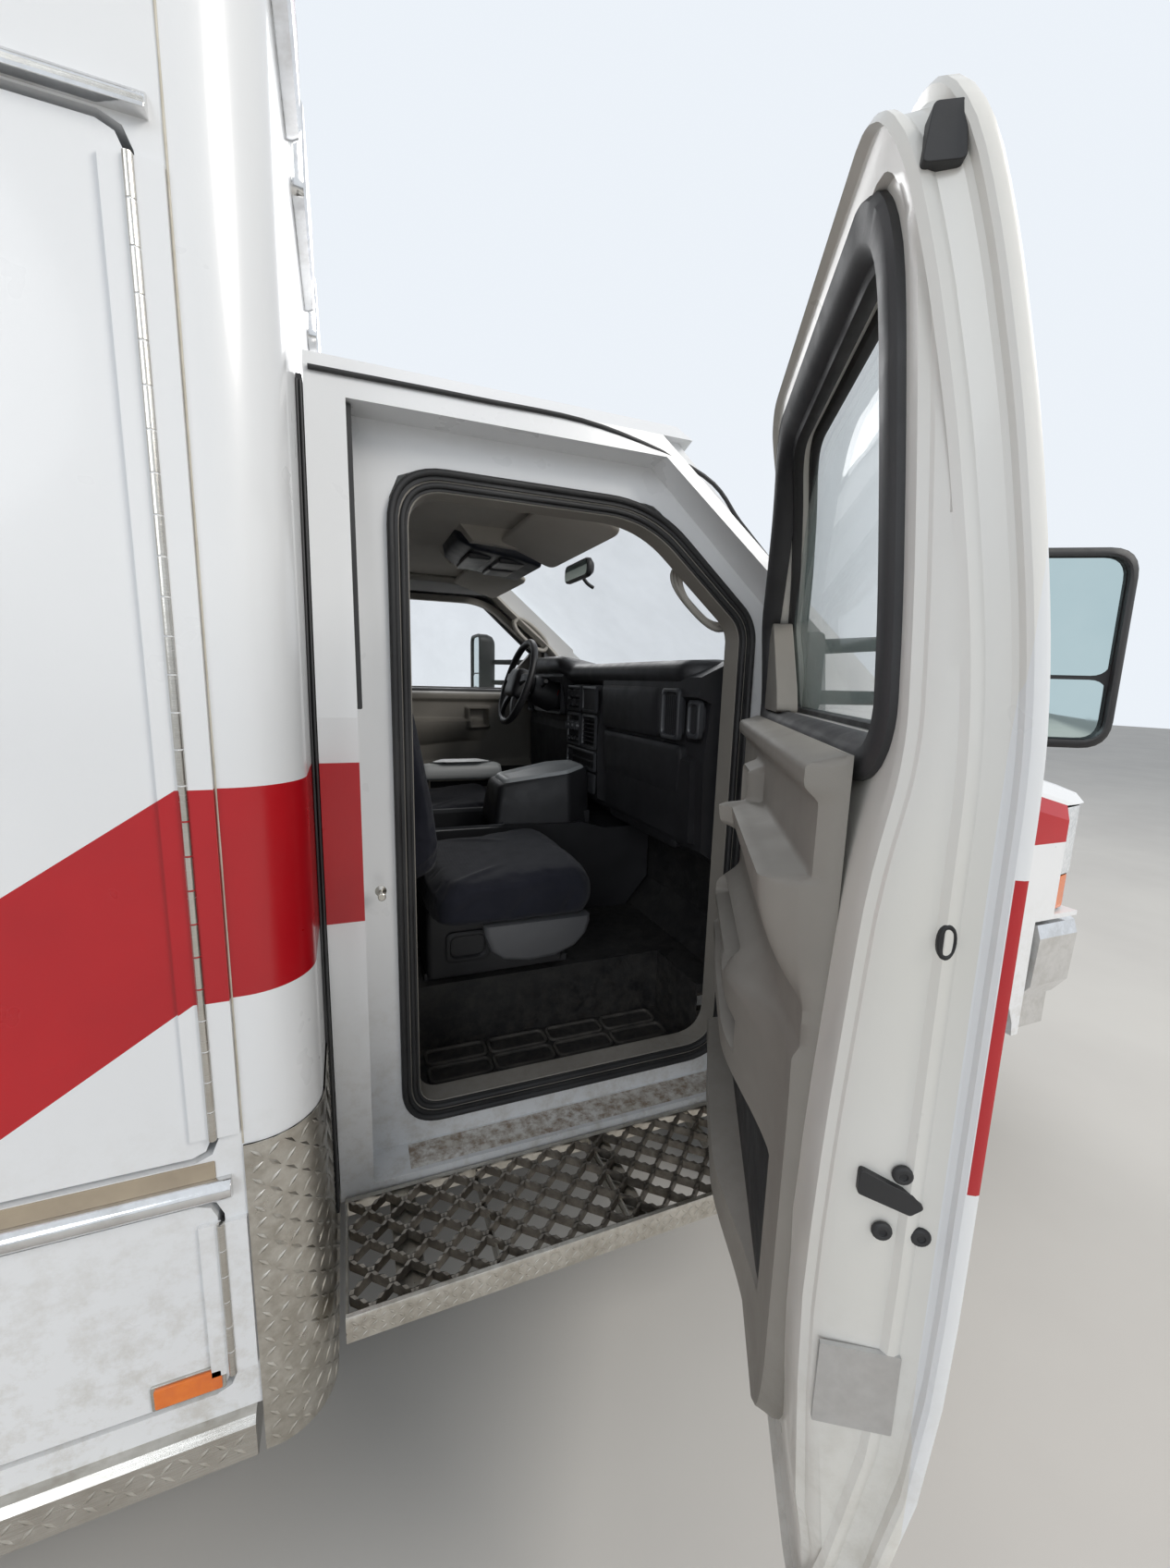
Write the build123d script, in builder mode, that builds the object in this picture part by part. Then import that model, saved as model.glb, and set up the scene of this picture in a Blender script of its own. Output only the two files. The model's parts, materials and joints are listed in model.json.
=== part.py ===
"""Ambulance with a separate box body on a cutaway van chassis.

Millimetres. X forward, Y to the vehicle's left, Z up.
The origin is on the ground, on the centreline, below the rear axle.
"""
import os
from math import acos, atan, atan2, cos, degrees, radians, sin, tan

from build123d import *

os.makedirs("parts", exist_ok=True)

LEFT = 1
RIGHT = -1
SIDES = (("left", LEFT), ("right", RIGHT))

# Running gear
WHEELBASE = 4039.0
TYRE_RADIUS = 372.0
TYRE_WIDTH = 223.0
BEAD_RADIUS = 205.0
BEAD_GAP = 0.4
RIM_WIDTH = 165.0
RIM_BARREL = 12.0
RIM_FLANGE = 18.0
FRONT_TRACK_HALF = 860.0
KINGPIN_Y = 780.0
REAR_INNER_Y = 760.0
DUAL_SPACING = 270.0
HUB_BORE = 41.0
HUB_FACE = 120.0
HUB_DEPTH = 30.0
RIM_DISH = 30.0
HAND_HOLE = 20.0
HAND_HOLE_CIRCLE = 155.0
HAND_HOLES = 4

# Gap between a piece and what it rests on or turns about
SEAT_GAP = 0.3

# Flat chords that stand for round forms
WHEEL_SIDES = 24
RIM_SIDES = 16
EYE_SIDES = 8
ROD_SIDES = 12
CORNER_STEPS = 2

# Ladder frame
RAIL_Y = 430.0
RAIL_WIDTH = 70.0
RAIL_HEIGHT = 180.0
RAIL_WEB = 8.0
RAIL_TOP_REAR = 680.0
RAIL_TOP_FRONT = 620.0
RAIL_KINK_X = WHEELBASE - 1609.0
RAIL_KINK = 160.0
FRAME_REAR_X = -1590.0
FRAME_FRONT_X = WHEELBASE + 651.0

# Box body
CAB_REAR = WHEELBASE - 1517.0
CAB_GAP = 12.0
BOX_FRONT = CAB_REAR - CAB_GAP
BOX_REAR = -1660.0
BOX_HALF = 1219.5
BOX_TOP = 2770.0
ROOF_SLAB = 70.0
ROOF_EDGE_RADIUS = 55.0
SKIRT_Z = 384.0
WALL = 50.0
CORNER_RADIUS = 90.0
CORNER_CHORDS = 5
SEAM = 102.0
FLOOR_Z = 740.0
FLOOR_THICK = 60.0
BOX_ARCH_RADIUS = 470.0
SHEET = 4.0
WHEELHOUSE_TOP = 866.0
WHEELHOUSE_INNER_Y = 620.0

# Box doors
DOOR_GAP = 9.0
PANEL = 45.0
HINGE_OUT = 8.5
HINGE_BARREL = 4.5
HINGE_LEAF = 28.0
BAY_DEPTH = 520.0
REAR_DOOR_HALF = 622.0
REAR_DOOR_BOTTOM = 806.0
REAR_DOOR_TOP = 2300.0
WINDOW_RADIUS = 60.0

# Cab, set out from the front axle
ROCKER_Y = 942.0
ROCKER_Z = 443.0
SILL_TOP = 472.0
SIDE_Y = 1000.0
BELT_Z = 1430.0
GUTTER_Y = 925.0
GUTTER_Z = 2000.0
SIDE_LEAN = (SIDE_Y - GUTTER_Y) / (GUTTER_Z - BELT_Z)
ROOF_CROWN = 2092.0
ROOF_THICK = 30.0
FLANGE_OUT = 858.0
FLANGE_IN = 790.0
PILLAR_STEP = 900.0
CAB_DOOR_GAP = 8.0
DOOR_REAR_X = CAB_REAR + 72.0
DOOR_FRONT_X = WHEELBASE - 441.0
DOOR_BOTTOM = 480.0
DOOR_TOP = 1950.0
DOOR_INNER_Y = 872.0
DOOR_FRAME = 65.0
DOOR_EDGE = 30.0
DOOR_EDGE_LAP = 12.0
DOOR_HINGE_X = DOOR_FRONT_X - 53.0
DOOR_HINGE_Y = 978.0
DOOR_OPEN_ANGLE = 59.0
HINGE_HEIGHTS = (740.0, 1210.0)
HINGE_HALF = 30.0
HINGE_SKIN = 6.0
HINGE_EYE = 11.0
PIN_RADIUS = 6.0
FENDER_REAR = DOOR_FRONT_X + 12.0
FENDER_FRONT = WHEELBASE + 661.0
FIREWALL_X = WHEELBASE - 399.0
CAB_FLOOR_Z = 660.0
CAB_FLOOR_THICK = 25.0
ARCH_RADIUS = 440.0
COWL_Z = 1345.0
COWL_FRONT = WHEELBASE + 131.0

# Screen slope: a straight line in side view that the screen's edges follow
SLOPE_X = WHEELBASE - 839.0
SLOPE_Z = 2030.0
SLOPE = 0.822
SLOPE_ANGLE = degrees(atan(SLOPE))
SCREEN_SAG = 70.0
SCREEN_THICK = 7.0

# Steering wheel
WHEEL_CENTRE = (WHEELBASE - 787.0, 420.0, 1492.0)
WHEEL_RADIUS = 190.0
WHEEL_TILT = 17.6
WHEEL_RIM = 15.0
COLUMN_RADIUS = 48.0
SHAFT_RADIUS = 10.0

# Door mirrors
MIRROR_X = WHEELBASE - 789.0
MIRROR_IN = 1200.0
MIRROR_OUT = 1450.0
MIRROR_BOTTOM = 1410.0
MIRROR_TOP = 1745.0

# Running boards and bumper
BOARD_OUT = 1200.0
BOARD_TOP = 457.0
BOARD_FASCIA = 48.0
BUMPER_FRONT = WHEELBASE + 850.0
BUMPER_TOP = 800.0
BUMPER_BOTTOM = 540.0
LIP_BOTTOM = 400.0


def slope_z(x, drop=0.0):
    """Height of the screen line at x, lowered by drop."""
    return SLOPE_Z - SLOPE * (x - SLOPE_X) - drop


def slope_x(z, drop=0.0):
    """Length position of the screen line at height z."""
    return SLOPE_X + (SLOPE_Z - drop - z) / SLOPE


def block(x0, x1, y0, y1, z0, z1, mode=Mode.ADD):
    """Rectangular block between two corners."""
    with Locations(((x0 + x1) / 2, (y0 + y1) / 2, (z0 + z1) / 2)):
        Box(abs(x1 - x0), abs(y1 - y0), abs(z1 - z0), mode=mode)


def sided(side, inner, outer):
    """Y limits, low to high, of a band between two distances from the centreline."""
    return (inner, outer) if side == LEFT else (-outer, -inner)


def chords(centre, radius, start, end, steps):
    """Points on an arc from the start angle to the end angle, in degrees."""
    angles = [radians(start + (end - start) * step / steps) for step in range(steps + 1)]
    return [(centre[0] + radius * cos(angle), centre[1] + radius * sin(angle)) for angle in angles]


def eased(points, radius, steps=CORNER_STEPS):
    """Outline with its corners rounded in flat chords."""
    if not radius:
        return points
    outline = []
    for number, point in enumerate(points):
        corner = Vector(*point)
        back = (Vector(*points[number - 1]) - corner).normalized()
        ahead = (Vector(*points[(number + 1) % len(points)]) - corner).normalized()
        half = acos(back.dot(ahead)) / 2
        centre = corner + (back + ahead).normalized() * (radius / sin(half))
        first = corner + back * (radius / tan(half)) - centre
        start = degrees(atan2(first.Y, first.X))
        turn = 180 - degrees(2 * half)
        way = 1 if ahead.cross(back).Z > 0 else -1
        outline += chords((centre.X, centre.Y), radius, start, start + way * turn, steps)
    return outline


def slab(points, plane, thickness, radius=0.0, steps=CORNER_STEPS):
    """Plate with its outline on a plane."""
    with BuildPart() as plate:
        with BuildSketch(plane):
            with BuildLine():
                Polyline(*eased(points, radius, steps), close=True)
            make_face()
        extrude(amount=thickness)
    return plate.part


def slab_xz(points, y0, y1, radius=0.0, steps=CORNER_STEPS):
    """Plate with its outline in X and Z, between y0 and y1."""
    return slab(points, Plane.XZ.offset(-y1), y1 - y0, radius, steps)


def slab_yz(points, x0, x1, radius=0.0, steps=CORNER_STEPS):
    """Plate with its outline in Y and Z, between x0 and x1."""
    return slab(points, Plane.YZ.offset(x0), x1 - x0, radius, steps)


def slab_xy(points, z0, z1, radius=0.0, steps=CORNER_STEPS):
    """Plate with its outline in X and Y, between z0 and z1."""
    return slab(points, Plane.XY.offset(z0), z1 - z0, radius, steps)


def rounded_xz(x0, x1, z0, z1, y0, y1, radius, steps=CORNER_STEPS):
    """Plate between y0 and y1 with rounded corners in X and Z."""
    points = [(x0, z0), (x1, z0), (x1, z1), (x0, z1)]
    return slab_xz(points, y0, y1, radius, steps)


def rod(start, end, radius, sides=ROD_SIDES):
    """Bar between two points, with its corners at the radius."""
    axis = Vector(*end) - Vector(*start)
    with BuildPart() as bar:
        with BuildSketch(Plane(origin=start, z_dir=axis)):
            RegularPolygon(radius, sides)
        extrude(amount=axis.length)
    return bar.part


def bore(start, end, radius, sides=ROD_SIDES):
    """Cutter between two points whose flats clear a turning rod: its flats face that rod's corners."""
    axis = Vector(*end) - Vector(*start)
    with BuildPart() as hole:
        with BuildSketch(Plane(origin=start, z_dir=axis)):
            RegularPolygon(radius, sides, major_radius=False, rotation=180 / sides)
        extrude(amount=axis.length)
    return hole.part


def turned(stations, plane, sides=WHEEL_SIDES):
    """Flat-sided turned body. Stations: distance along the plane's normal, radius to the corners."""
    with BuildPart() as body:
        for along, radius in stations:
            with BuildSketch(plane.offset(along)):
                RegularPolygon(radius, sides)
        loft(ruled=True)
    return body.part


ACROSS = Plane(origin=(0, 0, 0), x_dir=(1, 0, 0), z_dir=(0, 1, 0))


# Ladder frame: two channel rails that step down ahead of the box, and cross-members
GEARBOX_CROSS_X = WHEELBASE - 789
CROSS_X = (-1500, -760, 620, 1500, RAIL_KINK_X - 30, GEARBOX_CROSS_X, FRAME_FRONT_X - 90)
GEARBOX_BOTTOM = 470.0
with BuildPart() as chassis_frame:
    for name, side in SIDES:
        y0, y1 = sided(side, RAIL_Y - RAIL_WIDTH / 2, RAIL_Y + RAIL_WIDTH / 2)
        rear_low = RAIL_TOP_REAR - RAIL_HEIGHT
        front_low = RAIL_TOP_FRONT - RAIL_HEIGHT
        kink = RAIL_KINK_X + RAIL_KINK
        rail = [
            (FRAME_REAR_X, rear_low), (RAIL_KINK_X, rear_low), (kink, front_low), (FRAME_FRONT_X, front_low),
            (FRAME_FRONT_X, RAIL_TOP_FRONT), (kink, RAIL_TOP_FRONT), (RAIL_KINK_X, RAIL_TOP_REAR),
            (FRAME_REAR_X, RAIL_TOP_REAR),
        ]
        add(slab_xz(rail, y0, y1))
        web = RAIL_WEB
        c0, c1 = sided(side, RAIL_Y - RAIL_WIDTH / 2 - 1, RAIL_Y + RAIL_WIDTH / 2 - web)
        channel = [
            (FRAME_REAR_X - 1, rear_low + web), (RAIL_KINK_X, rear_low + web), (kink, front_low + web),
            (FRAME_FRONT_X + 1, front_low + web), (FRAME_FRONT_X + 1, RAIL_TOP_FRONT - web),
            (kink, RAIL_TOP_FRONT - web), (RAIL_KINK_X, RAIL_TOP_REAR - web), (FRAME_REAR_X - 1, RAIL_TOP_REAR - web),
        ]
        add(slab_xz(channel, c0, c1), mode=Mode.SUBTRACT)
    for x in CROSS_X:
        top = RAIL_TOP_REAR if x <= RAIL_KINK_X else RAIL_TOP_FRONT
        reach = RAIL_Y + RAIL_WIDTH / 2 - RAIL_WEB
        if x == GEARBOX_CROSS_X:
            block(x - 40, x + 40, -reach, reach, top - RAIL_HEIGHT + RAIL_WEB, GEARBOX_BOTTOM)
        else:
            block(x - 40, x + 40, -reach, reach, top - 90, top - RAIL_WEB)
chassis_frame.part.label = "chassis_frame"
export_step(chassis_frame.part, "parts/chassis_frame.step")

# Engine and gearbox: closed masses at their real places
ENGINE_REAR = WHEELBASE - 349.0
GEARBOX_REAR = WHEELBASE - 1139.0
with BuildPart() as powertrain:
    block(ENGINE_REAR, WHEELBASE + 361, -260, 260, 520, 1060)
    block(GEARBOX_REAR, ENGINE_REAR, -150, 150, GEARBOX_BOTTOM, 630)
    mount_reach = RAIL_Y + RAIL_WIDTH / 2 - RAIL_WEB
    block(ENGINE_REAR + 110, ENGINE_REAR + 190, -mount_reach, mount_reach, 540, 600)
powertrain.part.label = "powertrain"
export_step(powertrain.part, "parts/powertrain.step")

# Rear axle with its driveshaft, brake plates and half-shaft spindles
SPINDLE_END = 900.0
BRAKE_PLATE_Y = 640.0
with BuildPart() as rear_axle:
    for name, side in SIDES:
        add(rod((0, 0, TYRE_RADIUS), (0, side * BRAKE_PLATE_Y, TYRE_RADIUS), 60))
        add(rod((0, side * BRAKE_PLATE_Y, TYRE_RADIUS), (0, side * (BRAKE_PLATE_Y + 20), TYRE_RADIUS), 160))
        add(rod((0, side * BRAKE_PLATE_Y, TYRE_RADIUS), (0, side * SPINDLE_END, TYRE_RADIUS), HUB_BORE - SEAT_GAP))
    case_plane = Plane(origin=(0, 0, TYRE_RADIUS), x_dir=(1, 0, 0), z_dir=(0, 1, 0))
    add(turned([(-150, 62), (-70, 160), (70, 160), (150, 62)], case_plane, ROD_SIDES))
    add(rod((120, 0, TYRE_RADIUS), (GEARBOX_REAR - 8, 0, 530), 45, 8))
rear_axle.part.label = "rear_axle"
export_step(rear_axle.part, "parts/rear_axle.step")

# Suspension: rear leaf packs on the axle with their hangers, front beams, coils and radius arms
LEAF_Y = 520.0
LEAF_HALF = 37.0
LEAF_SPAN = 690.0
LEAF_RISE = 95.0
LEAF_THICK = 52.0
LEAF_TIP = 20.0
BEAM_Z = 370.0
BEAM_HALF_X = 35.0
BEAM_HALF_Z = 30.0
KINGPIN_RADIUS = 22.0
with BuildPart() as suspension:
    for name, side in SIDES:
        y0, y1 = sided(side, LEAF_Y - LEAF_HALF, LEAF_Y + LEAF_HALF)
        low = TYRE_RADIUS + 60
        shares = (-1, -0.7, -0.35, 0, 0.35, 0.7, 1)
        under = [(share * LEAF_SPAN, low + LEAF_RISE * share ** 2) for share in shares]
        over = [(x, z + LEAF_THICK - (LEAF_THICK - LEAF_TIP) * abs(x) / LEAF_SPAN) for x, z in reversed(under)]
        add(slab_xz(under + over, y0, y1))
        h0, h1 = sided(side, RAIL_Y + RAIL_WIDTH / 2, LEAF_Y + LEAF_HALF)
        for x in (-LEAF_SPAN, LEAF_SPAN):
            block(x - 35, x + 35, h0, h1, low + LEAF_RISE - 10, low + LEAF_RISE + 90)
        b0, b1 = sided(side, 0, KINGPIN_Y)
        block(WHEELBASE - BEAM_HALF_X, WHEELBASE + BEAM_HALF_X, b0, b1, BEAM_Z - BEAM_HALF_Z, BEAM_Z + BEAM_HALF_Z)
        low_pin = (WHEELBASE, side * KINGPIN_Y, BEAM_Z - BEAM_HALF_Z)
        high_pin = (WHEELBASE, side * KINGPIN_Y, BEAM_Z + BEAM_HALF_Z)
        add(rod(low_pin, high_pin, 40))
        add(rod((WHEELBASE, side * 560, BEAM_Z), (WHEELBASE, side * 560, RAIL_TOP_FRONT + 60), 55))
        t0, t1 = sided(side, RAIL_Y + RAIL_WIDTH / 2, 615)
        block(WHEELBASE - 60, WHEELBASE + 60, t0, t1, RAIL_TOP_FRONT - 60, RAIL_TOP_FRONT + 60)
        arm_end = WHEELBASE - 859
        add(rod((WHEELBASE, side * 520, BEAM_Z), (arm_end, side * RAIL_Y, 412), 24, 8))
        a0, a1 = sided(side, RAIL_Y - 30, RAIL_Y + 30)
        block(arm_end - 40, arm_end + 40, a0, a1, 400, RAIL_TOP_FRONT - RAIL_HEIGHT)
        low_bore = (WHEELBASE, side * KINGPIN_Y, BEAM_Z - 2 * BEAM_HALF_Z)
        high_bore = (WHEELBASE, side * KINGPIN_Y, BEAM_Z + 2 * BEAM_HALF_Z)
        add(bore(low_bore, high_bore, KINGPIN_RADIUS + 2 * SEAT_GAP), mode=Mode.SUBTRACT)
suspension.part.label = "suspension"
export_step(suspension.part, "parts/suspension.step")

# Fuel tank between the rails behind the axle
TANK_HALF = RAIL_Y - RAIL_WIDTH / 2
with BuildPart() as fuel_tank:
    add(slab_yz(
        [(-TANK_HALF, 430), (TANK_HALF, 430), (TANK_HALF, 665), (-TANK_HALF, 665)], -1410, -830, 40
    ))
fuel_tank.part.label = "fuel_tank"
export_step(fuel_tank.part, "parts/fuel_tank.step")

# Exhaust: silencer outside the right rail and a tail pipe that ends ahead of the rear wheels
PIPE_Y = -585.0
PIPE_Z = 360.0
PIPE_RADIUS = 32.0
PIPE_TURN_X = 850.0
HANGERS = ((1650, 520.0), (BOX_FRONT - 160, 520.0), (WHEELBASE - 789, 490.0))
with BuildPart() as exhaust:
    add(rod((WHEELBASE - 739, PIPE_Y, PIPE_Z), (PIPE_TURN_X - PIPE_RADIUS / 2, PIPE_Y, PIPE_Z), PIPE_RADIUS, 8))
    add(rod((2300, PIPE_Y, PIPE_Z), (1700, PIPE_Y, PIPE_Z), 85))
    add(rod((PIPE_TURN_X, PIPE_Y + PIPE_RADIUS / 2, PIPE_Z), (PIPE_TURN_X - 110, -1140, 340), PIPE_RADIUS, 8))
    for x, top in HANGERS:
        block(x - 12, x + 12, PIPE_Y, -RAIL_Y - RAIL_WIDTH / 2, PIPE_Z - 10, top)
exhaust.part.label = "exhaust"
export_step(exhaust.part, "parts/exhaust.step")


def half_rim(centre_y, disc_y, side):
    """Barrel of one wheel with a dished disc that meets the hub face at disc_y, and its hand holes."""
    half = RIM_WIDTH / 2
    flange = BEAD_RADIUS + RIM_FLANGE
    inner = BEAD_RADIUS - RIM_BARREL
    way = 1 if disc_y > centre_y else -1
    dish = centre_y + way * RIM_DISH
    skin = way * RIM_BARREL
    barrel = [(-half, flange), (-half + 15, BEAD_RADIUS), (half - 15, BEAD_RADIUS), (half, flange)]
    with BuildPart() as rim:
        add(turned([(centre_y + along, radius) for along, radius in barrel], ACROSS, RIM_SIDES))
        hollow_barrel = turned([(centre_y - half - 1, inner), (centre_y + half + 1, inner)], ACROSS, RIM_SIDES)
        add(hollow_barrel, mode=Mode.SUBTRACT)
        rim_reach = BEAD_RADIUS - 2
        dished = [(dish - skin, rim_reach), (dish, rim_reach), (disc_y, HUB_FACE)]
        hollow = [(dish - skin, rim_reach - 22), (disc_y - skin, HUB_FACE - 8)]
        with BuildPart(mode=Mode.PRIVATE) as disc:
            add(turned(sorted(dished), ACROSS, RIM_SIDES))
            add(turned(sorted(hollow), ACROSS, RIM_SIDES), mode=Mode.SUBTRACT)
            with BuildSketch(ACROSS.offset(min(dish, disc_y) - 40)):
                with PolarLocations(HAND_HOLE_CIRCLE, HAND_HOLES, 180 / RIM_SIDES):
                    RegularPolygon(HAND_HOLE, 6)
            extrude(amount=abs(disc_y - dish) + 80, mode=Mode.SUBTRACT)
        add(disc.part)
    return rim.part if side == LEFT else mirror(rim.part, about=Plane.XZ)


def tyre_ring(centre_y, side):
    """Tyre: flat tread, shoulders, bulged walls and beads on the rim."""
    half = TYRE_WIDTH / 2
    bead = RIM_WIDTH / 2 - RIM_FLANGE
    walls = [(bead - 1, BEAD_RADIUS + 22), (half, 287), (half - 8, 338), (half - 34, TYRE_RADIUS)]
    stations = [(-along, radius) for along, radius in walls] + [(along, radius) for along, radius in reversed(walls)]
    seat = BEAD_RADIUS + BEAD_GAP
    with BuildPart() as tyre:
        add(turned(stations, ACROSS))
        add(turned([(-half, seat), (half, seat)], ACROSS, RIM_SIDES), mode=Mode.SUBTRACT)
    return Pos(0, side * centre_y, 0) * tyre.part


# Rear twin rims: two dished wheels back to back on one hub
REAR_DISC_Y = REAR_INNER_Y + DUAL_SPACING / 2
REAR_HUB = 78.0
for name, side in SIDES:
    with BuildPart() as rear_rims:
        add(half_rim(REAR_INNER_Y, REAR_DISC_Y, side))
        add(half_rim(REAR_INNER_Y + DUAL_SPACING, REAR_DISC_Y, side))
        add(rod((0, side * (REAR_DISC_Y - HUB_DEPTH), 0), (0, side * (REAR_DISC_Y + 75), 0), REAR_HUB))
        hub_start = (0, side * (REAR_DISC_Y - HUB_DEPTH - 1), 0)
        add(bore(hub_start, (0, side * (SPINDLE_END + 5), 0), HUB_BORE), mode=Mode.SUBTRACT)
    rear_rims.part = Pos(0, 0, TYRE_RADIUS) * rear_rims.part
    rear_rims.part.label = f"rear_rims_{name}"
    export_step(rear_rims.part, f"parts/rear_rims_{name}.step")
    with BuildPart() as rear_tyres:
        add(tyre_ring(REAR_INNER_Y, side))
        add(tyre_ring(REAR_INNER_Y + DUAL_SPACING, side))
    rear_tyres.part = Pos(0, 0, TYRE_RADIUS) * rear_tyres.part
    rear_tyres.part.label = f"rear_tyres_{name}"
    export_step(rear_tyres.part, f"parts/rear_tyres_{name}.step")

# Front knuckles, rims and tyres
FORK_IN = BEAM_HALF_Z + 5.0
FORK_OUT = FORK_IN + 26.0
FRONT_BORE = 30.0
FRONT_DISC_Y = 905.0
FRONT_HUB = 62.0
for name, side in SIDES:
    with BuildPart() as knuckle:
        add(rod((0, 0, -FORK_OUT), (0, 0, FORK_OUT), KINGPIN_RADIUS))
        for low, high in ((-FORK_OUT, -FORK_IN), (FORK_IN, FORK_OUT)):
            add(rod((0, 0, low), (0, 0, high), 40))
            k0, k1 = sided(side, 0, 66)
            block(-40, 40, k0, k1, low, high)
        w0, w1 = sided(side, 48, 66)
        block(-40, 40, w0, w1, -FORK_OUT, FORK_OUT)
        spindle_end = (0, side * (FRONT_DISC_Y + 10 - KINGPIN_Y), 0)
        add(rod((0, side * 60, 0), spindle_end, FRONT_BORE - SEAT_GAP))
        add(rod((0, side * 54, 0), (0, side * 62, 0), 150))
    knuckle.part = Pos(WHEELBASE, side * KINGPIN_Y, TYRE_RADIUS) * knuckle.part
    knuckle.part.label = f"knuckle_{name}"
    export_step(knuckle.part, f"parts/knuckle_{name}.step")
    with BuildPart() as front_rim:
        add(half_rim(FRONT_TRACK_HALF, FRONT_DISC_Y, side))
        add(rod((0, side * (FRONT_DISC_Y - HUB_DEPTH), 0), (0, side * (FRONT_DISC_Y + 60), 0), FRONT_HUB))
        hub_start = (0, side * (FRONT_DISC_Y - HUB_DEPTH - 1), 0)
        add(bore(hub_start, (0, side * (FRONT_DISC_Y + 15), 0), FRONT_BORE), mode=Mode.SUBTRACT)
    front_rim.part = Pos(WHEELBASE, 0, TYRE_RADIUS) * front_rim.part
    front_rim.part.label = f"front_rim_{name}"
    export_step(front_rim.part, f"parts/front_rim_{name}.step")
    with BuildPart() as front_tyre:
        add(Pos(WHEELBASE, 0, TYRE_RADIUS) * tyre_ring(FRONT_TRACK_HALF, side))
    front_tyre.part.label = f"front_tyre_{name}"
    export_step(front_tyre.part, f"parts/front_tyre_{name}.step")


def skin_section(inner, bottom, top, x0, x1, side, drop=0.0):
    """Band of the cab side between its skin and an inner plane, from bottom to top, along x0 to x1.

    The skin bulges from the rocker to the belt and leans in above it.
    drop moves the outer face inward.
    """
    with BuildPart() as band:
        with BuildSketch(Plane.YZ.offset(x0)):
            with BuildLine():
                ThreePointArc(
                    (side * (ROCKER_Y - drop), ROCKER_Z), (side * (SIDE_Y - 15 - drop), 850),
                    (side * (SIDE_Y - drop), 1250),
                )
                Polyline(
                    (side * (SIDE_Y - drop), 1250), (side * (SIDE_Y - drop), BELT_Z),
                    (side * (GUTTER_Y - drop), GUTTER_Z), (side * (GUTTER_Y - SIDE_LEAN * 60 - drop), GUTTER_Z + 60),
                    (side * inner, GUTTER_Z + 60), (side * inner, ROCKER_Z), (side * (ROCKER_Y - drop), ROCKER_Z),
                )
            make_face()
        extrude(amount=x1 - x0)
        y0, y1 = sided(side, inner - 1, SIDE_Y + 1)
        if bottom > ROCKER_Z:
            block(x0 - 1, x1 + 1, y0, y1, ROCKER_Z - 1, bottom, mode=Mode.SUBTRACT)
        if top < GUTTER_Z + 60:
            block(x0 - 1, x1 + 1, y0, y1, top, GUTTER_Z + 61, mode=Mode.SUBTRACT)
    return band.part


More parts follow.
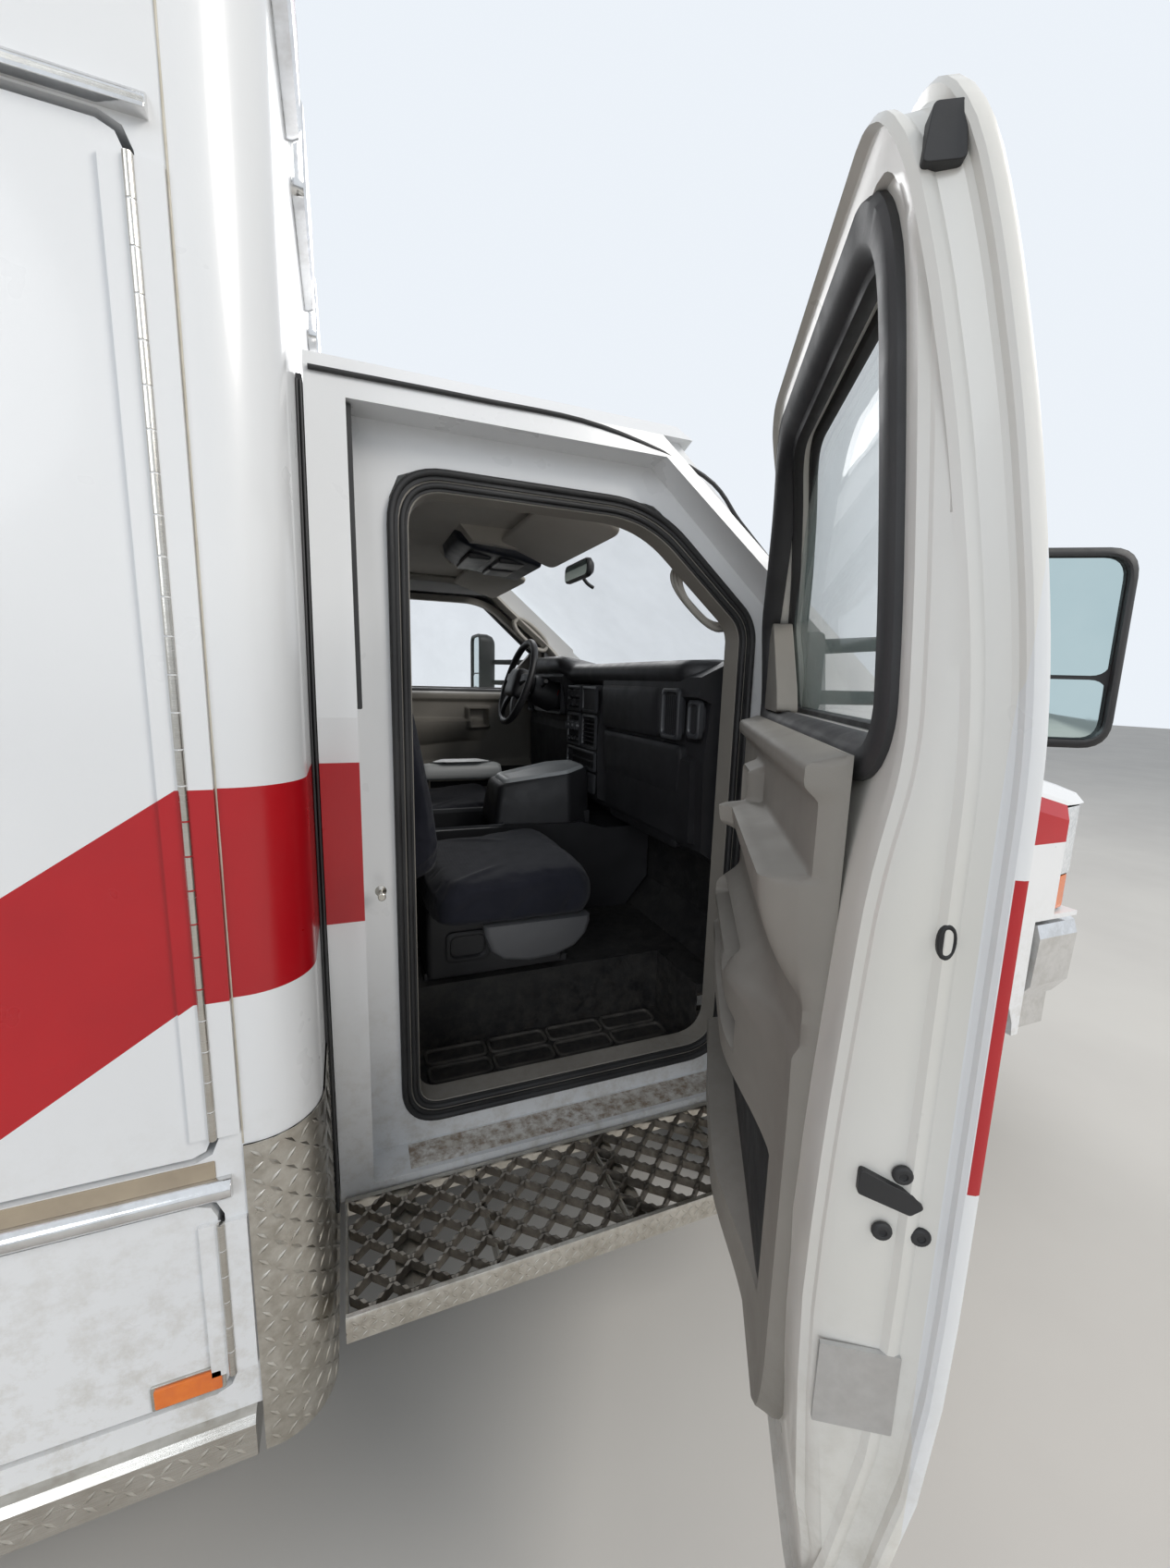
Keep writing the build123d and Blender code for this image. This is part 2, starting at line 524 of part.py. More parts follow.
# Cab sides: outer ring with the doorway, inner flange that the door seals on, sill and screen pillar
OUTER_DROP = 40.0
DOOR_SLOPE_DROP = 85.0
OPENING_REAR = CAB_REAR + 135.0
OPENING_FRONT = WHEELBASE - 549.0
OPENING_BOTTOM = 523.0
OPENING_TOP = 1885.0
OPENING_SLOPE_DROP = 138.0
with BuildPart() as cab_sides:
    for name, side in SIDES:
        gap = CAB_DOOR_GAP
        gap_drop = DOOR_SLOPE_DROP - 10
        low_y, high_y = sided(side, FLANGE_OUT, PILLAR_STEP)
        ring = [
            (CAB_REAR, ROCKER_Z), (FENDER_REAR - 2, ROCKER_Z), (FENDER_REAR - 2, SILL_TOP),
            (DOOR_REAR_X - gap, SILL_TOP), (DOOR_REAR_X - gap, DOOR_TOP + gap),
            (slope_x(DOOR_TOP + gap, gap_drop), DOOR_TOP + gap), (FENDER_REAR - 2, slope_z(FENDER_REAR - 2, gap_drop)),
            (FENDER_REAR - 2, COWL_Z), (slope_x(COWL_Z, OUTER_DROP), COWL_Z),
            (slope_x(GUTTER_Z, OUTER_DROP), GUTTER_Z), (CAB_REAR, GUTTER_Z),
        ]
        with BuildPart(mode=Mode.PRIVATE) as outer:
            add(skin_section(FLANGE_OUT, ROCKER_Z, GUTTER_Z, CAB_REAR, COWL_FRONT - 70, side))
            r0, r1 = sided(side, FLANGE_OUT - 5, SIDE_Y + 5)
            add(slab_xz(ring, r0, r1), mode=Mode.INTERSECT)
        add(outer.part)
        pillar = [
            (slope_x(GUTTER_Z, OUTER_DROP), GUTTER_Z), (slope_x(COWL_Z, OUTER_DROP), COWL_Z),
            (slope_x(COWL_Z), COWL_Z), (slope_x(GUTTER_Z), GUTTER_Z),
        ]
        add(slab_xz(pillar, low_y, high_y))
        flange_slope = 12.0
        inner_ring = [
            (CAB_REAR, ROCKER_Z), (FIREWALL_X, ROCKER_Z), (FIREWALL_X, slope_z(FIREWALL_X, flange_slope)),
            (slope_x(GUTTER_Z - 15, flange_slope), GUTTER_Z - 15), (CAB_REAR, GUTTER_Z - 15),
        ]
        f0, f1 = sided(side, FLANGE_IN, FLANGE_OUT)
        doorway = [
            (OPENING_REAR, OPENING_BOTTOM), (OPENING_FRONT, OPENING_BOTTOM),
            (OPENING_FRONT, slope_z(OPENING_FRONT, OPENING_SLOPE_DROP)),
            (slope_x(OPENING_TOP, OPENING_SLOPE_DROP), OPENING_TOP), (OPENING_REAR, OPENING_TOP),
        ]
        with BuildPart(mode=Mode.PRIVATE) as inner:
            add(slab_xz(inner_ring, f0, f1))
            add(slab_xz(doorway, f0 - 1, f1 + 1, 55), mode=Mode.SUBTRACT)
            for z in HINGE_HEIGHTS:
                low, high = z - HINGE_HALF, z + HINGE_HALF
                line = (DOOR_HINGE_X, side * DOOR_HINGE_Y)
                block(DOOR_HINGE_X - 10, DOOR_HINGE_X + 12, *sided(side, FLANGE_OUT - 1, DOOR_HINGE_Y), low, high)
                add(rod((*line, low), (*line, high), HINGE_EYE, EYE_SIDES))
                eye_bore = bore((*line, low - 1), (*line, high + 1), PIN_RADIUS + SEAT_GAP, EYE_SIDES)
                add(eye_bore, mode=Mode.SUBTRACT)
        add(inner.part)
cab_sides.part.label = "cab_sides"
export_step(cab_sides.part, "parts/cab_sides.step")


def screen_band(half_width, sag, outer_drop, thick, start, length):
    """Curved sheet that follows the screen's slope, from start to start + length down it."""
    slope = radians(SLOPE_ANGLE)
    direction = Vector(cos(slope), 0, -sin(slope))
    normal = Vector(sin(slope), 0, cos(slope))
    origin = Vector(SLOPE_X, 0, SLOPE_Z) + direction * start - normal * outer_drop
    plane = Plane(origin=origin, x_dir=(0, 1, 0), z_dir=direction)
    up = 1 if plane.y_dir.dot(normal) > 0 else -1
    with BuildPart() as band:
        with BuildSketch(plane):
            with BuildLine():
                ThreePointArc((-half_width, 0), (0, up * sag), (half_width, 0))
                Line((half_width, 0), (half_width, -up * thick))
                if thick > sag:
                    Line((half_width, -up * thick), (-half_width, -up * thick))
                else:
                    ThreePointArc(
                        (half_width, -up * thick), (0, up * (sag - thick)), (-half_width, -up * thick)
                    )
                Line((-half_width, -up * thick), (-half_width, 0))
            make_face()
        extrude(amount=length)
    return band.part


# Cab roof: crowned shell, cut to the screen's curve in front
with BuildPart() as cab_roof:
    with BuildSketch(Plane.YZ.offset(CAB_REAR)):
        with BuildLine():
            rise = ROOF_CROWN - GUTTER_Z
            Line((FLANGE_OUT, GUTTER_Z), (GUTTER_Y, GUTTER_Z))
            Line((GUTTER_Y, GUTTER_Z), (GUTTER_Y - 18, GUTTER_Z + 28))
            ThreePointArc(
                (GUTTER_Y - 18, GUTTER_Z + 28), (0, ROOF_CROWN), (-GUTTER_Y + 18, GUTTER_Z + 28)
            )
            Line((-GUTTER_Y + 18, GUTTER_Z + 28), (-GUTTER_Y, GUTTER_Z))
            Line((-GUTTER_Y, GUTTER_Z), (-FLANGE_OUT, GUTTER_Z))
            ThreePointArc(
                (-FLANGE_OUT, GUTTER_Z), (0, ROOF_CROWN - ROOF_THICK), (FLANGE_OUT, GUTTER_Z)
            )
        make_face()
    extrude(amount=1000)
    add(screen_band(SIDE_Y, SCREEN_SAG * 1.3, 0, 900, -1400, 2000), mode=Mode.INTERSECT)
cab_roof.part.label = "cab_roof"
export_step(cab_roof.part, "parts/cab_roof.step")

# Windscreen between the pillars, from the roof to the cowl
with BuildPart() as windshield:
    add(screen_band(FLANGE_OUT, SCREEN_SAG, 0, SCREEN_THICK, 0, 1200))
    add(cab_roof.part, mode=Mode.SUBTRACT)
    block(SLOPE_X - 200, FENDER_FRONT, -FLANGE_OUT, FLANGE_OUT, 800, COWL_Z, mode=Mode.SUBTRACT)
    block(SLOPE_X - 200, FENDER_FRONT, -FLANGE_OUT, FLANGE_OUT, GUTTER_Z + 52, 2400, mode=Mode.SUBTRACT)
windshield.part.label = "windshield"
export_step(windshield.part, "parts/windshield.step")

# Cab floor pan with step wells, toe board, firewall, cowl and rear bulkhead
STEP_IN = 560.0
STEP_Z = 500.0
STEP_REAR = OPENING_REAR + 33.0
STEP_FRONT = OPENING_FRONT - 50.0
TOE_X = FIREWALL_X - 95.0
PASS_HALF = 330.0
PASS_BOTTOM = 980.0
PASS_TOP = 1850.0
with BuildPart() as cab_floor:
    t = CAB_FLOOR_THICK
    side_line = [
        (CAB_REAR, CAB_FLOOR_Z), (TOE_X, CAB_FLOOR_Z), (FIREWALL_X, CAB_FLOOR_Z + 110), (FIREWALL_X, COWL_Z - t),
        (COWL_FRONT, COWL_Z - t), (COWL_FRONT, COWL_Z), (FIREWALL_X - t, COWL_Z),
        (FIREWALL_X - t, CAB_FLOOR_Z + 122), (TOE_X - 10, CAB_FLOOR_Z + t), (CAB_REAR + t, CAB_FLOOR_Z + t),
        (CAB_REAR + t, GUTTER_Z - 15), (CAB_REAR, GUTTER_Z - 15),
    ]
    add(slab_xz(side_line, -FLANGE_IN, FLANGE_IN))
    block(CAB_REAR - 1, CAB_REAR + t + 1, -PASS_HALF, PASS_HALF, PASS_BOTTOM, PASS_TOP, mode=Mode.SUBTRACT)
    for name, side in SIDES:
        s0, s1 = sided(side, STEP_IN, FLANGE_IN)
        block(STEP_REAR - SHEET, STEP_FRONT + SHEET, s0, s1, STEP_Z - SHEET, CAB_FLOOR_Z + t)
        c0, c1 = sided(side, STEP_IN + SHEET, FLANGE_IN + 1)
        block(STEP_REAR, STEP_FRONT, c0, c1, STEP_Z, CAB_FLOOR_Z + t + 1, mode=Mode.SUBTRACT)
    for x in (CAB_REAR + 128, TOE_X - 195):
        for name, side in SIDES:
            m0, m1 = sided(side, RAIL_Y - 30, RAIL_Y + 30)
            block(x - 40, x + 40, m0, m1, RAIL_TOP_FRONT, CAB_FLOOR_Z)
cab_floor.part.label = "cab_floor"
export_step(cab_floor.part, "parts/cab_floor.step")


# Front wings: crowned panels with round wheel openings and the liners over the wheels
FENDER_IN = 820.0
FENDER_SHOULDER = 115.0
LAMP_REAR = WHEELBASE + 546.0
LAMP_BOTTOM = 838.0
LAMP_SPLIT = 948.0
LAMP_TOP = 1165.0
HOOD_REAR = WHEELBASE + 139.0
HOOD_FRONT = WHEELBASE + 751.0
HOOD_HALF = 812.0
HOOD_THICK = 22.0
HOOD_REAR_Z = 1352.0
HOOD_FRONT_Z = 1190.0
HOOD_CROWN = 38.0


def hood_edge_z(x):
    """Height of the bonnet's side edge at x."""
    return HOOD_REAR_Z + (HOOD_FRONT_Z - HOOD_REAR_Z) * (x - HOOD_REAR) / (HOOD_FRONT - HOOD_REAR)


def fender_section(x, top, side):
    """Wing outline across the vehicle at x: flat side, round shoulder, inner edge."""
    centre = (SIDE_Y - FENDER_SHOULDER, top - FENDER_SHOULDER)
    outline = [(FENDER_IN, top), (FENDER_IN, ROCKER_Z), (SIDE_Y, ROCKER_Z)]
    outline += chords(centre, FENDER_SHOULDER, 0, 90, 3)
    with BuildSketch(Plane.YZ.offset(x)) as section:
        with BuildLine():
            Polyline(*[(side * y, z) for y, z in outline], close=True)
        make_face()
    return section.sketch


with BuildPart() as front_fenders:
    for name, side in SIDES:
        y0, y1 = sided(side, FENDER_IN - 1, SIDE_Y + 1)
        with BuildPart(mode=Mode.PRIVATE) as wing_rear:
            add(fender_section(FENDER_REAR, COWL_Z, side))
            extrude(amount=HOOD_REAR - FENDER_REAR, dir=(1, 0, 0))
            block(FENDER_REAR - 1, FIREWALL_X + 2, *sided(side, FENDER_IN - 1, FLANGE_OUT + 1), 400, 1400,
                  mode=Mode.SUBTRACT)
        with BuildPart(mode=Mode.PRIVATE) as wing_front:
            add(fender_section(HOOD_REAR, COWL_Z, side))
            add(fender_section(FENDER_FRONT, hood_edge_z(FENDER_FRONT), side))
            loft(ruled=True)
        with BuildPart(mode=Mode.PRIVATE) as wing:
            add(wing_front.part)
            add(wing_rear.part)
            arch_start = (WHEELBASE, y0, TYRE_RADIUS)
            arch_end = (WHEELBASE, y1, TYRE_RADIUS)
            add(rod(arch_start, arch_end, ARCH_RADIUS, WHEEL_SIDES), mode=Mode.SUBTRACT)
            block(WHEELBASE - ARCH_RADIUS + 8, WHEELBASE + ARCH_RADIUS - 8, y0, y1, 0, TYRE_RADIUS + 60,
                  mode=Mode.SUBTRACT)
            block(LAMP_REAR - 85, FENDER_FRONT + 1, y0, y1, 0, BUMPER_TOP + 15, mode=Mode.SUBTRACT)
            block(LAMP_REAR, FENDER_FRONT + 1, y0, y1, LAMP_BOTTOM - 8, LAMP_TOP + 7, mode=Mode.SUBTRACT)
        with BuildPart(mode=Mode.PRIVATE) as liner:
            l0, l1 = sided(side, 560, FENDER_IN + 2)
            radius = ARCH_RADIUS + 2 * SHEET
            add(rod((WHEELBASE, l0, TYRE_RADIUS), (WHEELBASE, l1, TYRE_RADIUS), radius, WHEEL_SIDES))
            liner_start = (WHEELBASE, l0 - 1, TYRE_RADIUS)
            liner_end = (WHEELBASE, l1 + 1, TYRE_RADIUS)
            add(rod(liner_start, liner_end, ARCH_RADIUS, WHEEL_SIDES), mode=Mode.SUBTRACT)
            block(WHEELBASE - radius, WHEELBASE + radius, l0, l1, TYRE_RADIUS - radius, TYRE_RADIUS + radius / 2,
                  mode=Mode.SUBTRACT)
        add(wing.part)
        add(liner.part)
front_fenders.part.label = "front_fenders"
export_step(front_fenders.part, "parts/front_fenders.step")


def hood_section(x, edge):
    """Crowned band across the vehicle at x."""
    with BuildSketch(Plane.YZ.offset(x)) as section:
        with BuildLine():
            ThreePointArc((-HOOD_HALF, edge), (0, edge + HOOD_CROWN), (HOOD_HALF, edge))
            Line((HOOD_HALF, edge), (HOOD_HALF, edge - HOOD_THICK))
            ThreePointArc(
                (HOOD_HALF, edge - HOOD_THICK), (0, edge + HOOD_CROWN - HOOD_THICK), (-HOOD_HALF, edge - HOOD_THICK)
            )
            Line((-HOOD_HALF, edge - HOOD_THICK), (-HOOD_HALF, edge))
        make_face()
    return section.sketch


# Bonnet
with BuildPart() as hood:
    add(hood_section(HOOD_REAR, HOOD_REAR_Z))
    add(hood_section(HOOD_FRONT, HOOD_FRONT_Z))
    loft()
hood.part.label = "hood"
export_step(hood.part, "parts/hood.step")

# Grille: raked frame with level bars, and the panel behind it that carries the headlamps
GRILLE_HALF = 560.0
GRILLE_Z0 = 880.0
GRILLE_Z1 = 1140.0
GRILLE_X = WHEELBASE + 721.0
GRILLE_DEPTH = 40.0
BAR_COUNT = 4
BAR_HALF = 10.0
HOOD_REST_Y = 300.0
NOSE_REAR = LAMP_REAR - 25.0
with BuildPart() as grille:
    frame_low = BUMPER_TOP + 22
    block(GRILLE_X, GRILLE_X + GRILLE_DEPTH, -FENDER_IN, FENDER_IN, frame_low, GRILLE_Z1 + 20)
    block(GRILLE_X - 1, GRILLE_X + GRILLE_DEPTH + 1, -GRILLE_HALF, GRILLE_HALF, GRILLE_Z0, GRILLE_Z1,
          mode=Mode.SUBTRACT)
    pitch = (GRILLE_Z1 - GRILLE_Z0) / (BAR_COUNT + 1)
    for number in range(BAR_COUNT):
        z = GRILLE_Z0 + pitch * (number + 1)
        blade = [(GRILLE_X + 6, z - BAR_HALF), (GRILLE_X + 30, z - BAR_HALF), (GRILLE_X + 36, z),
                 (GRILLE_X + 30, z + BAR_HALF), (GRILLE_X + 6, z + BAR_HALF)]
        add(slab_xz(blade, -GRILLE_HALF, GRILLE_HALF))
    block(GRILLE_X + 6, GRILLE_X + 26, -8, 8, GRILLE_Z0, GRILLE_Z1)
    for name, side in SIDES:
        y0, y1 = sided(side, FENDER_IN - 190, FENDER_IN)
        block(NOSE_REAR + 20, GRILLE_X, y0, y1, frame_low, frame_low + 10)
        h0, h1 = sided(side, HOOD_REST_Y, HOOD_REST_Y + 40)
        rest_edge = hood_edge_z(GRILLE_X)
        rest_rise = HOOD_CROWN * (1 - ((HOOD_REST_Y + 40) / HOOD_HALF) ** 2)
        rest_top = rest_edge + rest_rise - HOOD_THICK - SEAT_GAP
        block(GRILLE_X - 40, GRILLE_X + 1, h0, h1, GRILLE_Z1 - 20, rest_top)
    block(NOSE_REAR, NOSE_REAR + 20, -FENDER_IN, FENDER_IN, frame_low, GRILLE_Z1)
    block(NOSE_REAR - 1, NOSE_REAR + 21, -GRILLE_HALF, GRILLE_HALF, GRILLE_Z0, GRILLE_Z1 - 20, mode=Mode.SUBTRACT)
grille.part.label = "grille"
export_step(grille.part, "parts/grille.step")

# Headlamps over the turn lamps, wrapped round the front corners
LAMP_FRONT = GRILLE_X - 20.0
with BuildPart() as headlamps:
    for name, side in SIDES:
        with BuildPart(mode=Mode.PRIVATE) as lamp:
            for low, high, front in ((LAMP_SPLIT + 2, LAMP_TOP, LAMP_FRONT),
                                     (LAMP_BOTTOM, LAMP_SPLIT - 3, LAMP_FRONT - 10)):
                plan = [(LAMP_REAR, FENDER_IN - 1), (front, FENDER_IN - 1), (front - 20, SIDE_Y - 75),
                        (front - 60, SIDE_Y - 30), (LAMP_REAR, SIDE_Y - 12)]
                add(slab_xy([(x, side * y) for x, y in plan], low, high))
            neck = sided(side, FENDER_IN - 1, SIDE_Y - 20)
            block(LAMP_REAR, LAMP_REAR + 35, *neck, LAMP_SPLIT - 4, LAMP_SPLIT + 3)
        add(lamp.part)
headlamps.part.label = "headlamps"
export_step(headlamps.part, "parts/headlamps.step")


def bumper_plan(front, rear, half, wrap, depth):
    """Half outline of a bar that wraps round the corners, mirrored to both sides."""
    outer = [(rear, half), (rear + wrap, half), (front, half - wrap - 40)]
    inner = [(front - depth, half - wrap - 55), (rear + wrap - 30, half - depth), (rear, half - depth)]
    return outer + [(x, -y) for x, y in reversed(outer)] + [(x, -y) for x, y in reversed(inner)] + inner


# Front bumper: chromed bar that curves in below, with a lower lip and its brackets
BUMPER_HALF = 1010.0
BUMPER_REAR = WHEELBASE + 481.0
BUMPER_WRAP = 180.0
BUMPER_DEPTH = 60.0
with BuildPart() as front_bumper:
    with BuildPart(mode=Mode.PRIVATE) as bar:
        for z, inset in ((BUMPER_BOTTOM, 45), (BUMPER_BOTTOM + 60, 6), (BUMPER_TOP - 40, 0), (BUMPER_TOP, 14)):
            plan = bumper_plan(BUMPER_FRONT - inset, BUMPER_REAR, BUMPER_HALF - inset, BUMPER_WRAP, BUMPER_DEPTH)
            with BuildSketch(Plane.XY.offset(z)):
                with BuildLine():
                    Polyline(*plan, close=True)
                make_face()
        loft(ruled=True)
    add(bar.part)
    lip = bumper_plan(BUMPER_FRONT - 69, BUMPER_REAR + 80, BUMPER_HALF - 80, BUMPER_WRAP - 40, 30)
    add(slab_xy(lip, LIP_BOTTOM, BUMPER_BOTTOM + 2))
    for name, side in SIDES:
        y0, y1 = sided(side, RAIL_Y - 30, RAIL_Y + 30)
        block(FRAME_FRONT_X, BUMPER_FRONT - 50, y0, y1, BUMPER_BOTTOM + 5, BUMPER_BOTTOM + 75)
front_bumper.part.label = "front_bumper"
export_step(front_bumper.part, "parts/front_bumper.step")


# Cab door: window outline, trim panel and its pockets. Pocket columns: rear x, front x, floor z, rim z
WINDOW_FRONT = DOOR_FRONT_X - 110.0
WINDOW_DROP = DOOR_SLOPE_DROP + 85.0
WINDOW_TOP = DOOR_TOP - 65.0
DOOR_WINDOW = [
    (DOOR_REAR_X + 95, BELT_Z + 20), (WINDOW_FRONT, BELT_Z + 20), (WINDOW_FRONT, slope_z(WINDOW_FRONT, WINDOW_DROP)),
    (slope_x(WINDOW_TOP, WINDOW_DROP), WINDOW_TOP), (DOOR_REAR_X + 95, WINDOW_TOP),
]
TRIM_REAR = DOOR_REAR_X + 96.0
TRIM_FRONT = OPENING_FRONT - 35.0
TRIM_LOW = OPENING_BOTTOM + 37.0
TRIM_THICK = 22.0
ARM_REST_Z = 1300.0
ARM_REST_DEPTH = 44.0
POCKET_DEPTH = 52.0
POCKET_WALL = 6.0
POCKETS = (
    (TRIM_FRONT - 330, TRIM_FRONT - 20, 1010.0, 1080.0),
    (TRIM_FRONT - 400, TRIM_FRONT - 20, 880.0, 960.0),
    (TRIM_FRONT - 640, TRIM_FRONT - 20, 640.0, 820.0),
)


def cab_door_closed(side):
    """Door shell in its closed place: outer skin, thick lower box, window frame."""
    outline = [
        (DOOR_REAR_X, DOOR_BOTTOM), (DOOR_FRONT_X, DOOR_BOTTOM),
        (DOOR_FRONT_X, slope_z(DOOR_FRONT_X, DOOR_SLOPE_DROP)),
        (slope_x(DOOR_TOP, DOOR_SLOPE_DROP), DOOR_TOP), (DOOR_REAR_X, DOOR_TOP),
    ]
    y0, y1 = sided(side, 800, SIDE_Y + 10)
    frame_top = SIDE_Y - DOOR_FRAME - SIDE_LEAN * (DOOR_TOP + 10 - BELT_Z)
    with BuildPart() as shell:
        add(skin_section(DOOR_INNER_Y, DOOR_BOTTOM, DOOR_TOP, DOOR_REAR_X, DOOR_FRONT_X, side))
        add(slab_xz(outline, y0, y1, 50, 3), mode=Mode.INTERSECT)
        inner = [
            (side * 800, BELT_Z + 14), (side * (SIDE_Y - DOOR_FRAME), BELT_Z + 14),
            (side * frame_top, DOOR_TOP + 10), (side * 800, DOOR_TOP + 10),
        ]
        add(slab_yz(inner, DOOR_REAR_X - 1, DOOR_FRONT_X + 1), mode=Mode.SUBTRACT)
        add(slab_xz(DOOR_WINDOW, y0, y1, 45, 3), mode=Mode.SUBTRACT)
        edge = skin_section(DOOR_INNER_Y - 40, ROCKER_Z, GUTTER_Z + 60, DOOR_REAR_X - 5, DOOR_FRONT_X + 5, side,
                            DOOR_EDGE)
        with BuildPart(mode=Mode.PRIVATE) as relief:
            add(edge)
            e0, e1 = sided(side, 700, SIDE_Y)
            block(DOOR_REAR_X + DOOR_EDGE_LAP, DOOR_HINGE_X - 10, e0, e1, 400, 2100, mode=Mode.SUBTRACT)
        add(relief.part, mode=Mode.SUBTRACT)
        for z in HINGE_HEIGHTS:
            p0, p1 = sided(side, DOOR_INNER_Y - 1, SIDE_Y - HINGE_SKIN)
            low, high = z - HINGE_HALF - 10, z + HINGE_HALF + 10
            block(DOOR_HINGE_X - 25, DOOR_FRONT_X + 1, p0, p1, low, high, mode=Mode.SUBTRACT)
            line = (DOOR_HINGE_X, side * DOOR_HINGE_Y)
            add(rod((*line, low - 1), (*line, high + 1), PIN_RADIUS, EYE_SIDES))
    return shell.part


def cab_trim_closed(side):
    """Inner trim panel: sill roll, arm rest on a bulged pod, pull cup, and three map pockets low at the front."""
    face = DOOR_INNER_Y - TRIM_THICK
    panel = [(TRIM_REAR, TRIM_LOW), (TRIM_FRONT - 260, TRIM_LOW), (TRIM_FRONT, TRIM_LOW + 60),
             (TRIM_FRONT, BELT_Z - 5), (TRIM_REAR, BELT_Z - 5)]
    rest_rear = TRIM_REAR + 10
    rest_front = TRIM_REAR + 470
    bin_out = face - POCKET_DEPTH
    with BuildPart() as trim:
        add(slab_xz(panel, *sided(side, face, DOOR_INNER_Y), 40))
        roll = [(face + 1, BELT_Z - 70), (face - 14, BELT_Z - 40), (face - 10, BELT_Z - 12), (face + 1, BELT_Z - 5)]
        add(slab_yz([(side * y, z) for y, z in roll], TRIM_REAR + 20, TRIM_FRONT - 20))
        section = [(face + 1, ARM_REST_Z + 8), (face - ARM_REST_DEPTH, ARM_REST_Z),
                   (face - ARM_REST_DEPTH - 6, ARM_REST_Z - 40), (face - ARM_REST_DEPTH / 2, ARM_REST_Z - 130),
                   (face + 1, ARM_REST_Z - 170)]
        side_view = [(rest_rear, ARM_REST_Z + 9), (rest_front, ARM_REST_Z + 9), (rest_front - 20, ARM_REST_Z - 60),
                     (rest_front - 190, ARM_REST_Z - 110), (rest_rear + 130, ARM_REST_Z - 171),
                     (rest_rear + 70, ARM_REST_Z - 171)]
        with BuildPart(mode=Mode.PRIVATE) as pod:
            add(slab_yz([(side * y, z) for y, z in section], rest_rear, rest_front))
            add(slab_xz(side_view, *sided(side, face - ARM_REST_DEPTH - 10, face + 2)), mode=Mode.INTERSECT)
        add(pod.part)
        cup = [(rest_front - 130, ARM_REST_Z + 5), (rest_front + 60, ARM_REST_Z + 5), (rest_front + 60, BELT_Z - 60),
               (rest_front - 30, BELT_Z - 60)]
        add(slab_xz(cup, *sided(side, face - ARM_REST_DEPTH + 8, face + 1), 12, 1))
        add(slab_xz([(rest_front - 70, ARM_REST_Z + 20), (rest_front + 45, ARM_REST_Z + 20),
                     (rest_front + 45, BELT_Z - 74), (rest_front - 20, BELT_Z - 74)],
                    *sided(side, face - ARM_REST_DEPTH, face - 8)), mode=Mode.SUBTRACT)
        for x0, x1, z0, z1 in POCKETS:
            pocket = [(face + 1, z0 - 12), (bin_out + 14, z0 - 6), (bin_out, z0 + 20), (bin_out, z1), (face + 1, z1)]
            add(slab_yz([(side * y, z) for y, z in pocket], x0 - POCKET_WALL, x1 + POCKET_WALL))
            block(x0, x1, *sided(side, bin_out + POCKET_WALL, face - 1), z0 + 6, z1 + 1, mode=Mode.SUBTRACT)
    return trim.part


def cab_glass_closed(side):
    """Door glass with the slope of the upper skin."""
    top = DOOR_TOP - 60
    out = SIDE_Y - 30
    section = [
        (side * out, BELT_Z + 14), (side * (out - SIDE_LEAN * (top - BELT_Z)), top),
        (side * (out - 5 - SIDE_LEAN * (top - BELT_Z)), top), (side * (out - 5), BELT_Z + 14),
    ]
    y0, y1 = sided(side, 800, SIDE_Y + 10)
    with BuildPart() as glass:
        add(slab_yz(section, DOOR_REAR_X, DOOR_FRONT_X))
        add(slab_xz(DOOR_WINDOW, y0, y1, 45, 3), mode=Mode.INTERSECT)
    return glass.part


def cab_mirror_closed(side):
    """Two-arm mirror on the door: housing with an upper flat and a lower convex glass recess."""
    with BuildPart() as mirror_head:
        h0, h1 = sided(side, MIRROR_IN, MIRROR_OUT)
        outline = [(h0, MIRROR_BOTTOM), (h1, MIRROR_BOTTOM), (h1, MIRROR_TOP), (h0, MIRROR_TOP)]
        add(slab_yz(outline, MIRROR_X, MIRROR_X + 80, 35))
        brow = [(h0 + 20, MIRROR_BOTTOM + 20), (h1 - 20, MIRROR_BOTTOM + 20), (h1 - 20, MIRROR_TOP - 20),
                (h0 + 20, MIRROR_TOP - 20)]
        add(slab_yz(brow, MIRROR_X + 79, MIRROR_X + 100, 35))
        g0, g1 = sided(side, MIRROR_IN + 15, MIRROR_OUT - 15)
        block(MIRROR_X - 4, MIRROR_X + 6, g0, g1, MIRROR_BOTTOM + 120, MIRROR_TOP - 17, mode=Mode.SUBTRACT)
        block(MIRROR_X - 4, MIRROR_X + 6, g0, g1, MIRROR_BOTTOM + 17, MIRROR_BOTTOM + 105, mode=Mode.SUBTRACT)
        for z in (1480, 1590):
            add(rod((WINDOW_FRONT + 34, side * (SIDE_Y - 40), z), (MIRROR_X + 50, side * (MIRROR_IN + 20), z), 12, 8))
        add(cab_door_closed(side), mode=Mode.SUBTRACT)
    return mirror_head.part


def swing(piece, side, angle):
    """Turn a cab door piece outward about its hinge line."""
    axis = Axis((DOOR_HINGE_X, side * DOOR_HINGE_Y, 0), (0, 0, 1))
    return piece.rotate(axis, -side * angle)


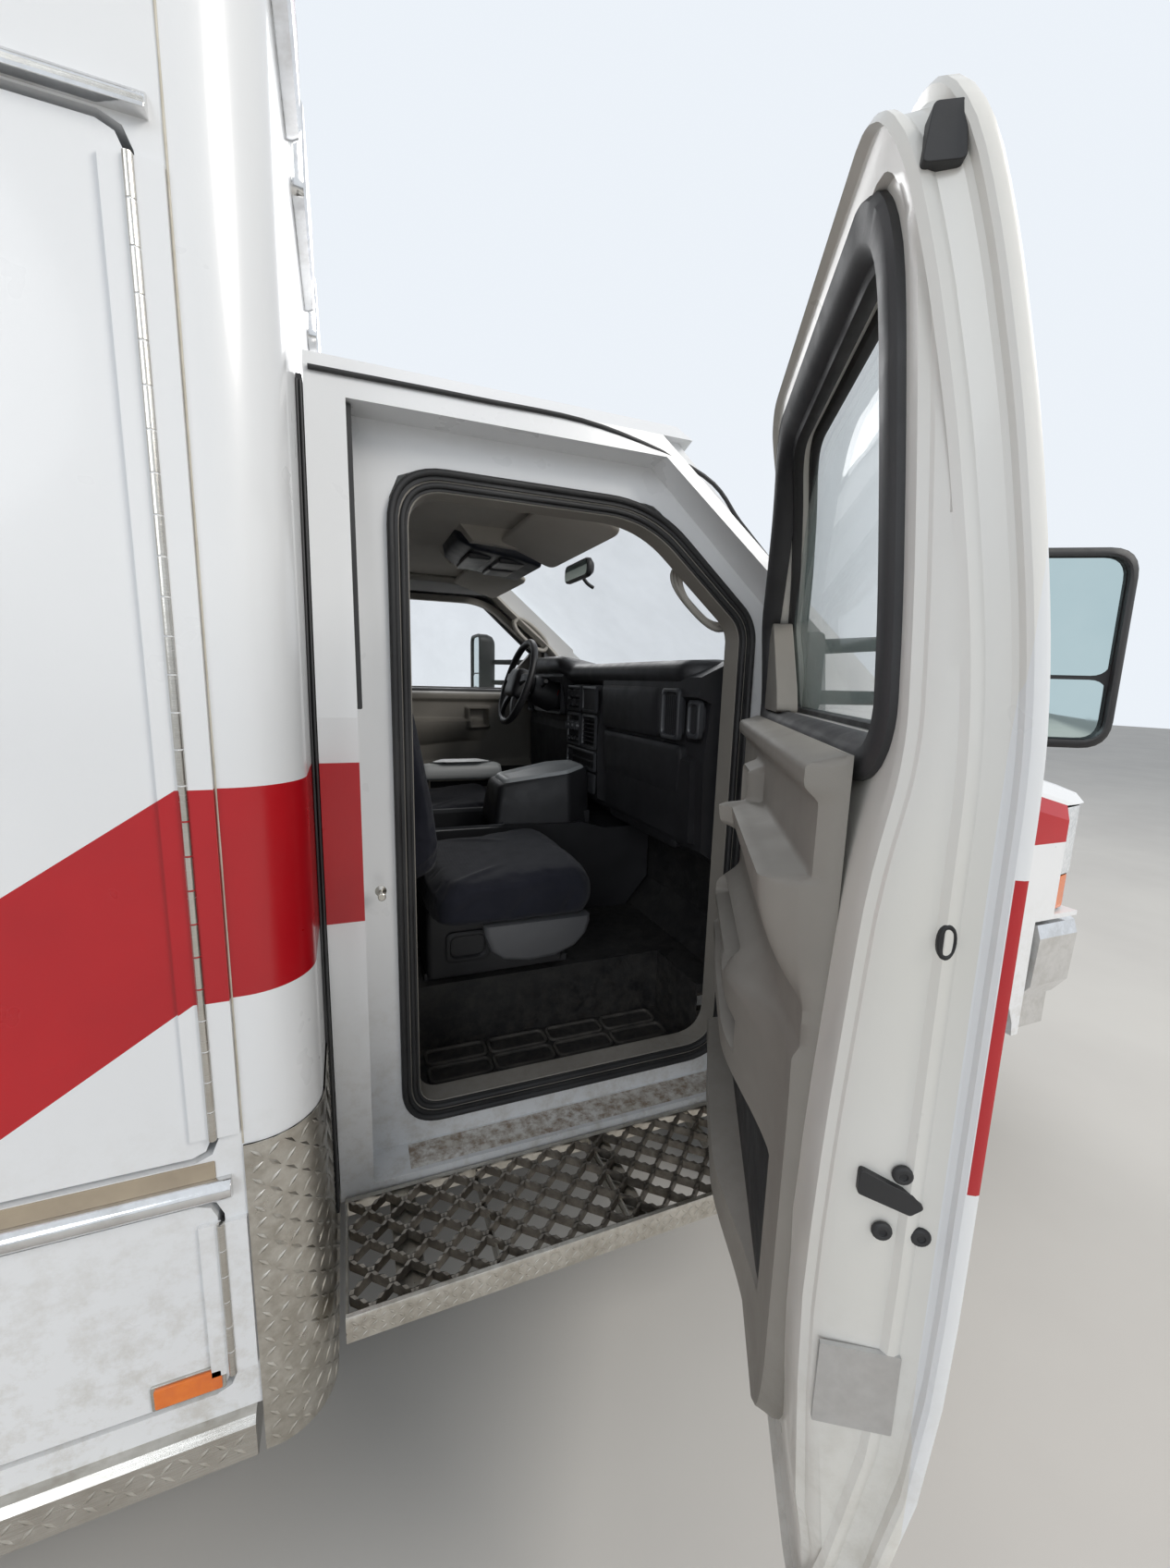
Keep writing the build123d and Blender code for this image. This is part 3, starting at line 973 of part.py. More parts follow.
# Cab doors with trim, glass and mirror: the passenger's stands open
for name, side, angle in (("driver", LEFT, 0.0), ("passenger", RIGHT, DOOR_OPEN_ANGLE)):
    with BuildPart() as cab_door:
        add(swing(cab_door_closed(side), side, angle))
    cab_door.part.label = f"{name}_door"
    export_step(cab_door.part, f"parts/{name}_door.step")
    with BuildPart() as door_trim:
        add(swing(cab_trim_closed(side), side, angle))
    door_trim.part.label = f"{name}_door_trim"
    export_step(door_trim.part, f"parts/{name}_door_trim.step")
    with BuildPart() as door_glass:
        add(swing(cab_glass_closed(side), side, angle))
    door_glass.part.label = f"{name}_door_glass"
    export_step(door_glass.part, f"parts/{name}_door_glass.step")
    with BuildPart() as door_mirror:
        add(swing(cab_mirror_closed(side), side, angle))
    door_mirror.part.label = f"{name}_door_mirror"
    export_step(door_mirror.part, f"parts/{name}_door_mirror.step")

# Dashboard with its centre stack and the steering column
tilt = radians(WHEEL_TILT)
column_dir = (cos(tilt), 0.0, -sin(tilt))


def along_column(distance):
    """Point on the steering axis, measured forward of the wheel's centre."""
    return tuple(c + d * distance for c, d in zip(WHEEL_CENTRE, column_dir))


DASH_REAR = FIREWALL_X - 210.0
DASH_TOP = 1560.0
DASH_END = WHEELBASE - 59.0
STACK_HALF = 150.0
with BuildPart() as dashboard:
    profile = [
        (DASH_REAR, 1060), (DASH_REAR - 10, 1300), (DASH_REAR + 10, 1500), (DASH_REAR + 70, DASH_TOP),
        (DASH_REAR + 130, DASH_TOP + 4), (DASH_END, COWL_Z + 32), (DASH_END, COWL_Z),
        (FIREWALL_X - CAB_FLOOR_THICK, COWL_Z), (FIREWALL_X - CAB_FLOOR_THICK, 1040), (DASH_REAR + 90, 1000),
    ]
    add(slab_xz(profile, -FLANGE_IN + 4, FLANGE_IN - 4))
    stack = [(DASH_REAR + 30, 1060), (DASH_REAR - 34, 1090), (DASH_REAR - 40, 1300), (DASH_REAR - 20, 1490),
             (DASH_REAR + 40, 1500)]
    add(slab_xz(stack, -STACK_HALF, STACK_HALF))
    for y0, y1, z0, z1 in ((-130, -10, 1400, 1480), (-130, -10, 1270, 1385), (5, 130, 1400, 1480),
                           (5, 130, 1270, 1385), (-130, 130, 1190, 1255), (-130, 130, 1110, 1175)):
        block(DASH_REAR - 60, DASH_REAR - 24, y0, y1, z0, z1, mode=Mode.SUBTRACT)
    cluster_hood = [(DASH_REAR + 60, 1330), (DASH_REAR - 20, 1340), (DASH_REAR - 50, 1520),
                    (DASH_REAR - 20, DASH_TOP + 10), (DASH_REAR + 120, DASH_TOP + 4)]
    add(slab_xz(cluster_hood, 200, 640))
    dials = [(DASH_REAR - 52, 1362), (DASH_REAR + 10, 1362), (DASH_REAR + 10, 1512), (DASH_REAR - 52, 1512)]
    add(slab_xz(dials, 222, 618, 30), mode=Mode.SUBTRACT)
    brow = [(DASH_REAR + 40, 1440), (DASH_REAR - 34, 1470), (DASH_REAR - 30, 1520), (DASH_REAR + 60, DASH_TOP + 3)]
    add(slab_xz(brow, -FLANGE_IN + 4, -STACK_HALF - 20))
    glove = [(DASH_REAR + 60, 1060), (DASH_REAR - 20, 1080), (DASH_REAR - 26, 1300), (DASH_REAR + 20, 1330)]
    add(slab_xz(glove, -FLANGE_IN + 40, -STACK_HALF - 40))
    for y0, y1 in ((-FLANGE_IN + 30, -FLANGE_IN + 110), (-STACK_HALF - 120, -STACK_HALF - 40)):
        block(DASH_REAR - 60, DASH_REAR + 2, y0, y1, 1350, 1450, mode=Mode.SUBTRACT)
    add(rod(along_column(58), along_column(240), COLUMN_RADIUS))
    add(bore(along_column(50), along_column(130), SHAFT_RADIUS + SEAT_GAP), mode=Mode.SUBTRACT)
dashboard.part.label = "dashboard"
export_step(dashboard.part, "parts/dashboard.step")

# Steering wheel: rim, hub and three spokes on its shaft
wheel_plane = Plane(origin=WHEEL_CENTRE, x_dir=(0, 1, 0), z_dir=column_dir)
with BuildPart() as steering_wheel:
    middle = WHEEL_RADIUS - WHEEL_RIM
    flat = WHEEL_RIM * 0.4
    with BuildPart(mode=Mode.PRIVATE) as rim_ring:
        outer = [(-WHEEL_RIM, middle + flat), (0, middle + WHEEL_RIM), (WHEEL_RIM, middle + flat)]
        inner = [(-WHEEL_RIM - 0.1, middle - flat), (0, middle - WHEEL_RIM), (WHEEL_RIM + 0.1, middle - flat)]
        add(turned(outer, wheel_plane))
        add(turned(inner, wheel_plane), mode=Mode.SUBTRACT)
    add(rim_ring.part)
    add(rod(along_column(-28), along_column(32), 68))
    for angle in (0, 180, 270):
        with BuildSketch(wheel_plane.offset(-10)):
            with Locations(Rotation(0, 0, angle)):
                with Locations((WHEEL_RADIUS / 2, 0)):
                    Rectangle(WHEEL_RADIUS - 2 * WHEEL_RIM, 34)
        extrude(amount=20)
    add(rod(along_column(30), along_column(120), SHAFT_RADIUS))
steering_wheel.part.label = "steering_wheel"
export_step(steering_wheel.part, "parts/steering_wheel.step")

# Centre console over the engine cover: broad kneed cover in front, bin with a tray behind it
CONSOLE_TOP = 1010.0
CONSOLE_REAR = CAB_REAR + 238.0
with BuildPart() as centre_console:
    floor_z = CAB_FLOOR_Z + CAB_FLOOR_THICK
    toe = TOE_X - 30
    profile = [
        (CONSOLE_REAR, floor_z), (toe, floor_z), (FIREWALL_X - 40, floor_z + 105),
        (FIREWALL_X - 40, 985), (DASH_REAR - 10, 985), (DASH_REAR - 100, CONSOLE_TOP), (CONSOLE_REAR, CONSOLE_TOP),
    ]
    add(slab_xz(profile, -170, 170))
    add(slab_xz([(CONSOLE_REAR + 320, CONSOLE_TOP - 2), (DASH_REAR - 50, CONSOLE_TOP - 14), (DASH_REAR - 50, 1040),
                 (CONSOLE_REAR + 360, CONSOLE_TOP + 14)], -120, 120))
    block(CONSOLE_REAR + 40, CONSOLE_REAR + 290, -140, 140, CONSOLE_TOP - 90, CONSOLE_TOP + 1, mode=Mode.SUBTRACT)
centre_console.part.label = "centre_console"
export_step(centre_console.part, "parts/centre_console.step")

# Seats: pedestal with a valance, cushion, back and head rest
SEAT_Y = 450.0
SEAT_HALF = 250.0
SEAT_REAR = CAB_REAR + 178.0
SEAT_FRONT = SEAT_REAR + 490.0
SEAT_LOW = 880.0
PEDESTAL_OUT = 105.0
with BuildPart() as cab_seats:
    for name, side in SIDES:
        floor_z = CAB_FLOOR_Z + CAB_FLOOR_THICK
        y0, y1 = sided(side, SEAT_Y - SEAT_HALF + 50, SEAT_Y + PEDESTAL_OUT)
        block(SEAT_REAR + 40, SEAT_FRONT - 50, y0, y1, floor_z, SEAT_LOW)
        w0, w1 = sided(side, SEAT_Y + PEDESTAL_OUT - 30, SEAT_Y + PEDESTAL_OUT + 1)
        for x0, x1 in ((SEAT_REAR + 90, SEAT_REAR + 210), (SEAT_REAR + 260, SEAT_FRONT - 90)):
            add(slab_xz([(x0, 740), (x1, 740), (x1, 820), (x0, 820)], w0, w1, 25, 1), mode=Mode.SUBTRACT)
        y0, y1 = sided(side, SEAT_Y - SEAT_HALF, SEAT_Y + SEAT_HALF)
        cushion = [
            (SEAT_REAR + 30, SEAT_LOW), (SEAT_FRONT - 20, SEAT_LOW), (SEAT_FRONT, 990), (SEAT_FRONT - 60, 1020),
            (SEAT_REAR + 100, 990), (SEAT_REAR + 60, 1060), (SEAT_REAR - 50, 1640), (SEAT_REAR - 120, 1640),
            (SEAT_REAR - 60, 1060),
        ]
        add(slab_xz(cushion, y0, y1, 16, 1))
        v0, v1 = sided(side, SEAT_Y + SEAT_HALF - 60, SEAT_Y + SEAT_HALF - 12)
        valance = [(SEAT_REAR + 150, SEAT_LOW + 2), (SEAT_REAR + 175, SEAT_LOW - 45), (SEAT_FRONT - 90, SEAT_LOW - 45),
                   (SEAT_FRONT - 50, SEAT_LOW + 2)]
        add(slab_xz(valance, v0, v1))
        h0, h1 = sided(side, SEAT_Y - 130, SEAT_Y + 130)
        head = [(SEAT_REAR - 45, 1630), (SEAT_REAR - 62, 1800), (SEAT_REAR - 130, 1800), (SEAT_REAR - 118, 1630)]
        add(slab_xz(head, h0, h1, 18, 1))
cab_seats.part.label = "cab_seats"
export_step(cab_seats.part, "parts/cab_seats.step")

# Head lining with a tapered overhead console
LINING_Z = GUTTER_Z - 45.0
LINING_FRONT = SLOPE_X - 10.0
with BuildPart() as headliner:
    block(CAB_REAR + CAB_FLOOR_THICK, LINING_FRONT, -FLANGE_IN, FLANGE_IN, LINING_Z, LINING_Z + 23)
    pod = [(LINING_FRONT - 290, LINING_Z + 1), (LINING_FRONT - 250, LINING_Z - 45), (LINING_FRONT - 60, LINING_Z - 60),
           (LINING_FRONT - 10, LINING_Z - 40), (LINING_FRONT - 10, LINING_Z + 1)]
    add(slab_xz(pod, -210, 210))
headliner.part.label = "headliner"
export_step(headliner.part, "parts/headliner.step")

# Running boards on arms from the frame
BOARD_REAR = CAB_REAR + 8.0
BOARD_FRONT = FENDER_REAR - 22.0
BOARD_IN = ROCKER_Y + 10.0
BOARD_SHEET = 5.0
GRIP_ROWS = 2
GRIP_COUNT = 6
GRIP_RADIUS = 48.0
with BuildPart() as running_boards:
    for name, side in SIDES:
        y0, y1 = sided(side, BOARD_IN, BOARD_OUT)
        c0, c1 = sided(side, BOARD_IN + BOARD_SHEET, BOARD_OUT - BOARD_SHEET)
        low = BOARD_TOP - BOARD_FASCIA
        with BuildPart(mode=Mode.PRIVATE) as board:
            block(BOARD_REAR, BOARD_FRONT, y0, y1, low, BOARD_TOP)
            block(BOARD_REAR - 1, BOARD_FRONT + 1, c0, c1, low - 1, BOARD_TOP - BOARD_SHEET, mode=Mode.SUBTRACT)
            with BuildSketch(Plane.XY.offset(BOARD_TOP - BOARD_SHEET - 1)):
                with Locations(((BOARD_REAR + BOARD_FRONT) / 2, side * (BOARD_IN + BOARD_OUT) / 2)):
                    with GridLocations((BOARD_FRONT - BOARD_REAR) / GRIP_COUNT, 108, GRIP_COUNT, GRIP_ROWS):
                        RegularPolygon(GRIP_RADIUS, 4)
            extrude(amount=BOARD_SHEET + 2, mode=Mode.SUBTRACT)
            a0, a1 = sided(side, RAIL_Y + RAIL_WIDTH / 2, BOARD_OUT - BOARD_SHEET - 1)
            for x in (BOARD_REAR + 110, BOARD_REAR + 550):
                block(x - 25, x + 25, a0, a1, BOARD_TOP - 50, BOARD_TOP - 22)
                r0, r1 = sided(side, RAIL_Y + RAIL_WIDTH / 2, RAIL_Y + RAIL_WIDTH / 2 + 12)
                block(x - 25, x + 25, r0, r1, BOARD_TOP - 50, RAIL_TOP_FRONT - 60)
        add(board.part)
running_boards.part.label = "running_boards"
export_step(running_boards.part, "parts/running_boards.step")

# Box doors. Columns: node, side, rear x, front x, bottom z, top z, hinge end, bay depth, window bottom and top
FRONT_BAY = (BOX_FRONT - 765.0, BOX_FRONT - 141.0)
ENTRY_BAY = (BOX_FRONT - 1610.0, BOX_FRONT - 850.0)
REAR_BAY = (BOX_REAR + 180.0, -BOX_ARCH_RADIUS - 170.0)
BAY_LOW = SKIRT_Z + 50.0
BAY_TOP = 2071.0
BAY_WAIST = 1250.0
BAYS = (
    ("right_upper_door", RIGHT, *FRONT_BAY, 830.0, BAY_TOP, "front", BAY_DEPTH, None),
    ("right_lower_door", RIGHT, *FRONT_BAY, BAY_LOW, 752.0, "front", 400.0, None),
    ("entry_door", RIGHT, *ENTRY_BAY, BAY_LOW, BAY_TOP, "front", BAY_DEPTH, (1420.0, 1930.0)),
    ("right_rear_door", RIGHT, *REAR_BAY, BAY_LOW, BAY_TOP, "front", BAY_DEPTH, None),
    ("left_front_door", LEFT, *FRONT_BAY, BAY_LOW, BAY_TOP, "front", BAY_DEPTH, None),
    ("left_middle_door", LEFT, BOX_ARCH_RADIUS + 110.0, BOX_FRONT - 870.0, BAY_LOW, BAY_WAIST, "front", BAY_DEPTH, None),
    ("left_rear_door", LEFT, *REAR_BAY, BAY_LOW, BAY_WAIST, "rear", BAY_DEPTH, None),
)
BOX_IN = BOX_HALF - WALL
WALL_TOP = BOX_TOP - ROOF_SLAB

# Box side walls between the corner seams, with the door openings and wheel arches
with BuildPart() as module_side_walls:
    for name, side in SIDES:
        y0, y1 = sided(side, BOX_IN, BOX_HALF)
        leaves = []
        with BuildPart(mode=Mode.PRIVATE) as wall:
            block(BOX_REAR + SEAM, BOX_FRONT - SEAM, y0, y1, SKIRT_Z, WALL_TOP)
            for node, bay_side, x0, x1, z0, z1, hinge, depth, window in BAYS:
                if bay_side == side:
                    g = DOOR_GAP
                    leaf_x = x1 + g / 2 if hinge == "front" else x0 - g / 2
                    way = 1 if hinge == "front" else -1
                    leaf_start = leaf_x + way * (HINGE_BARREL + SEAT_GAP)
                    leaves.append((leaf_start, leaf_start + way * HINGE_LEAF, z0 + 30, z1 - 30))
                    add(rounded_xz(x0 - g, x1 + g, z0 - g, z1 + g, y0 - 1, y1 + 1, 30), mode=Mode.SUBTRACT)
            arch = rod((0, y0 - 1, TYRE_RADIUS), (0, y1 + 1, TYRE_RADIUS), BOX_ARCH_RADIUS, WHEEL_SIDES)
            add(arch, mode=Mode.SUBTRACT)
            for start, end, z0, z1 in leaves:
                block(min(start, end), max(start, end), *sided(side, BOX_HALF, BOX_HALF + HINGE_OUT), z0, z1)
        add(wall.part)
module_side_walls.part.label = "module_side_walls"
export_step(module_side_walls.part, "parts/module_side_walls.step")


def wrapped_corner(x_face, radius, way):
    """Plan points of the left corner at one end of the box, from the side to the end face."""
    centre = (x_face - way * CORNER_RADIUS, BOX_HALF - CORNER_RADIUS)
    end = 0 if way > 0 else 180
    return chords(centre, radius, 90, end, CORNER_CHORDS)


def end_wall(x_seam, x_face):
    """End wall with wrapped corners, from one seam round the end to the other."""
    way = 1 if x_face > x_seam else -1
    outer = [(x_seam, BOX_HALF)] + wrapped_corner(x_face, CORNER_RADIUS, way)
    inner = [(x_seam, BOX_IN)] + wrapped_corner(x_face, CORNER_RADIUS - WALL, way)
    outline = outer + [(x, -y) for x, y in reversed(outer)] + [(x, -y) for x, y in inner] + list(reversed(inner))
    return slab_xy(outline, SKIRT_Z, WALL_TOP)


# Box end walls: the front one has the pass-through, the rear one the double doorway
with BuildPart() as module_end_walls:
    with BuildPart(mode=Mode.PRIVATE) as front_wall:
        add(end_wall(BOX_FRONT - SEAM, BOX_FRONT))
        block(BOX_FRONT - WALL - 1, BOX_FRONT + 1, -PASS_HALF, PASS_HALF, PASS_BOTTOM, PASS_TOP, mode=Mode.SUBTRACT)
        block(BOX_FRONT - WALL - 1, BOX_FRONT + 1, -620, 620, SKIRT_Z - 1, FLOOR_Z - 60, mode=Mode.SUBTRACT)
    add(front_wall.part)
    with BuildPart(mode=Mode.PRIVATE) as rear_wall:
        add(end_wall(BOX_REAR + SEAM, BOX_REAR))
        g = DOOR_GAP
        block(BOX_REAR - 1, BOX_REAR + WALL + 1, -REAR_DOOR_HALF - g, REAR_DOOR_HALF + g, REAR_DOOR_BOTTOM - g,
              REAR_DOOR_TOP + g, mode=Mode.SUBTRACT)
        block(BOX_REAR - 1, BOX_REAR + WALL + 1, -620, 620, SKIRT_Z - 1, FLOOR_Z - 60, mode=Mode.SUBTRACT)
        for name, side in SIDES:
            start = REAR_DOOR_HALF + g / 2 + HINGE_BARREL + SEAT_GAP
            block(BOX_REAR - HINGE_OUT, BOX_REAR, *sided(side, start, start + HINGE_LEAF),
                  REAR_DOOR_BOTTOM + 30, REAR_DOOR_TOP - 30)
    add(rear_wall.part)
module_end_walls.part.label = "module_end_walls"
export_step(module_end_walls.part, "parts/module_end_walls.step")

# Box roof: rounded in plan like the walls, with a rolled upper edge
with BuildPart() as module_roof:
    roll = 0.3 * ROOF_EDGE_RADIUS
    for z, inset in ((WALL_TOP, 0), (BOX_TOP - ROOF_EDGE_RADIUS, 0), (BOX_TOP - roll, roll),
                     (BOX_TOP, ROOF_EDGE_RADIUS)):
        corner = CORNER_RADIUS - inset
        front = chords((BOX_FRONT - CORNER_RADIUS, BOX_HALF - CORNER_RADIUS), corner, 90, 0, CORNER_CHORDS)
        rear = chords((BOX_REAR + CORNER_RADIUS, BOX_HALF - CORNER_RADIUS), corner, 180, 90, CORNER_CHORDS)
        left = rear + front
        with BuildSketch(Plane.XY.offset(z)):
            with BuildLine():
                Polyline(*left, *[(x, -y) for x, y in reversed(left)], close=True)
            make_face()
    loft(ruled=True)
module_roof.part.label = "module_roof"
export_step(module_roof.part, "parts/module_roof.step")


def liner_box(side, x0, x1, z0, z1, depth, grow=0.0):
    """Corner values of a bay's sheet box behind the wall."""
    y0, y1 = sided(side, BOX_IN - depth - grow, BOX_IN)
    return x0 - grow, x1 + grow, y0, y1, z0 - grow, z1 + grow


# Box floor on its sills, notched for the bays and the rear wheels
with BuildPart() as module_floor:
    block(BOX_REAR + WALL, BOX_FRONT - WALL, -BOX_IN, BOX_IN, FLOOR_Z, FLOOR_Z + FLOOR_THICK)
    for name, side in SIDES:
        s0, s1 = sided(side, RAIL_Y - 30, RAIL_Y + 30)
        block(BOX_REAR + WALL, RAIL_KINK_X - 10, s0, s1, RAIL_TOP_REAR, FLOOR_Z)
        w0, w1 = sided(side, WHEELHOUSE_INNER_Y - SHEET, BOX_IN + 1)
        block(-BOX_ARCH_RADIUS - 14, BOX_ARCH_RADIUS + 14, w0, w1, FLOOR_Z - 1, FLOOR_Z + FLOOR_THICK + 1,
              mode=Mode.SUBTRACT)
        c0, c1 = sided(side, BOX_IN - CORNER_RADIUS, BOX_IN + 1)
        block(BOX_REAR, BOX_REAR + SEAM, c0, c1, FLOOR_Z - 1, FLOOR_Z + FLOOR_THICK + 1, mode=Mode.SUBTRACT)
        block(BOX_FRONT - SEAM, BOX_FRONT, c0, c1, FLOOR_Z - 1, FLOOR_Z + FLOOR_THICK + 1, mode=Mode.SUBTRACT)
    for node, side, x0, x1, z0, z1, hinge, depth, window in BAYS:
        if z0 < FLOOR_Z:
            box = liner_box(side, x0, x1, z0, min(z1, FLOOR_Z + 200), depth, SHEET)
            if z1 > FLOOR_Z + FLOOR_THICK:
                block(*box, mode=Mode.SUBTRACT)
            else:
                block(*liner_box(side, x0, x1, z0, z1, depth, SHEET), mode=Mode.SUBTRACT)
module_floor.part.label = "module_floor"
export_step(module_floor.part, "parts/module_floor.step")

# Bays: sheet boxes behind the doors, the step well and the wheel houses
STEP_TREAD_Z = 610.0
with BuildPart() as compartments:
    for node, side, x0, x1, z0, z1, hinge, depth, window in BAYS:
        with BuildPart(mode=Mode.PRIVATE) as bay:
            if node == "entry_door":
                top = FLOOR_Z + FLOOR_THICK
                block(*liner_box(side, x0, x1, z0, top - SHEET, depth, SHEET))
                y0, y1 = sided(side, BOX_IN - depth, BOX_IN + 1)
                block(x0, x1, y0, y1, z0, top + 1, mode=Mode.SUBTRACT)
                t0, t1 = sided(side, BOX_IN - depth, BOX_IN - depth + 240)
                block(x0, x1, t0, t1, z0, STEP_TREAD_Z)
            else:
                block(*liner_box(side, x0, x1, z0, z1, depth, SHEET))
                y0, y1 = sided(side, BOX_IN - depth, BOX_IN + 1)
                block(x0, x1, y0, y1, z0, z1, mode=Mode.SUBTRACT)
        add(bay.part)
    for name, side in SIDES:
        half = BOX_ARCH_RADIUS + 10
        y0, y1 = sided(side, WHEELHOUSE_INNER_Y - SHEET, BOX_IN)
        c0, c1 = sided(side, WHEELHOUSE_INNER_Y, BOX_IN + 1)
        with BuildPart(mode=Mode.PRIVATE) as house:
            block(-half - SHEET, half + SHEET, y0, y1, 500, WHEELHOUSE_TOP)
            block(-half, half, c0, c1, 499, WHEELHOUSE_TOP - SHEET, mode=Mode.SUBTRACT)
        add(house.part)
compartments.part.label = "compartments"
export_step(compartments.part, "parts/compartments.step")

# Interior: bench along the right, cabinets along the left, attendant's seat at the front
BENCH_IN = 640.0
with BuildPart() as module_interior:
    floor_top = FLOOR_Z + FLOOR_THICK
    with BuildPart(mode=Mode.PRIVATE) as bench:
        bench_front = ENTRY_BAY[0] - 40
        block(-620, bench_front, -BOX_IN, -BENCH_IN, floor_top, 1190)
        block(-600, bench_front - 20, -BOX_IN + 4, -BENCH_IN + 30, 1190, 1260)
        half = BOX_ARCH_RADIUS + 10 + SHEET
        block(-half, half, -BOX_IN - 1, -WHEELHOUSE_INNER_Y + SHEET, floor_top - 1, WHEELHOUSE_TOP, mode=Mode.SUBTRACT)
    add(bench.part)
    with BuildPart(mode=Mode.PRIVATE) as cabinet:
        front = BOX_FRONT - 870
        block(-620, front, 770, BOX_IN, BAY_WAIST + 12, 2640)
        width = (front + 620 - 60) / 4
        for number in range(4):
            x0 = -570 + number * width
            block(x0, x0 + width - 50, 769, 782, 1750, 2150, mode=Mode.SUBTRACT)
            block(x0, x0 + width - 50, 769, 782, 2200, 2590, mode=Mode.SUBTRACT)
        block(-570, front - 60, 769, 782, 1320, 1700, mode=Mode.SUBTRACT)
    add(cabinet.part)
    with BuildPart(mode=Mode.PRIVATE) as attendant:
        back = BOX_FRONT - 210
        block(back - 450, back - 150, -150, 150, floor_top, 1120)
        chair = [(back - 510, 1120), (back - 70, 1120), (back - 70, 1210), (back, 1800), (back - 70, 1800),
                 (back - 170, 1230), (back - 510, 1230)]
        add(slab_xz(chair, -240, 240, 15))
    add(attendant.part)
module_interior.part.label = "module_interior"
export_step(module_interior.part, "parts/module_interior.step")

# Trim: drip rails, rub rails, corner guards and wheel opening rings
RAIL_OUT = 24.0
GUARD = 3.0
GUARD_TOP = 835.0
GUARD_BOTTOM = 293.0
GUARD_IN = 660.0
DRIP_OUT = 16.0
DRIP_GAP = 12.0
DRIP_HIGH = 20.0
RUB_LOW = 309.0
RUB_CHAMFER = 9.0
LOWER_RAIL_Z = 760.0
LOWER_RAIL_HIGH = 32.0
with BuildPart() as module_trim:
    for name, side in SIDES:
        rub_face = BOX_HALF + RAIL_OUT
        rub = [(BOX_HALF - 40, RUB_LOW), (rub_face - RUB_CHAMFER, RUB_LOW), (rub_face, RUB_LOW + RUB_CHAMFER),
               (rub_face, SKIRT_Z - RUB_CHAMFER), (rub_face - RUB_CHAMFER, SKIRT_Z), (BOX_HALF - 40, SKIRT_Z)]
        rub = [(side * y, z) for y, z in rub]
        for x0, x1 in ((BOX_REAR + SEAM, -BOX_ARCH_RADIUS - 40), (BOX_ARCH_RADIUS + 40, BOX_FRONT - SEAM - 8)):
            add(slab_yz(rub, x0, x1))
        for node, bay_side, bx0, bx1, z0, z1, hinge, depth, window in BAYS:
            if bay_side == side and node != "right_lower_door":
                low = z1 + DRIP_GAP
                drip = [(BOX_HALF, low), (BOX_HALF + DRIP_OUT, low), (BOX_HALF + DRIP_OUT, low + DRIP_HIGH / 2),
                        (BOX_HALF, low + DRIP_HIGH)]
                add(slab_yz([(side * y, z) for y, z in drip], bx0 - 30, bx1 + 24))
        d0, d1 = sided(side, BOX_HALF, BOX_HALF + DRIP_OUT)
        with BuildPart(mode=Mode.PRIVATE) as ring:
            add(rod((0, d0, TYRE_RADIUS), (0, d1, TYRE_RADIUS), BOX_ARCH_RADIUS + 34, WHEEL_SIDES))
            arch = rod((0, d0 - 1, TYRE_RADIUS), (0, d1 + 1, TYRE_RADIUS), BOX_ARCH_RADIUS, WHEEL_SIDES)
            add(arch, mode=Mode.SUBTRACT)
            block(-600, 600, d0 - 1, d1 + 1, -200, SKIRT_Z, mode=Mode.SUBTRACT)
        add(ring.part)
    half_round = chords((0, 0), 1, -90, 90, 6)
    rail = [(-BOX_HALF - DRIP_OUT * y, LOWER_RAIL_Z + LOWER_RAIL_HIGH * (1 + z) / 2) for y, z in half_round]
    add(slab_yz(rail, FRONT_BAY[0], FRONT_BAY[1] + 21))
    for name, side in SIDES:
        skin = [(BOX_FRONT - SEAM, BOX_HALF)] + wrapped_corner(BOX_FRONT, CORNER_RADIUS, 1) + [(BOX_FRONT, GUARD_IN)]
        face = [(BOX_FRONT - SEAM, BOX_HALF + GUARD)] + wrapped_corner(BOX_FRONT, CORNER_RADIUS + GUARD, 1)
        face += [(BOX_FRONT + GUARD, GUARD_IN)]
        plan = [(x, side * y) for x, y in skin + list(reversed(face))]
        add(slab_xy(plan, GUARD_BOTTOM, GUARD_TOP))
module_trim.part.label = "module_trim"
export_step(module_trim.part, "parts/module_trim.step")

# Lamps on the box. Columns: face, centre along the face, centre z, width, height
LAMP_OUT = 26.0
FRONT_LAMPS = ((-985, 290.0), (-540, 400.0), (0, 430.0), (540, 400.0), (985, 290.0))
LAMPS = [("front", y, 2440.0, width, 180.0) for y, width in FRONT_LAMPS]
LAMPS += [("rear", y, 2480.0, 230.0, 180.0) for y in (-1010, -400, 0, 400, 1010)]
LAMPS += [("rear", y, z, 160.0, 110.0) for y in (-930, 930) for z in (900.0, 1030.0, 1160.0)]
LAMP_SPACES = (BOX_REAR + 280, -760, 480, BOX_FRONT - 890, BOX_FRONT - 280)
LAMPS += [(name, x, 2440.0, 230.0, 180.0) for name in ("left", "right") for x in LAMP_SPACES]
with BuildPart() as module_lamps:
    for face, centre, z, width, height in LAMPS:
        a0, a1 = centre - width / 2, centre + width / 2
        z0, z1 = z - height / 2, z + height / 2
        if face == "front":
            add(slab_yz([(a0, z0), (a1, z0), (a1, z1), (a0, z1)], BOX_FRONT, BOX_FRONT + LAMP_OUT, 35, 1))
        elif face == "rear":
            add(slab_yz([(a0, z0), (a1, z0), (a1, z1), (a0, z1)], BOX_REAR - LAMP_OUT, BOX_REAR, 35, 1))
        else:
            side = LEFT if face == "left" else RIGHT
            y0, y1 = sided(side, BOX_HALF, BOX_HALF + LAMP_OUT)
            add(rounded_xz(a0, a1, z0, z1, y0, y1, 35, 1))
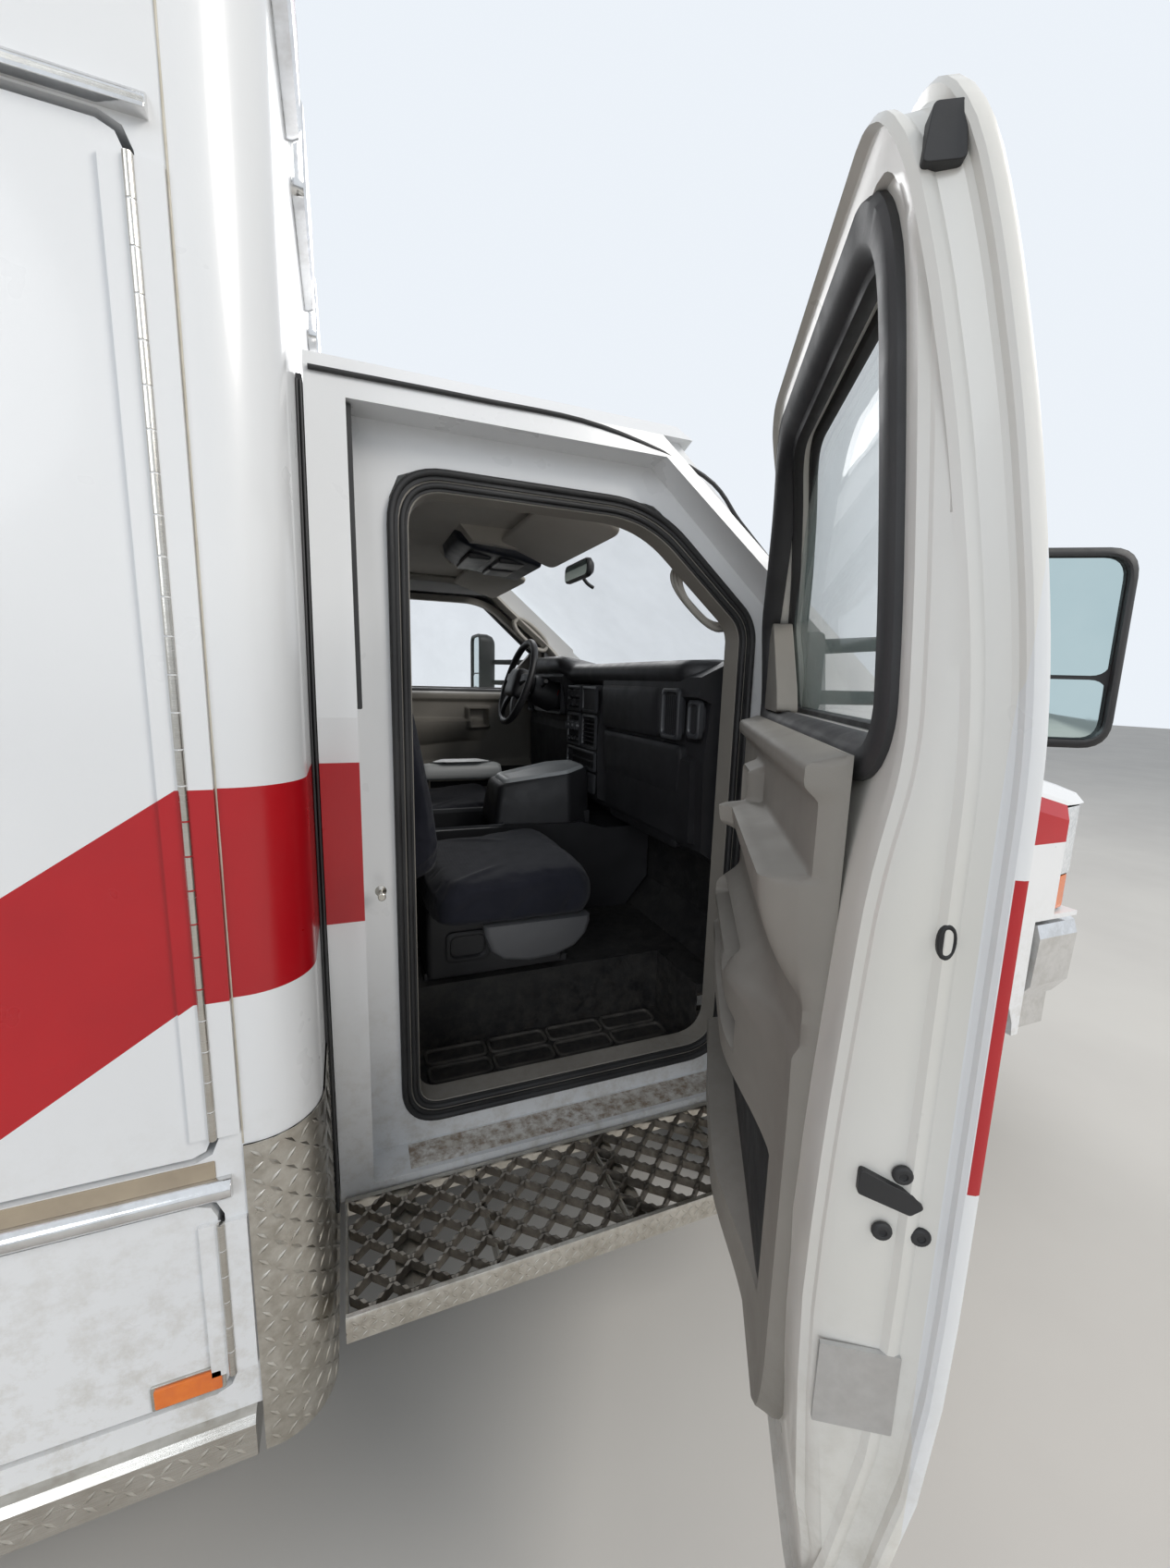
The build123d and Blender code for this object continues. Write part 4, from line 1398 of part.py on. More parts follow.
module_lamps.part.label = "module_lamps"
export_step(module_lamps.part, "parts/module_lamps.step")

# Rear step: tread between end blocks, on arms from the frame
STEP_OUT_X = -1890.0
with BuildPart() as rear_step:
    block(STEP_OUT_X, BOX_REAR - 5, -1100, 1100, 440, 500)
    block(STEP_OUT_X + 30, BOX_REAR - 35, -520, 520, 439, 501, mode=Mode.SUBTRACT)
    for y in range(-360, 361, 240):
        block(STEP_OUT_X + 25, BOX_REAR - 30, y - 6, y + 6, 470, 500)
    block(STEP_OUT_X + 130, STEP_OUT_X + 142, -525, 525, 470, 500)
    for name, side in SIDES:
        a0, a1 = sided(side, RAIL_Y - RAIL_WIDTH / 2, RAIL_Y + RAIL_WIDTH / 2)
        block(BOX_REAR - 40, FRAME_REAR_X, a0, a1, 450, 640)
rear_step.part.label = "rear_step"
export_step(rear_step.part, "parts/rear_step.step")

# Side doors of the box: flat panel with rounded corners and a full-length hinge barrel at its outer face
for node, side, x0, x1, z0, z1, hinge, depth, window in BAYS:
    with BuildPart() as bay_door:
        y0, y1 = sided(side, BOX_HALF - PANEL, BOX_HALF)
        add(rounded_xz(x0, x1, z0, z1, y0, y1, 24))
        edge = x1 if hinge == "front" else x0
        way = 1 if hinge == "front" else -1
        axis_x = edge + way * DOOR_GAP / 2
        axis_y = side * (BOX_HALF + HINGE_OUT)
        l0, l1 = sided(side, BOX_HALF, BOX_HALF + HINGE_OUT - 2)
        block(min(axis_x, axis_x - way * HINGE_LEAF), max(axis_x, axis_x - way * HINGE_LEAF), l0, l1, z0 + 30, z1 - 30)
        cut = axis_x - way * 1.0
        block(min(cut, axis_x + way * 3), max(cut, axis_x + way * 3), l0 - 1, l1 + 1, z0, z1, mode=Mode.SUBTRACT)
        add(rod((axis_x, axis_y, z0 + 30), (axis_x, axis_y, z1 - 30), HINGE_BARREL, EYE_SIDES))
        if window:
            add(rounded_xz(x0 + 160, x1 - 160, window[0], window[1], y0 - 1, y1 + 1, WINDOW_RADIUS), mode=Mode.SUBTRACT)
    bay_door.part.label = node
    export_step(bay_door.part, f"parts/{node}.step")
    if window:
        with BuildPart() as pane:
            g0, g1 = sided(side, BOX_HALF - 25, BOX_HALF - 19)
            add(rounded_xz(x0 + 160, x1 - 160, window[0], window[1], g0, g1, WINDOW_RADIUS))
        pane.part.label = "entry_door_glass"
        export_step(pane.part, "parts/entry_door_glass.step")

# Rear doors of the box, with their windows
REAR_WINDOW = (1450.0, 2050.0)
for name, side in SIDES:
    y0, y1 = sided(side, DOOR_GAP / 2, REAR_DOOR_HALF)
    w0, w1 = sided(side, 90, REAR_DOOR_HALF - 90)
    window = [(w0, REAR_WINDOW[0]), (w1, REAR_WINDOW[0]), (w1, REAR_WINDOW[1]), (w0, REAR_WINDOW[1])]
    with BuildPart() as rear_door:
        block(BOX_REAR, BOX_REAR + PANEL, y0, y1, REAR_DOOR_BOTTOM, REAR_DOOR_TOP)
        axis_y = side * (REAR_DOOR_HALF + DOOR_GAP / 2)
        axis_x = BOX_REAR - HINGE_OUT
        b0, b1 = sided(side, REAR_DOOR_HALF - HINGE_LEAF, REAR_DOOR_HALF + DOOR_GAP / 2 - 1)
        block(BOX_REAR - HINGE_OUT + 2, BOX_REAR, b0, b1, REAR_DOOR_BOTTOM + 30, REAR_DOOR_TOP - 30)
        add(rod((axis_x, axis_y, REAR_DOOR_BOTTOM + 30), (axis_x, axis_y, REAR_DOOR_TOP - 30), HINGE_BARREL, EYE_SIDES))
        add(slab_yz(window, BOX_REAR - 1, BOX_REAR + PANEL + 1, WINDOW_RADIUS), mode=Mode.SUBTRACT)
    rear_door.part.label = f"rear_door_{name}"
    export_step(rear_door.part, f"parts/rear_door_{name}.step")
    with BuildPart() as rear_pane:
        add(slab_yz(window, BOX_REAR + 19, BOX_REAR + 25, WINDOW_RADIUS))
    rear_pane.part.label = f"rear_door_glass_{name}"
    export_step(rear_pane.part, f"parts/rear_door_glass_{name}.step")
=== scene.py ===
import json
import math
import random

import bmesh
import bpy
from mathutils import Matrix, Vector

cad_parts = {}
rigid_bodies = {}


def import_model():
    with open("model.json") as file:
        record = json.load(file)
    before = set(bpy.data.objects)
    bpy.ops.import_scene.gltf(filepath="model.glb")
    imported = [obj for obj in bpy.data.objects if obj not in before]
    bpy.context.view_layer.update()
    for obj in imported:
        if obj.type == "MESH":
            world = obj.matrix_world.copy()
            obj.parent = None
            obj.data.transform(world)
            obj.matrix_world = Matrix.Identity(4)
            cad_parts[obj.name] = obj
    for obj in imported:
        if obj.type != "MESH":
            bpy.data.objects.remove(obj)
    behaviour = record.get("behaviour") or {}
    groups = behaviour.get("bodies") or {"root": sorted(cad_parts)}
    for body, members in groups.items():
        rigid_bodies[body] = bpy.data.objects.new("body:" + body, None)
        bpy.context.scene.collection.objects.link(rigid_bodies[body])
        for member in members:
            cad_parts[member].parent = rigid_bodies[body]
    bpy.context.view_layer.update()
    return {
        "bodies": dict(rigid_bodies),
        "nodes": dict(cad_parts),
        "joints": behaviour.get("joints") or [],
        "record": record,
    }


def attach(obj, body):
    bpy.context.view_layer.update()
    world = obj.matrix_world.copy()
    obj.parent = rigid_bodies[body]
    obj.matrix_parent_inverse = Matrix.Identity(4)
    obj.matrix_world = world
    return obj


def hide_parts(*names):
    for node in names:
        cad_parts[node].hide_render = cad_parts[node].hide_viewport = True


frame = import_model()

random.seed(7)

# Sizes shared with the solids, in metres
WHEELBASE = 4.039
TYRE_RADIUS = 0.372
BOX_FRONT, BOX_REAR, BOX_HALF = 2.510, -1.660, 1.2195
BOX_SEAM = 0.102
CORNER_RADIUS = 0.090
SKIRT_Z = 0.384
DOOR_GAP = 0.009
HINGE_OUT, BARREL_RADIUS = 0.0085, 0.0052
SIDE_Y = 1.0
BELT_Z = 1.43
DOOR_REAR_X, DOOR_FRONT_X = 2.594, 3.598
DOOR_HINGE = (3.545, 0.978)
DOOR_OPEN = math.radians(59)
SLOPE_X, SLOPE_Z, SLOPE = 3.2, 2.03, 0.822
# Run of the screen line for each metre square to it, and the lean of the cab's sides above the belt
SLOPE_RUN = 1.295
UPPER_LEAN, UPPER_HEIGHT = 0.1316, 0.545
WHEEL_CENTRE = Vector((3.252, 0.420, 1.492))
WHEEL_TILT, WHEEL_RADIUS = math.radians(17.6), 0.176
LEFT, RIGHT = 1, -1
SIDES = (("right", RIGHT), ("left", LEFT))
BAY_DOORS = (
    ("right_upper_door", RIGHT, 1.745, 2.369, 0.830, 2.071, 1),
    ("right_lower_door", RIGHT, 1.745, 2.369, 0.434, 0.752, 1),
    ("entry_door", RIGHT, 0.900, 1.660, 0.434, 2.071, 1),
    ("right_rear_door", RIGHT, -1.480, -0.640, 0.434, 2.071, 1),
    ("left_front_door", LEFT, 1.745, 2.369, 0.434, 2.071, 1),
    ("left_middle_door", LEFT, 0.580, 1.640, 0.434, 1.250, 1),
    ("left_rear_door", LEFT, -1.480, -0.640, 0.434, 1.250, -1),
)

# Stripe heights, and where it steps down along the box
STRIPE_TOP, STRIPE_LOW = 1.353, 1.062
STRIPE_BEND_X, STRIPE_END_X = 2.364, 1.905
STRIPE_DROP = 0.305
STRIPE_RED, STRIPE_DARK = (0.50, 0.006, 0.012), (0.40, 0.004, 0.010)


def slope_z(x, drop=0.0):
    """Height of the screen line at x."""
    return SLOPE_Z - SLOPE * (x - SLOPE_X) - drop


def slope_x(z, drop=0.0):
    """Length position of the screen line at height z."""
    return SLOPE_X + (SLOPE_Z - drop - z) / SLOPE


# Shapes: each is a pair of lists, points and faces
def prism(outline, low, high, axis):
    """Outline pushed along an axis from low to high."""
    put = {
        "x": lambda a, b, t: (t, a, b),
        "y": lambda a, b, t: (a, t, b),
        "z": lambda a, b, t: (a, b, t),
    }[axis]
    n = len(outline)
    points = [put(a, b, low) for a, b in outline] + [put(a, b, high) for a, b in outline]
    faces = [tuple(range(n - 1, -1, -1)), tuple(range(n, 2 * n))]
    faces += [(i, (i + 1) % n, n + (i + 1) % n, n + i) for i in range(n)]
    return points, faces


def slab(x0, x1, y0, y1, z0, z1):
    """Rectangular block, as a shape to bevel or join."""
    return prism([(x0, y0), (x1, y0), (x1, y1), (x0, y1)], z0, z1, "z")


def rounded(corners, radius, steps=5):
    """Outline with its corners rounded."""
    out = []
    n = len(corners)
    for i, corner in enumerate(corners):
        r = radius[i] if isinstance(radius, (list, tuple)) else radius
        here = Vector(corner)
        before = Vector(corners[i - 1]) - here
        after = Vector(corners[(i + 1) % n]) - here
        if r <= 0:
            out.append(tuple(here))
            continue
        turn = before.angle(after)
        cut = min(r / math.tan(turn / 2), before.length * 0.49, after.length * 0.49)
        a = here + before.normalized() * cut
        b = here + after.normalized() * cut
        for k in range(steps + 1):
            t = k / steps
            p = a * (1 - t) ** 2 + here * 2 * t * (1 - t) + b * t ** 2
            out.append(tuple(p))
    return out


def rect(x0, x1, z0, z1, radius, steps=5):
    """Rectangle outline with rounded corners."""
    return rounded([(x0, z0), (x1, z0), (x1, z1), (x0, z1)], radius, steps)


def circle(count):
    """Angles of evenly spaced points round a full turn."""
    return [2 * math.pi * k / count for k in range(count)]


def stepped(box, rows, radius, steps, place):
    """Rings on a rounded rectangle; rows give inset and depth, place(a, b, depth) a point."""
    a0, a1, b0, b1 = box
    rings = []
    for inset, depth in rows:
        corner = radius(inset) if callable(radius) else radius
        outline = rect(a0 + inset, a1 - inset, b0 + inset, b1 - inset, corner, steps)
        rings.append([Vector(place(a, b, depth)) for a, b in outline])
    return rings


def lofted(rings, cap=True, loop=False):
    """Skin through rings of equal count; loop joins the last ring to the first."""
    n = len(rings[0])
    points = [tuple(p) for ring in rings for p in ring]
    faces = []
    count = len(rings)
    for k in range(count if loop else count - 1):
        a, b = k * n, ((k + 1) % count) * n
        faces += [(a + i, a + (i + 1) % n, b + (i + 1) % n, b + i) for i in range(n)]
    if cap and not loop:
        faces += [tuple(range(n - 1, -1, -1)), tuple(range((count - 1) * n, count * n))]
    return points, faces


def swept(path, section, side, loop=False):
    """Section carried along a path; its first value lies along side x tangent, its second along side."""
    side = Vector(side).normalized()
    path = [Vector(p) for p in path]
    rings = []
    n = len(path)
    for i, p in enumerate(path):
        before = path[i - 1] if (i or loop) else p
        after = path[(i + 1) % n] if (i < n - 1 or loop) else p
        t1 = (p - before).normalized() if (p - before).length > 1e-9 else (after - p).normalized()
        t2 = (after - p).normalized() if (after - p).length > 1e-9 else t1
        tangent = (t1 + t2).normalized()
        across = side.cross(tangent).normalized()
        up = tangent.cross(across).normalized()
        mitre = 1 / max(0.35, t1.dot(tangent))
        rings.append([p + across * (a * mitre) + up * b for a, b in section])
    return lofted(rings, cap=True, loop=loop)


def tube(path, radius, sides=12, loop=False):
    """Round tube along a path, turned without twist."""
    path = [Vector(p) for p in path]
    n = len(path)
    rings = []
    normal = None
    for i, p in enumerate(path):
        before = path[i - 1] if (i or loop) else p
        after = path[(i + 1) % n] if (i < n - 1 or loop) else p
        tangent = (after - before).normalized()
        if normal is None:
            guess = Vector((0, 0, 1)) if abs(tangent.z) < 0.9 else Vector((1, 0, 0))
            normal = tangent.cross(guess).normalized()
        normal = (normal - tangent * normal.dot(tangent)).normalized()
        other = tangent.cross(normal)
        r = radius[i] if isinstance(radius, (list, tuple)) else radius
        rings.append([
            p + (normal * math.cos(a) + other * math.sin(a)) * r
            for a in circle(sides)
        ])
    return lofted(rings, cap=True, loop=loop)


def turned(profile, centre, axis, steps=40, closed=False):
    """Profile of (distance along the axis, radius) turned round it."""
    axis = Vector(axis).normalized()
    guess = Vector((0, 0, 1)) if abs(axis.z) < 0.9 else Vector((1, 0, 0))
    u = axis.cross(guess).normalized()
    v = axis.cross(u)
    centre = Vector(centre)
    rings = []
    for along, r in profile:
        rings.append([
            centre + axis * along + (u * math.cos(a) + v * math.sin(a)) * r
            for a in circle(steps)
        ])
    return lofted(rings, cap=not closed, loop=closed)


def joined(*shapes):
    """Several shapes as one."""
    points, faces = [], []
    for p, f in shapes:
        start = len(points)
        points += [tuple(v) for v in p]
        faces += [tuple(i + start for i in face) for face in f]
    return points, faces


def moved(shape, matrix):
    """Shape turned or shifted by a matrix."""
    points, faces = shape
    return [tuple(matrix @ Vector(p)) for p in points], faces


def mirrored(shape):
    """Shape on the other side of the vehicle."""
    points, faces = shape
    return [(x, -y, z) for x, y, z in points], [tuple(reversed(f)) for f in faces]


def spline(points, steps=8, loop=False):
    """Smooth curve through points."""
    pts = [Vector(p) for p in points]
    n = len(pts)
    out = []
    for i in range(n if loop else n - 1):
        p0 = pts[i - 1] if (i or loop) else pts[0]
        p1, p2 = pts[i], pts[(i + 1) % n]
        p3 = pts[(i + 2) % n] if (i + 2 < n or loop) else pts[-1]
        for k in range(steps):
            t = k / steps
            out.append(0.5 * (
                2 * p1 + (p2 - p0) * t + (2 * p0 - 5 * p1 + 4 * p2 - p3) * t ** 2
                + (3 * p1 - p0 - 3 * p2 + p3) * t ** 3
            ))
    if not loop:
        out.append(pts[-1])
    return out


def make(name, shape, finish, body="root", bevel=0.0, soft=0, angle=40, replaces=()):
    """Object from a shape, with its finish and body."""
    points, faces = shape
    mesh = bpy.data.meshes.new(name)
    mesh.from_pydata([tuple(p) for p in points], [], faces)
    mesh.validate()
    work = bmesh.new()
    work.from_mesh(mesh)
    bmesh.ops.remove_doubles(work, verts=work.verts, dist=1e-6)
    bmesh.ops.recalc_face_normals(work, faces=work.faces)
    work.to_mesh(mesh)
    work.free()
    mesh.materials.append(finish)
    for polygon in mesh.polygons:
        polygon.use_smooth = True
    mesh.set_sharp_from_angle(angle=math.radians(angle))
    piece = bpy.data.objects.new(name, mesh)
    bpy.context.scene.collection.objects.link(piece)
    if bevel:
        edge = piece.modifiers.new("edge", "BEVEL")
        edge.width = bevel
        edge.segments = 2
        edge.limit_method = "ANGLE"
        edge.angle_limit = math.radians(30)
        edge.harden_normals = True
    if soft:
        smooth = piece.modifiers.new("smooth", "SUBSURF")
        smooth.levels = soft
        smooth.render_levels = soft
    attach(piece, body)
    if replaces:
        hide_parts(*replaces)
    return piece


# Finishes
class Finish:
    """One procedural material, built node by node round a Principled shader."""

    def __init__(self, name, **sockets):
        self.material = bpy.data.materials.new(name)
        self.material.use_nodes = True
        self.tree = self.material.node_tree
        self.shader = self.tree.nodes["Principled BSDF"]
        for socket, value in sockets.items():
            self.set(self.shader, socket.replace("_", " ").capitalize(), value)
        self.place = self.node("TexCoord").outputs["Object"]

    def set(self, node, socket, value):
        """Link or set an input by its name, in any case."""
        names = {s.name.lower(): s for s in node.inputs}
        target = names[socket.lower()]
        if isinstance(value, bpy.types.NodeSocket):
            self.tree.links.new(value, target)
        else:
            target.default_value = (*value, 1.0) if target.type == "RGBA" and len(value) == 3 else value

    def node(self, kind, sockets=(), **properties):
        """New node with its inputs, by name or number, and its properties."""
        node = self.tree.nodes.new("ShaderNode" + kind)
        for key, value in properties.items():
            setattr(node, key, value)
        for key, value in dict(sockets).items():
            if isinstance(key, int):
                if isinstance(value, bpy.types.NodeSocket):
                    self.tree.links.new(value, node.inputs[key])
                else:
                    node.inputs[key].default_value = value
            else:
                self.set(node, key, value)
        return node

    def math(self, operation, a, b=0.0, clamp=False):
        """Result of one sum."""
        return self.node("Math", {0: a, 1: b}, operation=operation, use_clamp=clamp).outputs[0]

    def noise(self, scale, detail=4.0, roughness=0.55, place=None, stretch=None):
        """Noise over a place, stretched if asked for."""
        at = place or self.place
        if stretch:
            at = self.node("Mapping", {"Vector": at, "Scale": stretch}).outputs[0]
        return self.node("TexNoise", {"Vector": at, "Scale": scale, "Detail": detail,
                                      "Roughness": roughness}).outputs[0]

    def between(self, value, low, high, out_low=0.0, out_high=1.0):
        """Value spread from low..high to out_low..out_high, held at the ends."""
        return self.node("MapRange", {0: value, 1: low, 2: high, 3: out_low, 4: out_high}).outputs[0]

    def mix(self, factor, a, b):
        """Colour between a and b."""
        node = self.node("Mix", data_type="RGBA")
        for index, value in ((0, factor), (6, a), (7, b)):
            if isinstance(value, bpy.types.NodeSocket):
                self.tree.links.new(value, node.inputs[index])
            elif index == 0:
                node.inputs[0].default_value = value
            else:
                node.inputs[index].default_value = (*value, 1.0)
        return node.outputs[2]

    def color(self, value):
        """Base colour of the finish."""
        self.set(self.shader, "Base Color", value)

    def rough(self, value):
        """Roughness of the finish."""
        self.set(self.shader, "Roughness", value)

    def bump(self, height, strength=0.3, distance=0.001):
        """Relief of the finish."""
        relief = self.node("Bump", {"Height": height, "Strength": strength, "Distance": distance})
        self.set(self.shader, "Normal", relief.outputs[0])


def plain(name, color, second, scale=5.0, rough=(0.4, 0.55), grain=(400.0, 0.15, 0.0006), dirt=None,
          **sockets):
    """Finish with broad colour change, uneven gloss and a grain; dirt is (colour, low z, high z, amount)."""
    made = Finish(name, **sockets)
    broad = made.noise(scale)
    base = made.mix(made.between(broad, 0.35, 0.65), color, second)
    if dirt:
        tone, low, high, amount = dirt
        height = made.node("SeparateXYZ", {0: made.place}).outputs[2]
        fall = made.between(height, low, high, amount, 0.0)
        specks = made.between(made.noise(38.0, 8.0, 0.7), 0.42, 0.62)
        base = made.mix(made.math("MULTIPLY", fall, specks), base, tone)
    made.color(base)
    made.rough(made.between(made.noise(scale * 4, 5.0), 0.3, 0.7, rough[0], rough[1]))
    made.bump(made.noise(grain[0], 3.0), grain[1], grain[2])
    return made.material


def paint(name, turn=None, stripe=True, side_limit=0.985, painted_warm_light=False):
    """White enamel with orange peel and the red stripe; turn is (x, y, angle) of a door that stands open; the
    warm option gives the door's inner faces a cream tone: painted warm sunlight on the shut face.
    """
    made = Finish(name, coat_weight=0.25)
    made.set(made.shader, "Coat Roughness", 0.08)
    place = made.place
    if turn:
        spin = made.node("VectorRotate", {"Vector": place, "Center": (turn[0], turn[1], 0.0),
                                          "Angle": turn[2]})
        spin.rotation_type = "Z_AXIS"
        place = spin.outputs[0]
    split = made.node("SeparateXYZ", {0: place})
    x, y, z = split.outputs
    # Cream tones for the door's inner faces: painted warm sunlight on the shut face
    white = (0.80, 0.79, 0.76) if painted_warm_light else (0.80, 0.81, 0.82)
    shade = (0.74, 0.72, 0.66) if painted_warm_light else (0.76, 0.77, 0.785)
    tone = made.mix(made.between(made.noise(1.7, 3.0, place=place), 0.3, 0.75), white, shade)
    # The outer skin keeps the cool white, and the painted warm light stays on the inner faces
    if painted_warm_light:
        skin = made.math("GREATER_THAN", made.math("ABSOLUTE", y), side_limit - 0.012)
        tone = made.mix(skin, tone, (0.79, 0.80, 0.81))
    grime = made.between(z, 0.35, 0.95, 0.55, 0.0)
    specks = made.between(made.noise(26.0, 9.0, 0.72, place=place), 0.46, 0.66)
    tone = made.mix(made.math("MULTIPLY", grime, specks), tone, (0.46, 0.42, 0.35))
    if stripe:
        top = made.between(x, STRIPE_END_X, STRIPE_BEND_X, STRIPE_TOP - STRIPE_DROP, STRIPE_TOP)
        low = made.between(x, STRIPE_END_X, STRIPE_BEND_X, STRIPE_LOW - STRIPE_DROP, STRIPE_LOW)
        inside = made.math("MULTIPLY", made.math("LESS_THAN", z, top), made.math("GREATER_THAN", z, low))
        outer = made.math("GREATER_THAN", made.math("ABSOLUTE", y), side_limit)
        red = made.mix(made.between(made.noise(3.0, 4.0, place=place), 0.3, 0.7), STRIPE_RED, STRIPE_DARK)
        tone = made.mix(made.math("MULTIPLY", inside, outer), tone, red)
    made.color(tone)
    made.rough(made.between(made.noise(9.0, 3.0, place=place), 0.3, 0.7, 0.27, 0.31))
    peel = made.noise(260.0, 2.0, place=place)
    made.bump(peel, 0.10, 0.0006)
    return made.material


def metal(name, color, second, rough, brushed=None, dirt=None, grain=(500.0, 0.12, 0.0004)):
    """Bare or plated metal, brushed along an axis if a stretch is given."""
    made = Finish(name, metallic=1.0)
    streak = made.noise(60.0, 6.0, 0.6, stretch=brushed or (1.0, 1.0, 1.0))
    base = made.mix(made.between(streak, 0.3, 0.7), color, second)
    if dirt:
        patch = made.between(made.noise(14.0, 9.0, 0.7), 0.45, 0.68, 0.0, dirt[1])
        base = made.mix(patch, base, dirt[0])
    made.color(base)
    made.rough(made.between(made.noise(22.0, 6.0, 0.65, stretch=brushed), 0.3, 0.7, rough[0], rough[1]))
    made.bump(made.noise(grain[0], 2.0, stretch=brushed), grain[1], grain[2])
    return made.material


def cloth(name, color, second, thread=900.0, sheen=0.4):
    """Woven fabric: two crossed thread waves over a soft colour change."""
    made = Finish(name, sheen_weight=sheen)
    made.set(made.shader, "Sheen Roughness", 0.5)
    made.set(made.shader, "Specular IOR Level", 0.25)
    warp = made.node("TexWave", {"Vector": made.place, "Scale": thread, "Distortion": 0.6},
                     bands_direction="X")
    weft = made.node("TexWave", {"Vector": made.place, "Scale": thread, "Distortion": 0.6},
                     bands_direction="Z")
    weave = made.math("MULTIPLY", warp.outputs[1], weft.outputs[1])
    tone = made.mix(made.between(made.noise(7.0, 6.0), 0.3, 0.7), color, second)
    made.color(made.mix(made.math("MULTIPLY", weave, 0.25), tone, tuple(c * 1.8 + 0.01 for c in color)))
    made.rough(made.between(made.noise(30.0, 4.0), 0.3, 0.7, 0.78, 0.92))
    made.bump(weave, 0.35, 0.0005)
    return made.material


def glazing(name, tint, alpha):
    """Thin tinted glass that turns into a mirror at a low angle."""
    made = Finish(name, roughness=0.02, base_color=tint)
    made.set(made.shader, "Specular IOR Level", 0.6)
    facing = made.node("LayerWeight", {"Blend": 0.5}).outputs[1]
    edge = made.math("MULTIPLY", made.math("POWER", facing, 5.0), 0.9)
    film = made.between(made.noise(5.0, 6.0, 0.7), 0.35, 0.8, alpha, alpha + 0.05)
    made.set(made.shader, "Alpha", made.math("ADD", film, edge, clamp=True))
    return made.material


def mirror_finish(name):
    """Silvered mirror glass with a light film of dust."""
    made = Finish(name, metallic=1.0)
    made.color(made.mix(made.between(made.noise(4.0), 0.3, 0.7), (0.55, 0.66, 0.66), (0.48, 0.60, 0.61)))
    made.rough(made.between(made.noise(40.0, 6.0), 0.4, 0.8, 0.02, 0.10))
    return made.material


WHITE = paint("white_paint_box", side_limit=0.93)
WHITE_CAB = paint("white_paint_cab", side_limit=0.988)
# Door paint with cream inner faces: painted warm sunlight on the shut face
WHITE_DOOR = paint("white_paint_door", side_limit=0.988, painted_warm_light=True)
WHITE_OPEN = paint("white_paint_open_door", (DOOR_HINGE[0], -DOOR_HINGE[1], -DOOR_OPEN), side_limit=0.988,
                   painted_warm_light=True)
WHITE_PLAIN = paint("white_paint_plain", stripe=False)
BLACK_FRAME = plain("frame_black", (0.025, 0.025, 0.026), (0.06, 0.055, 0.05), rough=(0.45, 0.7),
                    dirt=((0.2, 0.17, 0.13), 0.2, 0.9, 0.5))
CAST = metal("cast_metal", (0.20, 0.19, 0.18), (0.12, 0.10, 0.09), (0.5, 0.8), dirt=((0.16, 0.08, 0.04), 0.6))
EXHAUST = metal("exhaust_steel", (0.42, 0.39, 0.35), (0.26, 0.21, 0.17), (0.35, 0.6),
                dirt=((0.22, 0.12, 0.06), 0.6))
GRATING = metal("grating_metal", (0.24, 0.22, 0.19), (0.12, 0.108, 0.095), (0.4, 0.65),
                dirt=((0.09, 0.075, 0.06), 0.5))
FLOOR_RUBBER = plain("floor_rubber", (0.012, 0.012, 0.013), (0.028, 0.027, 0.026), scale=9.0,
                     rough=(0.42, 0.75),
                     grain=(900.0, 0.4, 0.0008), dirt=((0.13, 0.115, 0.095), 0.45, 0.80, 0.30))
RIB_RUBBER = plain("rib_rubber", (0.045, 0.043, 0.040), (0.11, 0.10, 0.088), scale=14.0, rough=(0.5, 0.8),
                   grain=(600.0, 0.4, 0.0006))
GREY_PLASTIC = plain("grey_plastic", (0.028, 0.028, 0.030), (0.05, 0.05, 0.052), rough=(0.45, 0.65),
                     grain=(700.0, 0.3, 0.0005))
BLACK_RUBBER = plain("black_rubber", (0.012, 0.012, 0.013), (0.03, 0.03, 0.031), rough=(0.45, 0.7),
                     grain=(600.0, 0.2, 0.0004))
DASH = plain("dash_plastic", (0.016, 0.016, 0.018), (0.024, 0.024, 0.027), rough=(0.42, 0.58),
             grain=(850.0, 0.45, 0.0005))
DASH_TRIM = plain("dash_trim", (0.045, 0.047, 0.052), (0.06, 0.062, 0.068), rough=(0.3, 0.42),
                  grain=(900.0, 0.2, 0.0003))
TRIM = plain("trim_plastic", (0.30, 0.28, 0.25), (0.25, 0.235, 0.21), scale=3.0, rough=(0.48, 0.62),
             grain=(900.0, 0.5, 0.0005), dirt=((0.16, 0.14, 0.11), 0.5, 0.9, 0.3))
LIGHT_TRIM = plain("trim_light", (0.50, 0.52, 0.53), (0.44, 0.46, 0.47), scale=3.0, rough=(0.35, 0.5),
                   grain=(900.0, 0.4, 0.0004))
LINING = cloth("lining_fabric", (0.56, 0.53, 0.48), (0.50, 0.47, 0.425), 700.0, 0.2)
SEAT = cloth("seat_fabric", (0.008, 0.009, 0.016), (0.014, 0.015, 0.024), 620.0, 0.12)
LINING_PLASTIC = plain("lining_plastic", (0.52, 0.495, 0.45), (0.46, 0.44, 0.40), scale=3.0,
                       rough=(0.5, 0.65), grain=(800.0, 0.35, 0.0004))
NAVY_PLASTIC = plain("navy_plastic", (0.020, 0.024, 0.036), (0.030, 0.034, 0.048), rough=(0.35, 0.5),
                     grain=(850.0, 0.35, 0.0004))
VALANCE = plain("valance_grey", (0.115, 0.118, 0.125), (0.09, 0.092, 0.098), scale=4.0, rough=(0.4, 0.55),
                grain=(800.0, 0.35, 0.0004))
